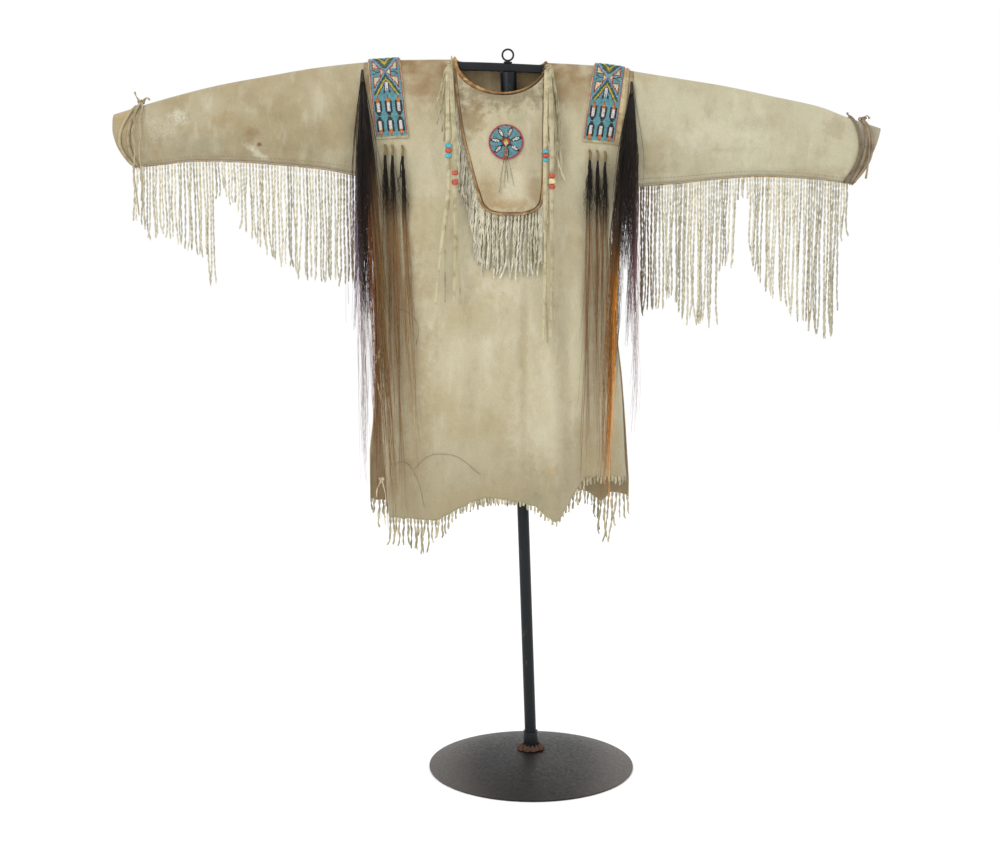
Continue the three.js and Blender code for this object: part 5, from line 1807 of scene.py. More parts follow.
# ---- ties and thongs
@dataclass(frozen=True)
class LooseEnd:
    """The free end of a thong tie."""

    node: str
    route: tuple[Point, ...]

    def build(self, radius: float = 1.5, count: int = 40) -> None:
        """Args:
            radius: half the thong's thickness.
            count: how many points it has.
        """
        path = spline(self.route, count)
        taper = radius * (1 - 0.25 * smoothstep(np.linspace(0, 1, count), 0.9, 1.0))
        patch = Patchwork()
        patch.tubes(rings_along(path[None], taper, taper, 8), tint=np.array([[0.56, 0.49, 0.38]]))
        piece = patch.build(self.node + "_thong", [PALETTE.thong], "hide_fringe", self.node)
        points = [tuple(float(c) * MM for c in p) for p in path]
        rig.cord(
            piece, exit=points[0], length=line_length(path) * MM, diameter=2 * radius * MM,
            far_end="bare", stiffness="limp", lay="hanging", path=points,
        )


LOOSE_ENDS = (
    LooseEnd(
        "cuff_tie_end_long",
        (
            (-829, -31, 1392), (-833, -34, 1376), (-828, -36, 1340), (-831, -37, 1290),
            (-826, -36, 1240), (-823, -35, 1202),
        ),
    ),
    LooseEnd(
        "cuff_tie_end_short",
        ((-818, -31.5, 1392), (-815, -34, 1372), (-819, -36, 1330), (-814, -36, 1280), (-818, -36, 1232)),
    ),
    LooseEnd(
        "side_tie_end_upper",
        ((-333.5, -11, 1170), (-337, -15, 1140), (-334, -17, 1090), (-336, -17, 1040), (-333, -15, 985)),
    ),
)


def knot_points(centre: Point, size: float, count: int = 34) -> Array:
    """Winds a small overhand knot about a point.

    Args:
        centre: the knot's middle.
        size: its radius.
        count: how many points it has.

    Returns:
        The line of the knot.
    """
    t = np.linspace(0, 2 * math.pi, count, endpoint=False)
    x = (np.sin(t) + 2 * np.sin(2 * t)) / 3
    y = -np.sin(3 * t) * 0.45
    z = (np.cos(t) - 2 * np.cos(2 * t)) / 3
    return np.array(centre) + size * np.stack([x, y, z], axis=1)


@dataclass(frozen=True)
class CuffTie:
    """The thongs tied round one cuff, with a knot above it."""

    side: Side
    loops: tuple[tuple[float, float, float, float], ...]  # place at the ridge and the seam, sag, shade
    knot: Point
    ends: tuple[tuple[Point, ...], ...]
    shade: tuple[float, float, float] = (0.56, 0.49, 0.38)
    radius: float = 1.5

    def build(self) -> None:
        """Builds the loops, the knot and the short ends."""
        sleeve = SLEEVES[self.side]
        patch = Patchwork()
        shade = np.array([self.shade])
        count = 60
        turn = np.linspace(0, 2, count, endpoint=False)
        share = 1 - np.abs(1 - turn)
        behind = np.where(turn < 1, -1.0, 1.0)
        for upper, lower, sag, strap in self.loops:
            v = lerp(upper, lower, share) + sag * np.sin(math.pi * share)
            grid = sleeve.ring(v, share, behind, self.radius + 2.2)
            path = grid[np.arange(count), np.arange(count)]
            out = smoothstep(share, 0.12, 0.0) * 3.2 - smoothstep(share, 0.92, 1.0) * 3.0
            path[:, 2] += out
            patch.loop(path, 3.4, self.radius * 0.85, 6, shade[0] * strap)
        for size, shift in ((6.5, 0.0), (4.5, 5.0)):
            knot = knot_points((self.knot[0] + shift, self.knot[1], self.knot[2] + shift / 2), size)
            patch.loop(knot, 1.5, 1.5, 6, shade[0])
        for end in self.ends:
            patch.strap(end, 20, (2.6, 1.1), 6, 3, shade)
        node = f"cuff_tie_{self.side.value}"
        patch.build(node + "_thongs", [PALETTE.thong], "hide_fringe", node)


CUFF_TIES = (
    CuffTie(
        Side.LEFT, ((0.905, 0.985, 0.034, 1.0), (0.893, 0.972, 0.012, 0.86)), (-821, -2, 1436),
        (
            ((-822, -4, 1438), (-828, -8, 1448), (-832, -6, 1458)),
            ((-815, -4, 1440), (-806, -8, 1446), (-800, -10, 1441)),
            ((-820, -8, 1436), (-826, -26, 1416), (-829, -30.5, 1395)),
            ((-817, -8, 1436), (-812, -26, 1414), (-818, -31, 1395)),
        ),
    ),
    CuffTie(
        Side.RIGHT, ((0.93, 0.995, 0.03, 1.0), (0.925, 0.985, 0.012, 0.86), (0.873, 0.957, 0.03, 0.6)),
        (690, -2, 1401),
        (
            ((691, -4, 1403), (699, -10, 1409), (705, -8, 1403)),
            ((664, -4, 1404), (660, -6, 1411), (658, -6, 1416)),
            ((690, -8, 1401), (697, -27, 1380), (701, -33, 1345), (699, -33, 1312), (695, -31, 1278)),
        ),
        (0.42, 0.34, 0.27),
    ),
)


@dataclass(frozen=True)
class SideKnot:
    """A thong tied through both hides at the open left side."""

    number: int
    x: float
    z: float
    ends: tuple[tuple[Point, ...], ...] = ()

    def build(self) -> None:
        """Builds the knot on the front's edge and its short ends."""
        patch = Patchwork()
        shade = np.array([0.86, 0.78, 0.64])
        for size, turned_by in ((5.6, 0.0), (4.2, 1.1)):
            knot = knot_points((self.x, -13.5, self.z + turned_by), size)
            patch.loop(knot, 1.4, 1.3, 6, shade)
        for end in self.ends:
            patch.strap(end, 24, (1.4, 1.1), 6, 5, shade[None])
        node = f"side_knot_{self.number}"
        patch.build(node + "_thong", [PALETTE.thong], "hide_fringe", node)


SIDE_KNOTS = (
    SideKnot(1, -330, 1176, (((-327, -15, 1174), (-321, -17, 1150), (-324, -18, 1118)),)),
    SideKnot(
        2, -329, 905,
        (
            ((-330, -15, 902), (-335, -17, 880), (-330, -17, 850), (-323, -17, 815)),
            ((-327, -15, 908), (-321, -17, 936), (-324, -17, 962)),
        ),
    ),
    SideKnot(
        3, -323, 640,
        (
            ((-324, -15, 637), (-332, -18, 620), (-334, -17, 603)),
            ((-321, -15, 637), (-314, -18, 600), (-317, -18, 570), (-316, -16, 542)),
        ),
    ),
)


# ---- bib and rolled edges
@dataclass(frozen=True)
class BibCut:
    """The shield-shaped flap that hangs from the front of the neck."""

    near: float = 8.0  # how far its underside stands off the front
    crown: float = 6.0
    edging: float = 2.6
    left: tuple[tuple[float, float], ...] = (
        (1516, -164), (1435, -155), (1375, -146), (1294, -126), (1253, -115),
    )
    right: tuple[tuple[float, float], ...] = ((1253, 20), (1334, 22), (1435, 23), (1512, 25))
    bottom: tuple[tuple[float, float], ...] = (
        (-115, 1253), (-104, 1222), (-87, 1208), (-60, 1204), (-27, 1204), (2, 1211), (16, 1226),
        (20, 1253),
    )

    def y(self, x: Array, z: Array) -> Array:
        """Gives the y that the bib is measured from, crowned over the front.

        Args:
            x: places across, from left to right.
            z: heights.

        Returns:
            The y at each place.
        """
        across = np.sin(math.pi * np.clip((x + 165) / 192, 0, 1))
        down = np.sin(math.pi * np.clip((1530 - z) / 340, 0, 1))
        return -FRONT.depth(x, z) - self.crown * across * down

    def edge(self, shares: Array, forward: float, outward: float = 0.0) -> Array:
        """Places points along the bib's outline.

        Args:
            shares: how far along each is, from the upper left corner round to the upper right.
            forward: how far in front of the crowned front they stand.
            outward: how far outside the outline.

        Returns:
            The points.
        """
        flat = [(x, 0.0, z) for z, x in self.left[:-1]] + [(x, 0.0, z) for x, z in self.bottom]
        flat += [(x, 0.0, z) for z, x in self.right[1:]]
        line = spline(flat, 400)
        way = unit(np.gradient(line, axis=0))
        at = np.asarray(shares, float) * (len(line) - 1)
        places = np.arange(len(line))
        x, z, dx, dz = (np.interp(at, places, c) for c in (line[:, 0], line[:, 2], way[:, 0], way[:, 2]))
        x, z = x + dz * outward, z - dx * outward
        return np.stack([x, self.y(x, z) - forward, z], axis=-1)


BIB = BibCut()


@dataclass
class Bib:
    """The bib's hide and its rolled, whip-stitched edging."""

    rows: int = 56
    columns: int = 44
    edging_steps: int = 190
    edging_stitches: int = 46

    def sheet(self) -> Array:
        """Places the points of the hide's outer face.

        Returns:
            The grid of points.
        """
        inset = BIB.edging + 0.9
        s = 0.5 - 0.5 * np.cos(np.linspace(0, math.pi, self.columns))[None, :]
        v = np.linspace(0, 1, self.rows)[:, None]
        left, right, bottom = Profile(BIB.left), Profile(BIB.right), Profile(BIB.bottom)
        low_x = lerp(BIB.left[-1][1] + inset, BIB.right[0][1] - inset, s)
        low_z = bottom(lerp(BIB.left[-1][1], BIB.right[0][1], s)) + inset
        top_z = np.full_like(s, 1500.0)
        for _ in range(4):
            top_x = lerp(left(top_z) + inset, right(top_z) - inset, s)
            top_z = np.minimum(SHOULDER(top_x) - CUT.neck_drop(top_x, CUT.neck_front, CUT.neck_grow), 1509)
        z = lerp(top_z, low_z, v)
        x = np.where(z > BIB.left[-1][0], lerp(left(z) + inset, right(z) - inset, s), low_x)
        dents = Crease((-120, 1440), (-100, 1300), 9, 1.6).height(x, z)
        dents = dents - Crease((0, 1420), (5, 1280), 8, 1.6).height(x, z)
        y = BIB.y(x, z) - BIB.near - HIDE - 0.5 * ripple(x, z, 61, 30, 80) - dents
        return np.stack([x + 0 * z, y, z + 0 * x], axis=-1)

    def build(self) -> bpy.types.Object:
        """Builds the hide and its edging.

        Returns:
            The piece that stands for the hide.
        """
        outer = self.sheet()
        direction = normals(outer)
        direction = direction if direction[self.rows // 2, self.columns // 2, 1] < 0 else -direction
        patch = Patchwork()
        shell(patch, outer, outer - HIDE * direction, finishes=(0, 1))
        piece = patch.build("bib_hide", [PALETTE.bib, PALETTE.inside], "hide", "bib")
        shares = np.linspace(0.045, 0.955, self.edging_steps)
        path = BIB.edge(shares, BIB.near + 1.2)
        rng = np.random.default_rng(5)
        coarse = np.arange(0, len(path), 5)
        swell = 1 + 0.12 * np.interp(np.arange(len(path)), coarse, rng.uniform(-1, 1, len(coarse)))
        edging = Patchwork()
        edging.tubes(rings_along(path[None], BIB.edging * swell, BIB.edging * swell, 10))
        whip_stitches(edging, path, BIB.edging * 1.12, self.edging_stitches, 0.45)
        edging.build("bib_edging_roll", [PALETTE.edge, PALETTE.sinew], "hide_brown", "bib_edging")
        return piece


def whip_stitches(patch: Patchwork, path: Array, radius: float, count: int, thread: float) -> None:
    """Wraps short slanted stitches over the front of a rolled edge.

    Args:
        patch: what they go into.
        path: the roll's middle line.
        radius: how far from that line the thread lies.
        count: how many stitches there are.
        thread: the thread's radius.
    """
    past = 0.2  # how far past the roll's sides a stitch reaches, in radians
    at = np.linspace(2, len(path) - 3, count).astype(int)
    way = unit(path[at + 1] - path[at - 1])
    side = unit(np.cross(way, np.array([0.0, 1.0, 0.0])))
    front = unit(np.cross(way, side))
    front = np.where(front[:, 1:2] > 0, -front, front)
    turn = np.linspace(-past, math.pi + past, 9)[None, :, None]
    ring = np.cos(turn) * side[:, None] + np.sin(turn) * front[:, None]
    slant = np.linspace(-0.8, 0.8, 9)[None, :, None] * way[:, None]
    patch.threads(path[at][:, None] + radius * ring + slant, thread)


@dataclass(frozen=True)
class NeckRoll:
    """The folded, handled edge all round the neck."""

    points: int = 220
    stitches: int = 40

    def half(self, panel: PanelCut, deep: float, outward: float) -> Array:
        """Places the roll's line along one hide's neck.

        Args:
            panel: the hide.
            deep: how deep the neck is cut in it.
            outward: how far outside the hide the line runs at its lowest.

        Returns:
            The line's points.
        """
        bend = np.linspace(0, 1, self.points // 2, endpoint=False)
        angle = math.pi * (bend - 0.12 * np.sin(2 * math.pi * bend))
        x = CUT.neck_x + panel.face.value * CUT.neck_half * np.cos(angle)
        drop = deep * np.sin(angle)
        z = SHOULDER(x) - drop
        depth = panel.depth(x, z) + outward * smoothstep(drop, 4, 30)
        return np.stack([x, panel.face.value * depth, z + 1.4], axis=1)

    def build(self) -> None:
        """Builds the roll with its stitches."""
        front = self.half(FRONT, CUT.neck_front, BIB.near / 2)
        path = np.vstack([front, self.half(BACK, CUT.neck_back, -HIDE / 2)])
        rng = np.random.default_rng(7)
        count = len(path)
        coarse = np.arange(0, count, 4)
        lumps = 1 + 0.14 * np.interp(np.arange(count), coarse, rng.uniform(-1, 1, len(coarse)))
        thin = 1 - 0.22 * smoothstep(path[:, 0], -60, 0)
        radius = CUT.roll * lumps * thin
        patch = Patchwork()
        flat = 1 + 0.75 * smoothstep(-path[:, 0], 70, 130) * (path[:, 1] < 0)
        patch.loop(path, radius * flat, radius * 1.05, 10)
        whip_stitches(patch, path, CUT.roll * 1.15, self.stitches, 0.42)
        patch.build("neck_roll_edge", [PALETTE.neck_edge, PALETTE.sinew], "hide_brown", "neck_roll")


# ---- fringe
@dataclass(frozen=True)
class StrandCut:
    """How one kind of fringe is cut and twisted."""

    width: float = 2.75  # from the middle to a corner of the section, at the root
    thick: float = 1.7
    taper: float = 0.85
    pitch: float = 46.0  # one turn of the twist
    step: float = 4.4
    wave: float = 1.8
    curl: float = 6.0

    def rings(
        self, starts: Array, ends: Array, seed: int, lean: Callable[[Array], Array] | None = None
    ) -> Array:
        """Hangs twisted strands between starts and ends.

        Args:
            starts: where the strands leave the hide.
            ends: where their tips hang.
            seed: which set of waves and twists.
            lean: moves the paths so that they lie on what is behind them.

        Returns:
            The strands' rings.
        """
        rng = np.random.default_rng(seed)
        many = len(starts)
        length = np.linalg.norm(ends - starts, axis=1)[:, None]
        steps = max(8, int(length.max() / self.step))
        t = np.linspace(0, 1, steps)[None, :]
        paths = starts[:, None] + (ends - starts)[:, None] * t[..., None]
        free = np.minimum(1.0, length / 120)
        for axis, share in ((0, 1.0), (1, 0.8)):
            phase = rng.uniform(0, 2 * math.pi, (many, 1))
            turns = rng.uniform(0.5, 1.4, (many, 1))
            wave = self.wave * rng.uniform(0.3, 1.2, (many, 1)) * free
            sway = np.sin(2 * math.pi * turns * t + phase) - np.sin(phase)
            paths[..., axis] += share * wave * sway * smoothstep(t, 0, 0.5)
            fine = rng.uniform(0, 2 * math.pi, (many, 1))
            crimp = np.sin(2 * math.pi * length * t / 21.0 + fine)
            paths[..., axis] += 0.35 * crimp * smoothstep(t, 0, 0.2)
            hook = self.curl * rng.normal(0, 0.55, (many, 1)) * free
            paths[..., axis] += hook * smoothstep(t, 0.78, 1.05) ** 1.5
        if lean:
            paths = lean(paths)
        hand = np.where(rng.random((many, 1)) < 0.75, 1.0, -1.0)
        turn = hand * 2 * math.pi * length * t / (self.pitch * rng.uniform(0.8, 1.3, (many, 1)))
        turn = turn * smoothstep(t * length, 0, 14) + rng.uniform(-0.3, 0.3, (many, 1))
        narrow = lerp(1.0, self.taper, t) * rng.uniform(0.85, 1.15, (many, 1))
        narrow = narrow * (1 + 0.08 * np.sin(length * t / 6 + rng.uniform(0, 6, (many, 1))))
        tip = 1 - 0.45 * smoothstep(t, 0.97, 1.0)
        return rings_along(paths, self.width * narrow * tip, self.thick * narrow * tip, 4, turn)

    def tints(self, many: int, seed: int) -> Array:
        """Picks each strand's shade.

        Args:
            many: how many strands there are.
            seed: the seed of the shades.

        Returns:
            A colour for each strand.
        """
        rng = np.random.default_rng(seed + 500)
        light = rng.uniform(0.56, 0.95, (many, 1))
        warm = rng.uniform(0.0, 1.0, (many, 1)) ** 2
        return light * np.concatenate([np.ones_like(warm), 1 - 0.03 * warm, 1 - 0.12 * warm], axis=1)


SLEEVE_STRANDS = StrandCut()
HEM_NIBS = StrandCut(width=3.7, thick=1.9, taper=0.7, pitch=60.0, step=2.8, wave=2.6, curl=9.0)
BIB_STRANDS = StrandCut(width=3.1, thick=1.7, pitch=44.0, step=3.8, wave=2.6, curl=6.0)


def welt(path: Array, thick: float, high: float) -> Array:
    """Gives the rings of a narrow stitched strip along a path."""
    return rings_along(path[None], high, thick, 8, math.pi / 2)


@dataclass(frozen=True)
class SleeveFringe:
    """Twisted fringe sewn in the seam under one sleeve."""

    side: Side
    gap: float = -0.3
    strip_height: float = 4.4
    stitch_span: tuple[float, float] = (0.035, 0.95)  # shares of the sleeve's length
    stitch_pitch: float = 0.0165
    stitch_length: float = 0.0085
    stitch_row: float = 0.955  # share of the way from the ridge to the seam

    def build(self) -> None:
        """Builds the seam's strip, its fringe and the stitches above it."""
        sleeve = SLEEVES[self.side]
        low, high = min(sleeve.fringe) - 3, max(sleeve.fringe) + 3
        below = self.gap + self.strip_height / 2
        x = np.linspace(low, high, 120)
        seam = np.stack([x, 0 * x, sleeve.seam_z(x) - below], axis=1)
        patch = Patchwork()
        patch.tubes(welt(seam, 1.7, 2.0), tint=np.array([[0.5, 0.38, 0.24]]))
        rng = np.random.default_rng(71 + len(self.side.value))
        t = np.linspace(0, 1, sleeve.strands)
        root = lerp(low + 3, high - 3, t) + rng.normal(0, 0.5, sleeve.strands)
        lean = sleeve.splay * np.maximum(0, 1 - t * 7) + rng.normal(0, 1.5, sleeve.strands)
        root_y = rng.uniform(-0.8, 0.8, sleeve.strands)
        starts = np.stack([root, root_y, sleeve.seam_z(root) - below], axis=1)
        tips = np.interp(root, *zip(*sorted(sleeve.tips))) + rng.normal(0, 5, sleeve.strands)
        ends = np.stack([root + lean, rng.uniform(-5, 5, sleeve.strands), tips], axis=1)
        seed = 80 + int(sleeve.sign)
        beside = smoothstep(np.abs(root - sleeve.armhole), 66, 24)[:, None]
        beside = beside * rng.uniform(0.3, 1.0, (sleeve.strands, 1))
        tint = lerp(SLEEVE_STRANDS.tints(sleeve.strands, seed), np.array(linear("#71503c")[:3]), beside)
        patch.tubes(SLEEVE_STRANDS.rings(starts, ends, seed), tint=tint)
        self.stitches(patch, sleeve)
        name, finishes = self.side.value, [PALETTE.thong, PALETTE.sinew]
        patch.build(f"sleeve_fringe_{name}", finishes, "hide_fringe", f"fringe_sleeve_{name}", 50.0)

    def stitches(self, patch: Patchwork, sleeve: SleeveCut) -> None:
        """Lays running stitches on both faces, just above the seam.

        Args:
            patch: what they go into.
            sleeve: the sleeve that they are sewn on.
        """
        lines = []
        for behind in (-1.0, 1.0):
            for v in np.arange(*self.stitch_span, self.stitch_pitch):
                ends = np.array([v, v + self.stitch_length])
                row, face = np.array([self.stitch_row]), np.array([behind])
                grid = sleeve.relief(sleeve.ring(ends, row, face, 0.5))
                grid[..., 1] += behind * 0.35
                lines.append(np.linspace(grid[0, 0], grid[1, 0], 3))
        patch.threads(np.array(lines), 0.45)


@dataclass(frozen=True)
class BibFringe:
    """Fringe that hangs from the bib's edge over the front."""

    rows: tuple[tuple[float, float, int, float, float], ...] = (
        (0.1, 0.36, 17, 118, -5), (0.12, 0.34, 11, 96, -12), (0.37, 0.635, 26, 134, -5),
        (0.4, 0.62, 12, 122, -2), (0.65, 0.76, 5, 112, 6), (0.87, 0.965, 6, 150, 33),
    )  # from, to, strands, length, lean

    def build(self) -> None:
        """Builds the fringe and the strip that it is cut from."""
        patch = Patchwork()
        shares = np.linspace(0.05, 0.97, 120)
        strip = rings_along(BIB.edge(shares, BIB.near / 2)[None], 2.2, 2.2, 6)
        patch.tubes(strip, tint=np.array([[0.7, 0.6, 0.45]]))

        def on_front(paths: Array) -> Array:
            """Keeps strands in front of the hide.

            Args:
                paths: the strands' points.

            Returns:
                The strands, moved where they were inside the hide.
            """
            x, z = paths[..., 0], paths[..., 2]
            face = FRONT.surface(x, z) - BIB.near / 2 - 1.5
            paths[..., 1] = np.minimum(paths[..., 1], face)
            return paths

        for number, (low, high, strands, length, lean) in enumerate(self.rows):
            rng = np.random.default_rng(90 + number)
            starts = BIB.edge(np.linspace(low, high, strands), BIB.near / 2)
            reach = length * rng.uniform(0.9, 1.08, strands)
            ends = starts + np.stack([lean * rng.uniform(0.5, 1.4, strands), 0 * reach, -reach], axis=1)
            ends[:, 1] = FRONT.surface(ends[:, 0], ends[:, 2]) - 7
            rings = BIB_STRANDS.rings(starts, ends, 90 + number, on_front)
            patch.tubes(rings, tint=BIB_STRANDS.tints(strands, 90 + number))
        patch.build("bib_fringe_thongs", [PALETTE.thong], "hide_fringe", "fringe_bib", 50.0)


@dataclass(frozen=True)
class HemFringe:
    """The hem of one hide, cut into close narrow nibs with some long curling strands."""

    cut: PanelCut
    tips: tuple[tuple[float, float], ...]
    pitch: float = 7.4
    shortest: float = 8.0

    def build(self, hem: Array) -> None:
        """Builds the nibs along the hem.

        Args:
            hem: the hide's own hem line.
        """
        rng = np.random.default_rng(self.cut.seed + 3)
        low, high = hem[0, 0] + 3, hem[-1, 0] - 3
        count = int((high - low) / self.pitch)
        x = np.linspace(low, high, count) + rng.normal(0, 0.6, count)
        side = self.cut.face.value
        y = np.interp(x, hem[:, 0], hem[:, 1]) - side * HIDE / 2
        z = np.interp(x, hem[:, 0], hem[:, 2])
        starts = np.stack([x, y, z + 1.2], axis=1)
        tip = np.minimum(np.interp(x, *zip(*self.tips)), z - self.shortest)
        tip = tip + rng.normal(0, 3.0, count)
        tip = np.minimum(tip, z - self.shortest * 0.7)
        away = rng.normal(0, 0.06, count) * (z - tip)
        end_y = y + side * rng.uniform(-1, 2, count) + rng.normal(0, 1.2, count)
        ends = np.stack([x + away, end_y, tip], axis=1)
        long = z - tip > 34
        patch = Patchwork()
        for mask, seed in ((~long, 1), (long, 2)):
            rings = HEM_NIBS.rings(starts[mask], ends[mask], self.cut.seed + seed)
            shade = HEM_NIBS.tints(int(mask.sum()), self.cut.seed + seed) * (0.82, 0.79, 0.7)
            patch.tubes(rings, tint=shade)
        name = self.cut.face.name.lower()
        patch.build(f"hem_fringe_{name}", [PALETTE.thong], "hide_fringe", f"fringe_hem_{name}", 50.0)


HEM_FRINGES = (
    HemFringe(
        FRONT,
        (
            (-308, 498), (-265, 498), (-227, 478), (-209, 515), (-182, 530), (-171, 556), (-132, 580),
            (-94, 589), (-43, 592), (0, 580), (25, 567), (47, 550), (68, 570), (93, 580), (110, 602),
            (119, 632), (161, 636), (206, 630),
        ),
    ),
    HemFringe(
        BACK,
        (
            (-355, 572), (-341, 562), (-333, 524), (-320, 556), (-200, 560), (-60, 572), (60, 584),
            (110, 590), (134, 567), (143, 527), (152, 513), (169, 495), (178, 493), (191, 558),
            (213, 556),
        ),
    ),
)


# ---- beadwork
class Bead(Enum):
    """The colours of seed bead that the shirt is worked in."""

    TURQUOISE = "#5fa6b2"
    ROSE = "#b5485c"
    NAVY = "#1d2a5a"
    GREEN = "#1f6244"
    YELLOW = "#d6bd2c"
    CREAM = "#ebdfbd"
    ORANGE = "#d3742c"
    RED = "#a92d2a"
    SKY = "#7fb5d8"
    BLACK = "#18161c"
    WHITE = "#e4e1e2"


BEADS = list(Bead)
BEAD_LINEAR = np.array([linear(bead.value)[:3] for bead in BEADS])


def number(bead: Bead) -> int:
    """Gives a bead colour's place in the list of colours."""
    return BEADS.index(bead)


def strip_chart(i: Array, j: Array) -> Array:
    """Charts one half of a shoulder strip, bead by bead.

    Args:
        i: beads across, 0 at the strip's middle.
        j: rows down from the shoulder ridge, from 0.

    Returns:
        The number of each bead's colour.
    """
    a = np.abs(i)
    j = np.round((j - 6) * 1.07)  # the rows over the fold are seen edge on, the chart starts below them
    chart = np.full(np.broadcast(i, j).shape, number(Bead.TURQUOISE))

    def lay(mask: Array, bead: Bead) -> None:
        """Works the masked beads in one colour."""
        chart[mask] = number(bead)

    def bands(away: Array, where: Array, *table: tuple[float, float, Bead]) -> None:
        """Works stripes, each from one distance up to another."""
        for low, high, bead in table:
            lay((away >= low) & (away < high) & where, bead)

    upper = (j + 1.35 * a >= 13.5) & (j <= 9) & (a <= 12)
    lay(upper, Bead.RED)
    lay(upper & (j + 1.35 * a >= 16) & (j <= 8) & (a <= 11), Bead.CREAM)
    lower = (j >= 18) & (j <= 30) & (a <= 12) & (j - 1.6 * a <= 11.5)
    lay(lower, Bead.RED)
    lay(lower & (j >= 19) & (a <= 11) & (j - 1.6 * a <= 9.5), Bead.CREAM)
    off = np.abs(j - 13)
    wedge = (a >= 1 + off) & (a <= 5) & (off <= 4)
    lay(wedge, Bead.RED)
    lay(wedge & (a >= 2 + off) & (a <= 4), Bead.CREAM)
    lay(a + off <= 1.5, Bead.RED)
    bands(
        j + 1.15 * a, j <= 12, (0, 1.6, Bead.NAVY), (1.6, 4.4, Bead.YELLOW), (4.4, 7.6, Bead.GREEN),
        (7.6, 9.0, Bead.NAVY), (9.0, 10.6, Bead.TURQUOISE), (10.6, 12.4, Bead.SKY),
    )
    bands(
        j - 1.65 * a, (j >= 13) & (j <= 37), (12.2, 14.0, Bead.SKY), (14.0, 15.4, Bead.NAVY),
        (15.4, 18.6, Bead.GREEN), (18.6, 21.8, Bead.YELLOW), (21.8, 23.6, Bead.NAVY),
    )
    fork = np.round((a - 9) * 0.8)
    lay((a >= 6) & (a <= 9) & (j == 13), Bead.BLACK)
    lay((a > 9) & (a <= 12) & (np.abs(j - 13) == fork), Bead.BLACK)
    small = (j >= 25) & (j <= 36) & (a <= 3)
    lay(small & (a == 2) & (j <= 35), Bead.NAVY)
    lay(small & (a == 3) & (j >= 33), Bead.NAVY)
    lay(small & (a <= 1) & (j <= 33), Bead.WHITE)
    lay(small & (a == 0) & (j >= 31), Bead.TURQUOISE)
    for centre in (-10, 0, 10):
        b = np.abs(i - centre)
        for row, k in ((j <= 60, j - 40), (j >= 61, 82 - j)):
            outline = np.select([k < 3, k < 5, k < 17, k < 19], [0, 1, 3, 2], 1)
            lay(row & (k >= 3) & (k <= 20) & (b <= outline), Bead.BLACK)
            lay(row & (k >= 0) & (k <= 3) & (b == 0), Bead.RED)
            lay(row & (k >= 2) & (k <= 6) & (b <= 1), Bead.ORANGE)
            lay(row & (k == 4) & (b == 0), Bead.YELLOW)
            lay(row & (k >= 7) & (k <= 16) & (b <= 1), Bead.WHITE)
    lay((a == 15) & (j >= -9), Bead.ROSE)
    return chart


def bead_shape(sides: int = 5) -> tuple[Array, Array]:
    """Gives one seed bead, with its hole along the first axis and a radius of 1.

    Args:
        sides: how many sides it has.

    Returns:
        Its points and its triangles.
    """
    rings = ((-0.92, 0.66), (0.0, 1.0), (0.92, 0.66))
    turn = 2 * math.pi * np.arange(sides) / sides
    circle = np.stack([np.cos(turn), np.sin(turn)], axis=1)
    points = np.vstack([np.column_stack([np.full(sides, x), r * circle]) for x, r in rings])
    quads = grid_faces(3, sides, False, True)
    return points, np.vstack([quads[:, [0, 1, 2]], quads[:, [0, 2, 3]], end_caps(3, sides)])


def lay_beads(
    patch: Patchwork, centres: Array, across: Array, out: Array, colours: Array, radius: Array, seed: int
) -> None:
    """Sets seed beads side by side.

    Args:
        patch: what they go into.
        centres: the beads' middles.
        across: the way each one's hole runs.
        out: the way out of the cloth.
        colours: the number of each one's colour.
        radius: half the size of each one, along its hole and round it.
        seed: which small differences they have.
    """
    rng = np.random.default_rng(seed)
    points, faces = bead_shape()
    count = len(centres)
    along = np.cross(out, across)
    size = radius * rng.uniform(0.94, 1.03, (count, 1, 1))
    local = points[None] * size
    made = centres[:, None] + local[..., :1] * across[:, None] + local[..., 1:2] * out[:, None]
    made = made + local[..., 2:] * along[:, None] + rng.normal(0, 0.06, (count, 1, 3))
    every = (faces[None] + np.arange(count)[:, None, None] * len(points)).reshape(-1, 3)
    shade = BEAD_LINEAR[colours] * rng.uniform(0.72, 1.22, (count, 1))
    blue = colours == number(Bead.TURQUOISE)
    drift = rng.normal(0, 0.1, (count, 1)) * np.array([[-1.0, 0.25, 1.0]])
    shade = np.where(blue[:, None], np.clip(shade * (1 + drift), 0, 1), shade)
    patch.add(made, every, 0, np.repeat(np.clip(shade, 0, 1), len(points), axis=0))


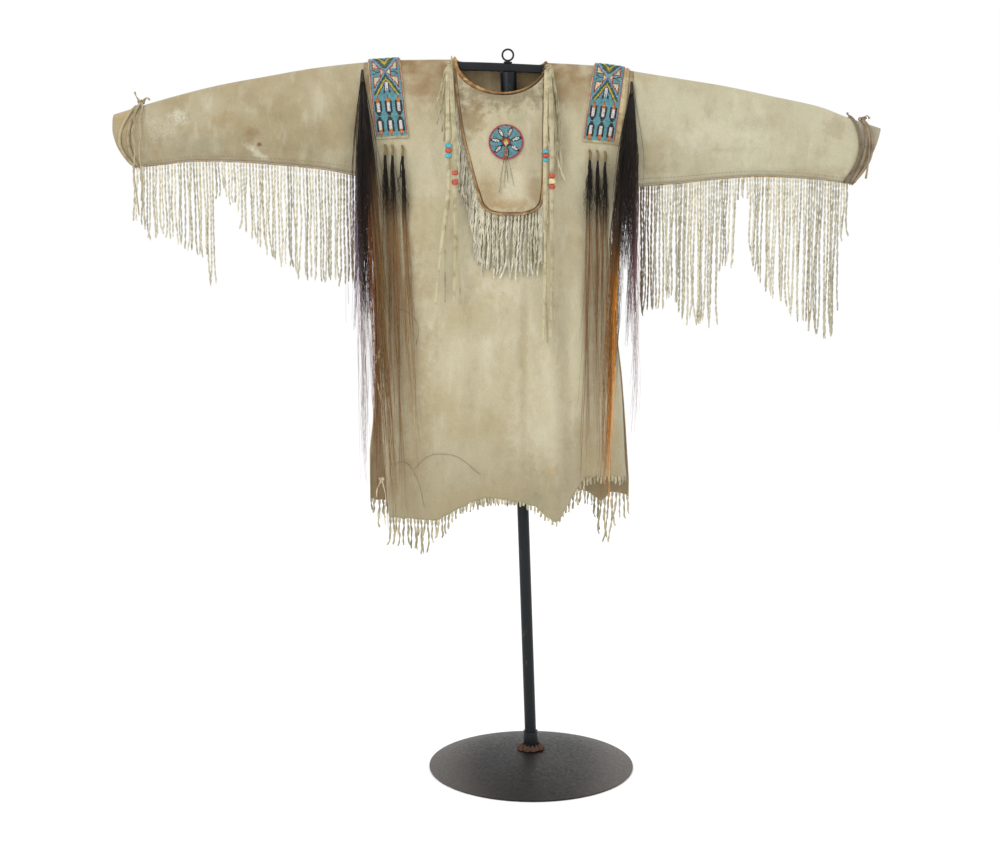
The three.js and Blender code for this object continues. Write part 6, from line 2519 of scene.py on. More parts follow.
@dataclass(frozen=True)
class BeadStrip:
    """One beaded shoulder strip: lanes of seed beads on a narrow hide."""

    side: Side
    beads_across: int = 31
    hide_layer: tuple[float, float] = (2.0, 3.4)
    bead_layer: tuple[float, float] = (4.1, 6.1)
    lanes: int = 4
    lane_height: float = 0.35
    row_pitch: float = 2.0
    stitches: int = 66  # along each edge of the hide

    def place(
        self, u: Array, along: Array, top: tuple[float, float], end: tuple[float, float], length: float
    ) -> Array:
        """Places points of the hide under the strip.

        Args:
            u: shares across, from left to right.
            along: millimetres from the ridge, negative in front.
            top: the strip's edges at the ridge.
            end: its edges at its ends.
            length: its length each way.

        Returns:
            The points.
        """
        run = np.abs(along)
        x = lerp(lerp(top[0], end[0], run / length), lerp(top[1], end[1], run / length), u)
        arc = RIDGE_R * math.pi / 2
        drop = np.where(run < arc, RIDGE_R * (1 - np.cos(run / RIDGE_R)), RIDGE_R + run - arc)
        z = SHOULDER(x) - drop
        y = np.where(along < 0, -FRONT.depth(x, z), BACK.depth(x, z))
        return np.stack([x, y, z], axis=-1)

    def raised(self, points: Array, height: Array | float) -> tuple[Array, Array]:
        """Moves a grid of points out of the shirt; gives it and the way out.

        Args:
            points: the points, in millimetres.
            height: how far to move each point.

        Returns:
            The moved points, and the direction that they moved in.
        """
        out = normals(points)
        middle = out[out.shape[0] // 4, out.shape[1] // 2]
        out = out if middle[1] < 0 else -out
        return points + out * np.asarray(height, float), out

    def build(self) -> None:
        """Builds the hide strip and the beadwork on it."""
        cut = STRIPS[self.side]
        length = cut.length + 4
        along = np.linspace(-length, length, 120)[:, None]
        u = np.linspace(0, 1, 15)[None, :]
        under = self.place(u, along, cut.hide_top, cut.hide_end, length)
        inner, _ = self.raised(under, self.hide_layer[0])
        wave = 0.5 * ripple(under[..., :1], under[..., 2:], 97, 10, 30)
        outer, _ = self.raised(under, self.hide_layer[1] + 0.15 * wave)
        hide = Patchwork()
        shell(hide, outer, inner)
        for edge in (1, -2):
            whip_stitches(hide, spline(outer[2:-2, edge], 200), 0.9, self.stitches, 0.4)
        node = f"strip_hide_{self.side.value}"
        hide.build(node + "_band", [PALETTE.band, PALETTE.sinew], "hide_brown", node)
        self.beadwork(cut)

    def beadwork(self, cut: StripCut) -> None:
        """Works the beads in rows across the strip.

        Args:
            cut: the strip's outline and place.
        """
        half = self.beads_across // 2
        width = cut.top[1] - cut.top[0]
        pitch = width / self.beads_across
        rows = int(cut.length / self.row_pitch)
        run = (np.arange(rows) + 0.5) * cut.length / rows
        along = np.concatenate([-run[::-1], run])[:, None]
        i = np.arange(-half, half + 1)[None, :]
        j = np.concatenate([np.arange(rows)[::-1], np.arange(rows)])[:, None]
        u = (i + half + 0.5) / self.beads_across
        base = self.place(u, along, cut.top, cut.end, cut.length)
        lane = np.abs(np.sin(math.pi * (i + half + 0.5) * self.lanes / self.beads_across))
        centre, out = self.raised(base, (self.bead_layer[0] + 0.75 + self.lane_height * lane)[..., None])
        across = unit(np.gradient(base, axis=1))
        out = unit(out - across * np.sum(out * across, axis=-1, keepdims=True))
        chart = strip_chart(i, j)
        rng = np.random.default_rng(53)
        kept = (j + 0 * i < rows - 1) | (rng.random(chart.shape) > 0.3)
        radius = np.array([pitch / 2 * 1.02, 0.95, 1.02])
        patch = Patchwork()
        lay_beads(patch, centre[kept], across[kept], out[kept], chart[kept], radius, 54)
        node = f"strip_beads_{self.side.value}"
        patch.build(node + "_rows", [PALETTE.seed], "beadwork", node)


@dataclass(frozen=True)
class Rosette:
    """The beaded disc on the bib, with its knotted pendant."""

    x: float = -56.0
    z: float = 1351.0
    radius: float = 36.0
    face: float = 11.2  # how far its back stands off the crowned front
    thickness: float = 3.0
    feathers: int = 7
    first_turn: float = 17.0
    rounds: int = 18  # circles of beads
    round_pitch: float = 2.02
    bead_pitch: float = 2.05

    def chart(self, radius: Array, angle: Array) -> Array:
        """Charts the disc's beads.

        Args:
            radius: how far each bead is from the centre.
            angle: how far round it is, in radians.

        Returns:
            The number of each bead's colour.
        """
        chart = np.full(radius.shape, number(Bead.TURQUOISE))
        share = 2 * math.pi / self.feathers
        turn = np.mod(angle - math.radians(self.first_turn) + share / 2, share) - share / 2
        off = np.abs(turn) * radius
        width = 2.6 * np.sin(math.pi * np.clip((radius - 12) / 20, 0, 1)) ** 0.8
        ring = (radius > 11) & (radius < 32)
        chart[ring & (off < width + 1.7)] = number(Bead.BLACK)
        chart[ring & (off < width) & (radius > 14) & (radius < 29)] = number(Bead.WHITE)
        chart[radius <= 10.2] = number(Bead.NAVY)
        chart[radius <= 8.2] = number(Bead.RED)
        chart[radius <= 5.2] = number(Bead.ORANGE)
        chart[radius <= 3.2] = number(Bead.YELLOW)
        chart[radius >= 33] = number(Bead.ROSE)
        return chart

    def on_face(self, x: Array, z: Array, height: float) -> Array:
        """Puts points at a height above the disc's back."""
        return np.stack([x, BIB.y(x, z) - self.face - height, z], axis=-1)

    def build(self) -> None:
        """Builds the disc, its beads and the pendant."""
        patch = Patchwork()
        turn = np.linspace(0, 2 * math.pi, 72, endpoint=False)[None, :]
        steps = np.array([[0.6], [12.0], [24.0], [self.radius]])
        x, z = self.x + steps * np.cos(turn), self.z + steps * np.sin(turn)
        shell(patch, self.on_face(x, z, 1.2), self.on_face(x, z, 0.0), wrap=True, finishes=(1, 1))
        centres, across, colours = [], [], []
        for k in range(self.rounds):
            radius = 1.0 + self.round_pitch * k
            many = max(1, round(2 * math.pi * radius / self.bead_pitch))
            angle = 2 * math.pi * (np.arange(many) + 0.5 * (k % 2)) / many
            bx, bz = self.x + radius * np.cos(angle), self.z + radius * np.sin(angle)
            centres.append(self.on_face(bx, bz, 1.95))
            across.append(np.stack([-np.sin(angle), 0 * angle, np.cos(angle)], axis=1))
            colours.append(self.chart(np.full(many, radius), angle))
        centres, across = np.vstack(centres), np.vstack(across)
        out = np.broadcast_to(np.array([0.0, -1.0, 0.0]), centres.shape)
        lay_beads(patch, centres, across, out, np.concatenate(colours), np.array([1.0, 0.98, 1.0]), 58)
        patch.build("rosette_beads", [PALETTE.seed, PALETTE.edge], "beadwork", "rosette")
        self.pendant()

    def pendant(self) -> None:
        """Builds the knot at the disc's centre, its thongs and their few red beads."""
        front = float(BIB.y(self.x, self.z)) - self.face - self.thickness - 2.4
        patch = Patchwork()
        shade = np.array([[0.98, 0.94, 0.8]])
        dusk = np.array([[0.42, 0.38, 0.27]])
        knot = knot_points((self.x, front - 0.5, 1347), 3.4)
        patch.loop(knot, 1.0, 1.0, 6, shade[0])
        tails = ((-70, 1247, 0.8), (-60, 1256, 0.7), (-52, 1268, 0.9), (-40, 1262, 0.7))
        centres, ways = [], []
        for k, (x, z, radius) in enumerate(tails):
            middle = (lerp(self.x, x, 0.25) + (1.5 if k % 2 else -1.5), front - 1.6, 1312)
            last = (x, float(BIB.y(x, z)) - self.face - 3.5, z)
            points = ((self.x, front, 1345), middle, (lerp(self.x, x, 0.7), front + 0.4, 1285), last)
            path = patch.strap(points, 40, (radius, radius * 0.75), 5, 26, dusk)
            if k in (0, 2):
                beads = evenly(path[4:15], 7)
                centres.append(beads)
                ways.append(unit(np.gradient(beads, axis=0)))
        centres, ways = np.vstack(centres), np.vstack(ways)
        out = unit(np.cross(ways, np.array([1.0, 0.0, 0.0])))
        beads = Patchwork()
        colours = np.resize([number(bead) for bead in (Bead.RED, Bead.RED, Bead.ORANGE)], len(centres))
        lay_beads(beads, centres, ways, out, colours, np.array([1.5, 1.75, 1.75]), 59)
        for points, faces, tint in zip(beads.points, beads.faces, beads.tints):
            patch.add(points, faces, 1, tint)
        finishes = [PALETTE.thong, PALETTE.seed]
        patch.build("rosette_pendant_thongs", finishes, "hide_fringe", "rosette_pendant")


@dataclass(frozen=True)
class LargeBead:
    """One large wound bead on a neck thong."""

    node: str
    x: float
    z: float
    half: float
    y: float = -92.0
    radius: float = 7.0
    bore: float = 3.6

    def build(self) -> None:
        """Turns the bead's rounded profile about its thong."""
        half = self.half - 0.2
        bend = np.linspace(-math.pi / 2, math.pi / 2, 13)
        corner = self.radius - self.bore
        outside = [(self.bore + corner * math.cos(b) ** 0.62, half * math.sin(b)) for b in bend]
        bore = [(self.bore, half * s) for s in (0.6, 0.2, -0.2, -0.6)]
        grid = turned(outside + bore, 30) + np.array([self.x, self.y, self.z])
        patch = Patchwork()
        patch.closed(grid)
        colour = next(c for c in ("turquoise", "red", "cream") if c in self.node)
        patch.build(self.node + "_glass", [getattr(PALETTE, colour)], "bead_" + colour, self.node)


@dataclass(frozen=True)
class NeckTassel:
    """Four thongs knotted at one end of the neck, with large beads on two of them; the second and fourth are thinner
    and darker, painted shadows beside the first and third.
    """

    side: Side
    knot: Point
    thongs: tuple[tuple[float, float, float], ...]  # x at the beads, then the end's x and z
    beads: tuple[tuple[str, float, float, float], ...]  # name, x, z and half length
    hang_y: float = -92.0
    wisps: tuple[tuple[Point, Point], ...] = ()
    steps: int = 170  # rings in each thong

    def build(self) -> None:
        """Builds the knot, the thongs and the beads."""
        patch = Patchwork()
        shade = np.array([[0.68, 0.635, 0.5]])
        x, y, z = self.knot
        for k, (size, drop) in enumerate(((5.6, 0), (4.4, -5))):
            knot = knot_points((x + 0.6 * k, y - 1 + 0.5 * k, z + drop), size, 40)
            patch.loop(knot, 2.1, 1.8, 8, shade[0] * 0.9)
        for i, (bead_x, end_x, end_z) in enumerate(self.thongs):
            start = (x + (i - 1.5) * 2, y - 3, z - 6)
            out = (lerp(start[0], bead_x, 0.5), lerp(self.hang_y, start[1], 0.25), 1440)
            low = lerp(1250, end_z, 0.45)
            points = (
                start, out, (bead_x, self.hang_y, 1350), (bead_x, self.hang_y, 1250),
                (lerp(bead_x, end_x, 0.6) + (-1) ** i * 3, self.hang_y + 3, low),
                (end_x, self.hang_y + 8, end_z),
            )
            path = spline(points, self.steps)
            # Thongs 1 and 3 are painted shadows: thinner, tinted darker and hung just beside thongs 0 and 2.
            plain = 1.0 if i in (0, 2) else 0.7
            heights, widths = (end_z, 1240, 1250, 1350, 1370, 1440), (3.0, 4.3, 3.9, 3.9, 4.8, 5.2)
            radius = np.interp(path[:, 2], heights, widths) * plain
            turn = 0.7 * np.sin(np.linspace(0, 9, self.steps) + 2 * i)
            turn = turn * smoothstep(np.abs(path[:, 2] - 1300), 60, 110)
            rings = rings_along(path[None], radius, radius * 0.36, 6, turn)
            patch.tubes(rings, tint=shade * (0.99, 0.74, 0.93, 0.78)[i])
        for start, end in self.wisps:
            bow = lerp(np.array(start), np.array(end), 0.5) + (1.5, -2, 0)
            patch.strap((start, bow, end), 30, (2.4, 1.2), 4, 9, shade * 0.9)
        node = f"neck_tassel_{self.side.value}"
        patch.build(node + "_thongs", [PALETTE.thong], "hide_fringe", node, 50.0)
        for name, bead_x, bead_z, half in self.beads:
            LargeBead(f"bead_{self.side.value}_{name}", bead_x, bead_z, half).build()


NECK_TASSELS = (
    NeckTassel(
        Side.LEFT, (-173, -34, 1511),
        ((-175.2, -203, 1018), (-172, -182, 1022), (-162.2, -164, 1026), (-159, -150, 1019)),
        (
            ("turquoise_upper", -173.6, 1342, 4.6), ("red_middle", -173.6, 1332, 4.6),
            ("turquoise_lower", -173.6, 1322, 4.6), ("red_upper", -160.6, 1287, 4.6),
            ("red_lower", -160.6, 1268, 5.6),
        ),
        wisps=(
            ((-178, -42, 1504), (-198, -62, 1388)), ((-180, -40, 1504), (-192, -60, 1408)),
            ((-176, -42, 1502), (-184, -66, 1352)), ((-172, -36, 1508), (-169, -14, 1530)),
            ((-182, -40, 1500), (-202, -58, 1418)), ((-176, -44, 1500), (-188, -68, 1372)),
        ),
    ),
    NeckTassel(
        Side.RIGHT, (31, -35, 1505),
        ((23.4, 21, 946), (26.6, 30, 938), (36.4, 36, 944), (39.6, 46, 940)),
        (
            ("turquoise_upper", 25, 1330, 3.4), ("red_middle", 25, 1321.6, 4.2),
            ("turquoise_lower", 25, 1313, 3.4), ("red_upper", 38, 1281, 4.6),
            ("cream_middle", 38, 1270, 5.6), ("red_lower", 38, 1259, 4.6),
        ),
        wisps=(
            ((36, -42, 1500), (46, -76, 1330)), ((38, -42, 1500), (57, -76, 1300)),
            ((34, -44, 1500), (51, -80, 1285)), ((37, -42, 1502), (54, -70, 1370)),
            ((39, -42, 1500), (61, -74, 1345)), ((36, -44, 1500), (44, -84, 1270)),
        ),
    ),
)


# ---- hair
@dataclass(frozen=True)
class Strand:
    """One bundle in a lock: where it hangs, how thick it is and the colour of its lower end."""

    middle: Point
    end: Point
    radius: float
    tip: str
    fade: tuple[float, float] = (150, 360)  # below the root, where black turns to that colour


HAIR_ROOT = linear("#0e0b0b")[:3]
HAIR_STEPS = 18  # points in each hair


def hair_paths(
    start: Array, middle: Array, third: Array, end: Array, clump: Array, rng: np.random.Generator
) -> Array:
    """Hangs hairs in smooth lines from start to end, past two points between.

    Args:
        start: where they begin.
        middle: where they are drawn to first.
        third: where they are drawn to next.
        end: where they end.
        clump: the number of the clump that each one hangs in.
        rng: the source of their unevenness.

    Returns:
        The hairs' lines.
    """
    t = np.linspace(0, 1, HAIR_STEPS)[None, :, None]
    s = 1 - t
    controls = [np.asarray(c, float)[:, None] for c in (start, middle, third, end)]
    shares = (s**3, 3 * s * s * t, 3 * s * t * t, t**3)
    line = sum(share * control for share, control in zip(shares, controls))
    clumps = int(clump.max()) + 1
    for axis, size in ((0, 4.2), (1, 1.2)):
        phase = rng.uniform(0, 2 * math.pi, (clumps, 1))[clump] + rng.normal(0, 0.25, (len(clump), 1))
        turns = rng.uniform(0.8, 3.0, (clumps, 1))[clump]
        sway = np.sin(2 * math.pi * turns * t[..., 0] + phase) - np.sin(phase)
        line[..., axis] += size * sway * t[..., 0]
    return line


def wound(path: Array, shares: Sequence[float], widths: Sequence[float], lumps: Array, sides: int) -> Array:
    """Gives the rings of the thread wound round a lock's head.

    Args:
        path: the head's middle line.
        shares: places along it, from 0 to 1.
        widths: the radius at each of those places.
        lumps: what each ring's radius differs by.
        sides: how many sides the rings have.

    Returns:
        The rings.
    """
    radius = np.interp(np.linspace(0, 1, len(path)), shares, widths) + lumps
    return rings_along(path[None], radius, radius, sides)


@dataclass(frozen=True)
class HairLock:
    """A long lock that hangs from the lower end of a strip's seam."""

    side: Side
    root: Point
    bundles: tuple[Strand, ...]
    hairs: int = 720
    radius: float = 0.36  # real hair is a third of this, drawn thicker so that it shows
    strays: int = 18
    clumps: int = 64

    def build(self) -> None:
        """Builds the wrapped head and every hair."""
        rng = np.random.default_rng(130 + len(self.side.value))
        top = np.array(self.root, float)
        low = top + (0, -8, -26)
        patch = Patchwork()
        weights = np.array([b.radius**1.6 for b in self.bundles])
        picked = rng.choice(len(self.bundles), self.hairs, p=weights / weights.sum())
        middle = np.array([b.middle for b in self.bundles], float)[picked]
        end = np.array([b.end for b in self.bundles], float)[picked]
        wide = np.array([b.radius for b in self.bundles])[picked][:, None]
        wide[: self.strays] *= 3.2
        kinds = len(self.bundles)
        clump = rng.integers(0, self.clumps, self.hairs) // kinds * kinds + picked
        gather = rng.normal(0, 1, (int(clump.max()) + 1, 3))

        def spread(size: Array | float) -> Array:
            """Scatters the hairs across, and less in depth, in clumps that keep close."""
            own = rng.normal(0, 1, (self.hairs, 3))
            return (0.9 * gather[clump] + 0.35 * own) * (1.0, 0.7, 0.0) * size

        start = lerp(top, low, rng.uniform(0.5, 1.0, (self.hairs, 1))) + spread(1.5)
        centre = middle + spread(wide * 0.85 + 1.0)
        reach = 0.25 + 0.76 * rng.beta(1.7, 1.3, (self.hairs, 1))
        last = lerp(middle, end, reach) + spread(wide * 0.6 + 2.5)
        third = lerp(centre, last, 0.45) + spread(1.5)
        paths = hair_paths(start, centre, third, last, clump, rng)
        t = np.linspace(0, 1, HAIR_STEPS)
        radius = self.radius * (1 - 0.5 * t)[None] * rng.uniform(0.8, 1.3, (self.hairs, 1))
        tips = np.array([linear(b.tip)[:3] for b in self.bundles])[picked]
        tips = tips * rng.uniform(0.6, 1.25, (self.hairs, 1))
        fade = np.array([b.fade for b in self.bundles], float)[picked]
        drop = (top[2] - paths[..., 2] - fade[:, :1]) / (fade[:, 1:] - fade[:, :1])
        share = smoothstep(drop, 0, 1) * rng.uniform(0.6, 1.0, (self.hairs, 1))
        tint = lerp(np.array(HAIR_ROOT), tips[:, None], share[..., None])
        patch.tubes(rings_along(paths, radius, radius, 3), tint=tint)
        head = spline((top, lerp(top, low, 0.5) + (0, -1.5, 0), low), 26)
        wrap = wound(head, (0, 0.3, 1), (2.4, 3.4, 4.6), 0.4 * np.sin(np.arange(26) * 1.9), 10)
        patch.tubes(wrap, tint=np.array([[0.018, 0.012, 0.009]]))
        if self.side is Side.LEFT:
            patch.tubes(stray_hairs(), tint=np.array([linear("#4a3524")[:3]]))
        patch.build(f"hair_lock_{self.side.value}", [PALETTE.hair], "hair", f"hair_big_{self.side.value}")


HAIR_LOCKS = (
    HairLock(
        Side.LEFT, (-353, -34, 1500),
        (
            Strand((-364, -66, 1330), (-371, -60, 960), 4.6, "#a593a6"),
            Strand((-349, -72, 1310), (-342, -68, 980), 8, "#2a1f1b"),
            Strand((-334, -66, 1320), (-304, -72, 800), 5, "#866642"),
            Strand((-356, -58, 1260), (-361, -30, 600), 3.0, "#b0868c"),
            Strand((-338, -78, 1240), (-318, -74, 520), 3.6, "#8f5129"),
            Strand((-326, -74, 1230), (-290, -78, 530), 4.6, "#a58153"),
        ),
    ),
    HairLock(
        Side.RIGHT, (204, -34, 1476),
        (
            Strand((213, -66, 1310), (202, -60, 930), 5, "#7a5a5e"),
            Strand((198, -72, 1330), (194, -72, 1090), 8, "#281d19"),
            Strand((178, -66, 1320), (164, -72, 820), 6, "#5a4632"),
            Strand((210, -58, 1230), (214, -50, 730), 3.0, "#b58a90"),
            Strand((168, -78, 1150), (160, -80, 580), 3.8, "#f0a03a", (310, 450)),
            Strand((163, -78, 1170), (152, -78, 600), 3.0, "#a8743c", (260, 420)),
        ),
    ),
)


STRAY_HAIRS = (
    ((-304, 673), (-272, 680), (-247, 647), (-230, 584)),
    ((-253, 664), (-217, 696), (-164, 697), (-110, 656)),
    ((-290, 1010), (-262, 1000), (-240, 970), (-246, 930)),
)


def stray_hairs() -> Array:
    """Gives the rings of the few long hairs that lie curled on the front.

    Returns:
        A ring of points for each step of each hair.
    """
    paths = []
    for line in STRAY_HAIRS:
        flat = spline([(x, 0.0, z) for x, z in line], 40)
        flat[:, 1] = FRONT.surface(flat[:, 0], flat[:, 2]) - 1.0
        paths.append(flat)
    return rings_along(np.array(paths), 0.3, 0.3, 3)


@dataclass(frozen=True)
class SmallLock:
    """A short wrapped lock sewn along the lower end of a beaded strip."""

    node: str
    x: float
    z: float
    end_x: float
    reach: float
    hairs: int = 96
    clumps: int = 15

    def build(self) -> None:
        """Builds the wrapped head and the hairs."""
        rng = np.random.default_rng(int(abs(self.x)))
        y = float(-FRONT.depth(self.x, self.z)) - 4
        top, low = np.array((self.x, y, self.z)), np.array((self.x + 1, y - 1, self.z - 22))
        clump = rng.integers(0, self.clumps, self.hairs)
        long = (clump % 5 < 2)[:, None]
        each = (self.hairs, 1)
        bottom = np.where(long, rng.uniform(self.reach, self.reach + 420, each), rng.normal(1216, 22, each))
        drop = self.z - bottom
        fall = drop / (self.z - self.reach)
        spread = 0.95 * rng.normal(0, 1, (self.clumps, 1))[clump] + 0.2 * rng.normal(0, 1, each)
        end_x = lerp(self.x + 1, self.end_x, fall) + spread * np.where(long, 11.0, 6.5)
        end = np.hstack([end_x, np.full_like(end_x, y - 10), bottom])
        start = low + rng.normal(0, 0.9, (self.hairs, 3)) * (1, 0.8, 0) + (0, 0, 5)
        belly = start + np.hstack([spread * 3.2, rng.normal(-5, 1.5, each), -np.minimum(drop, 200) * 0.4])
        paths = hair_paths(start, belly, lerp(belly, end, 0.5), end, clump, rng)
        face = FRONT.surface(paths[..., 0], paths[..., 2]) - 2.5
        gap = rng.uniform(0, 7, (self.hairs, 1))
        paths[..., 1] = np.minimum(paths[..., 1], face - gap)
        t = np.linspace(0, 1, HAIR_STEPS)[None]
        radius = 0.34 * (1 - 0.5 * t) * rng.uniform(0.8, 1.2, (self.hairs, 1))
        share = smoothstep(self.z - paths[..., 2], 95, 200)[..., None]
        brown = np.array(linear("#9c7448")[:3]) * rng.uniform(0.6, 1.25, (self.hairs, 1, 1))
        tint = lerp(np.array(HAIR_ROOT), brown, share)
        patch = Patchwork()
        patch.tubes(rings_along(paths, radius, radius, 3), tint=tint)
        head = spline((top, lerp(top, low, 0.4) + (1.6, -0.6, 0), low), 30)
        wrap = wound(head, (0, 0.25, 1), (1.8, 2.8, 3.2), 0.3 * np.sin(np.arange(30) * 2.2), 8)
        patch.tubes(wrap, finish=1, tint=np.array([[0.3, 0.235, 0.115]]))
        patch.build(self.node + "_wrapped", [PALETTE.hair, PALETTE.thong], "hair", self.node)


SMALL_LOCKS = (
    SmallLock("hair_small_left_1", -308, 1348, -304, 610),
    SmallLock("hair_small_left_2", -293, 1347, -277, 560),
    SmallLock("hair_small_left_3", -272, 1346, -250, 620),
    SmallLock("hair_small_right_1", 117, 1337, 123, 620),
    SmallLock("hair_small_right_2", 133, 1336, 144, 600),
    SmallLock("hair_small_right_3", 149, 1334, 158, 640),
)


# ---- stand
@dataclass(frozen=True)
class Stand:
    """The T stand: a domed foot, a leaning pole and a bar along the shoulders."""

    lean: float = math.radians(2.01)
    base_radius: float = 224.0
    base_edge: float = 4.0
    base_height: float = 38.0
    pole_radius: float = 12.5
    socket_radius: float = 17.0
    socket_length: float = 110.0
    collar_radius: float = 16.0
    collar_height: float = 40.0
    weld_radius: float = 30.0
    weld_height: float = 12.0
    bar_depth: float = 12.0
    bar_height: float = 17.0
    bar_drop: float = 5.0
    bar_from: float = -815.0
    bar_to: float = 668.0
    ring_radius: float = 11.5
    ring_wire: float = 2.0
    nut_radius: float = 9.0
    nut_height: float = 3.2

    @property
    def pole_x(self) -> float:
        """Where the pole meets the bar."""
        return -math.tan(self.lean) * (float(SHOULDER(CUT.neck_x)) - self.base_height)

    @property
    def pole_top(self) -> float:
        """The pole's top, measured before it leans."""
        rise = float(SHOULDER(self.pole_x)) - self.bar_drop - self.bar_height - 1.7 - self.base_height
        return rise / math.cos(self.lean) + self.base_height

    def leaning(self, points: Array) -> Array:
        """Leans points with the pole, about the middle of the foot's top.

        Args:
            points: the points, in millimetres.

        Returns:
            The moved points.
        """
        up = points[..., 2] - self.base_height
        x = points[..., 0] * math.cos(self.lean) - up * math.sin(self.lean)
        z = points[..., 0] * math.sin(self.lean) + up * math.cos(self.lean) + self.base_height
        return np.stack([x, points[..., 1], z], axis=-1)

    def solid(
        self, name: str, grid: Array, finish: bpy.types.Material, node: str, smooth: float = 40.0,
        slot: str = "stand_black",
    ) -> None:
        """Builds one piece of the stand.

        Args:
            name: the piece's name.
            grid: its points, closed both ways.
            finish: its material.
            node: the node that it stands for.
            smooth: edges that turn by less than this many degrees are shaded smooth.
            slot: the finish's slot in the record.
        """
        patch = Patchwork()
        patch.closed(grid)
        patch.build(name, [finish], slot, node, smooth)

    def pipe(self, inner: float, outer: float, low: float, high: float) -> list[tuple[float, float]]:
        """Gives a pipe's closed profile with eased edges.

        Args:
            inner: the radius of the bore.
            outer: the radius outside.
            low: the height of the lower end.
            high: the height of the upper end.

        Returns:
            The radius and height of each point.
        """
        ease = 0.8
        return [
            (inner, low), (outer - ease, low), (outer - 0.25 * ease, low + 0.25 * ease),
            (outer, low + ease), (outer, high - ease), (outer - 0.25 * ease, high - 0.25 * ease),
            (outer - ease, high), (inner, high),
        ]

    def base(self) -> None:
        """Turns the domed foot, with a rounded rim."""
        t = np.linspace(0, 1, 30)
        radius = self.base_radius * (1 - t)
        height = self.base_edge + (self.base_height - self.base_edge) * (2 * t - t * t)
        dome = list(zip(radius, height))
        rim = [(self.base_radius - 1.5, 0.0), (self.base_radius - 0.3, 0.8), (self.base_radius, 2.0)]
        grid = turned([(0.02, 0.0), (120.0, 0.0)] + rim + dome[:-1] + [(0.02, self.base_height)], 128)
        self.solid("stand_foot", grid, PALETTE.base, "stand_base")

    def weld(self) -> None:
        """Lays the lumpy weld round the collar's foot."""
        foot = self.base_height + 1
        inner = self.collar_radius + SEAM
        turn = np.linspace(0, 2 * math.pi, 72, endpoint=False)
        rng = np.random.default_rng(17)
        lumps = 1 + 0.16 * np.sin(9 * turn + 0.6) + 0.1 * np.sin(17 * turn) + 0.09 * rng.normal(0, 1, 72)
        profile = [(0.0, 0.0), (0.92, 0.0), (1.0, 0.18), (0.82, 0.42), (0.5, 0.62), (0.28, 0.9), (0.0, 1.0)]
        rows = []
        for angle, lump in zip(turn, lumps):
            ring = []
            for out, up in profile:
                radius = inner + (self.weld_radius - inner) * out * min(1.1, lump)
                rise = foot + self.weld_height * up * (0.8 + 0.25 * math.sin(13 * angle + 5 * out))
                ring.append((radius * math.cos(angle), radius * math.sin(angle), rise))
            rows.append(ring)
        grid = self.leaning(np.array(rows))
        self.solid("stand_weld_bead", grid, PALETTE.weld, "stand_weld", 180.0, "stand_weld")

    def bar(self) -> None:
        """Bends the flat bar along the shoulders, with eased edges."""
        x = np.linspace(self.bar_from, self.bar_to, 110)
        z = SHOULDER(x) - self.bar_drop
        ease = 1.6
        y0, h = self.bar_depth / 2, self.bar_height
        section = [
            (-y0 + ease, 0), (-y0 + 0.3 * ease, -0.3 * ease), (-y0, -ease), (-y0, -h + ease),
            (-y0 + 0.3 * ease, -h + 0.3 * ease), (-y0 + ease, -h),
        ]
        section += [(-y, dz) for y, dz in reversed(section)]
        rings = np.array([[(at, y, high + dz) for y, dz in section] for at, high in zip(x, z)])
        patch = Patchwork()
        patch.tubes(rings[None])
        patch.build("stand_bar", [PALETTE.bar], "stand_black", "stand_crossbar", 50.0)

    def top_fittings(self) -> None:
        """Builds the nut and the ring on top of the bar."""
        seat = float(SHOULDER(self.pole_x)) - self.bar_drop

        def on_bar(points: Array, height: float) -> Array:
            """Tilts points with the pole and sets them on the bar.

            Args:
                points: the points, in millimetres.
                height: how far above the bar's middle to set them.

            Returns:
                The moved points.
            """
            x = points[..., 0] * math.cos(self.lean) + points[..., 2] * math.sin(self.lean)
            z = -points[..., 0] * math.sin(self.lean) + points[..., 2] * math.cos(self.lean)
            return np.stack([x + self.pole_x, points[..., 1], z + seat + height], axis=-1)

        half = self.nut_height / 2
        nut = [(0.02, -half), (self.nut_radius - 0.6, -half), (self.nut_radius, -half + 0.6)]
        nut += [(self.nut_radius, half - 0.6), (self.nut_radius - 0.6, half), (0.02, half)]
        self.solid("stand_nut_disc", on_bar(turned(nut, 36), 0.4 + half), PALETTE.bar, "stand_nut")
        turn = np.linspace(0, 2 * math.pi, 56, endpoint=False)
        ring = self.ring_radius * np.stack([np.cos(turn), 0 * turn, np.sin(turn)], axis=1)
        wire = np.linspace(0, 2 * math.pi, 12, endpoint=False)
        out = unit(ring)[:, None]
        cos, sin = np.cos(wire)[None, :, None], np.sin(wire)[None, :, None]
        tube = ring[:, None] + self.ring_wire * (cos * out + sin * (0, 1, 0))
        height = 0.7 + self.nut_height + self.ring_wire + self.ring_radius
        self.solid("stand_ring_wire", on_bar(tube, height), PALETTE.bar, "stand_ring", 180.0)

    def build(self) -> None:
        """Builds every piece of the stand."""
        foot, top = self.base_height + 1, self.pole_top
        bore = self.pole_radius + SEAM
        pole = [(0.02, foot), (self.pole_radius, foot), (self.pole_radius, top), (0.02, top)]
        collar = self.pipe(bore, self.collar_radius, foot, foot + self.collar_height)
        socket = self.pipe(bore, self.socket_radius, top - self.socket_length, top)
        self.base()
        for name, profile, node in (
            ("stand_post", pole, "stand_pole"),
            ("stand_collar_pipe", collar, "stand_collar"),
            ("stand_socket_pipe", socket, "stand_socket"),
        ):
            self.solid(name, self.leaning(turned(profile, 64)), PALETTE.pole, node)
        self.weld()
        self.bar()
        self.top_fittings()


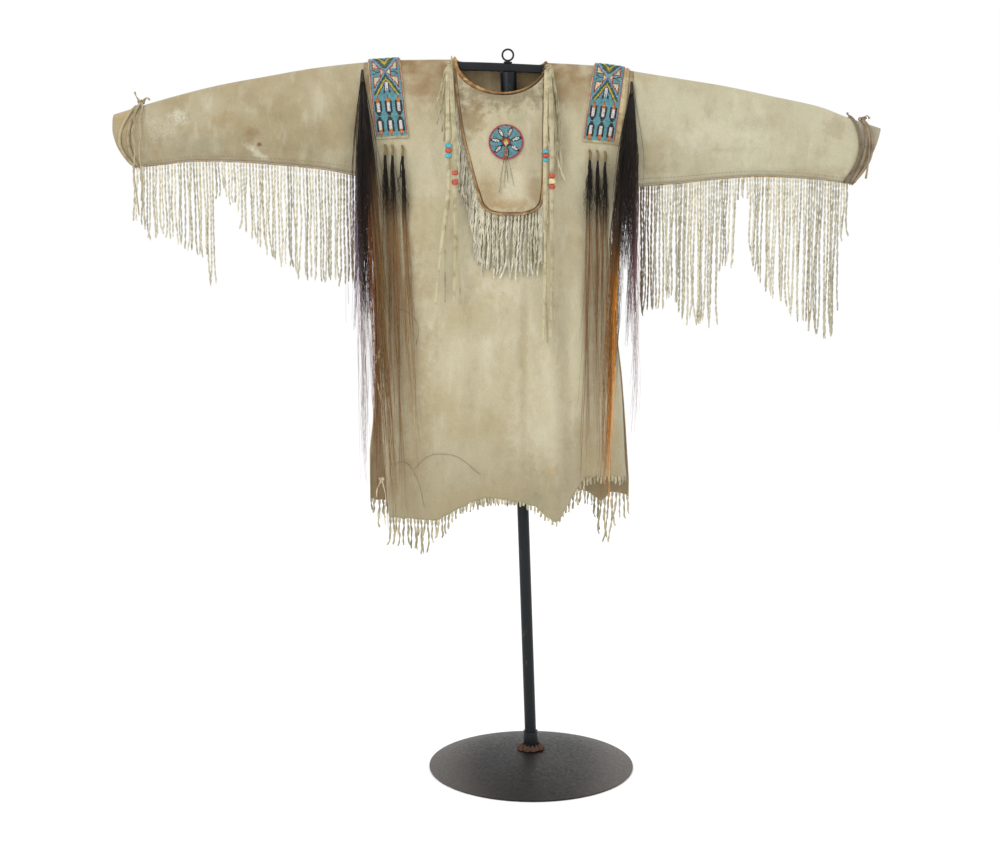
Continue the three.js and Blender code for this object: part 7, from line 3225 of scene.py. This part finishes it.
# ---- the whole
def declare_sheets(pieces: dict[str, bpy.types.Object]) -> None:
    """Declares each hide as a sheet, with the size that it was cut to.

    Args:
        pieces: each hide by its name.
    """
    sizes = {
        "front": ((0.56, 0.98), 0.49, ["stand_bar"]),
        "back": ((0.58, 0.94), 0.50, ["stand_bar"]),
        "sleeve_left": ((0.53, 0.42), 0.19, ["stand_bar"]),
        "sleeve_right": ((0.49, 0.44), 0.18, ["stand_bar"]),
        "cuff_right": ((0.065, 0.27), 0.0099, ["stand_bar"]),
        "bib": ((0.19, 0.31), 0.036, ["front_hide"]),
    }
    for name, (flat, area, rests_on) in sizes.items():
        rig.sheet(pieces[name], flat=flat, held="hung", rests_on=rests_on, area=area)


def main() -> None:
    """Builds the studio, the shirt and its stand in order."""
    logging.basicConfig(level=logging.INFO, format="%(message)s")
    Studio().build()
    for end in LOOSE_ENDS:
        end.build()
    pieces: dict[str, bpy.types.Object] = {}
    for panel, hem_fringe in zip((FRONT, BACK), HEM_FRINGES):
        hide = HidePanel(panel)
        pieces[panel.face.name.lower()] = hide.build()
        hem_fringe.build(hide.outer()[-1])
    left, right = SLEEVES[Side.LEFT], SLEEVES[Side.RIGHT]
    pieces["sleeve_left"] = Sleeve(left, "sleeve_left").build(PALETTE.sleeve_left)
    pieces["sleeve_right"] = Sleeve(right, "sleeve_right", end=cuff_join).build(PALETTE.sleeve_right)
    cuff = Sleeve(right, "cuff_right", start=lambda share: cuff_join(share) + CUFF_GAP, rows=18)
    pieces["cuff_right"] = cuff.build(PALETTE.cuff)
    for side in Side:
        SleeveFringe(side).build()
        BeadStrip(side).build()
    pieces["bib"] = Bib().build()
    NeckRoll().build()
    BibFringe().build()
    Rosette().build()
    for part in (*NECK_TASSELS, *HAIR_LOCKS, *SMALL_LOCKS, *CUFF_TIES, *SIDE_KNOTS):
        part.build()
    Stand().build()
    declare_sheets(pieces)
    boxes = {"cad": CAD_BOX, "visual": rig.bounds()}
    sizes = {name: [[float(c) for c in corner] for corner in box] for name, box in boxes.items()}
    with open(SIZE_FILE, "w", encoding="utf-8") as report:
        json.dump(sizes, report)


if __name__ == "__main__":
    main()
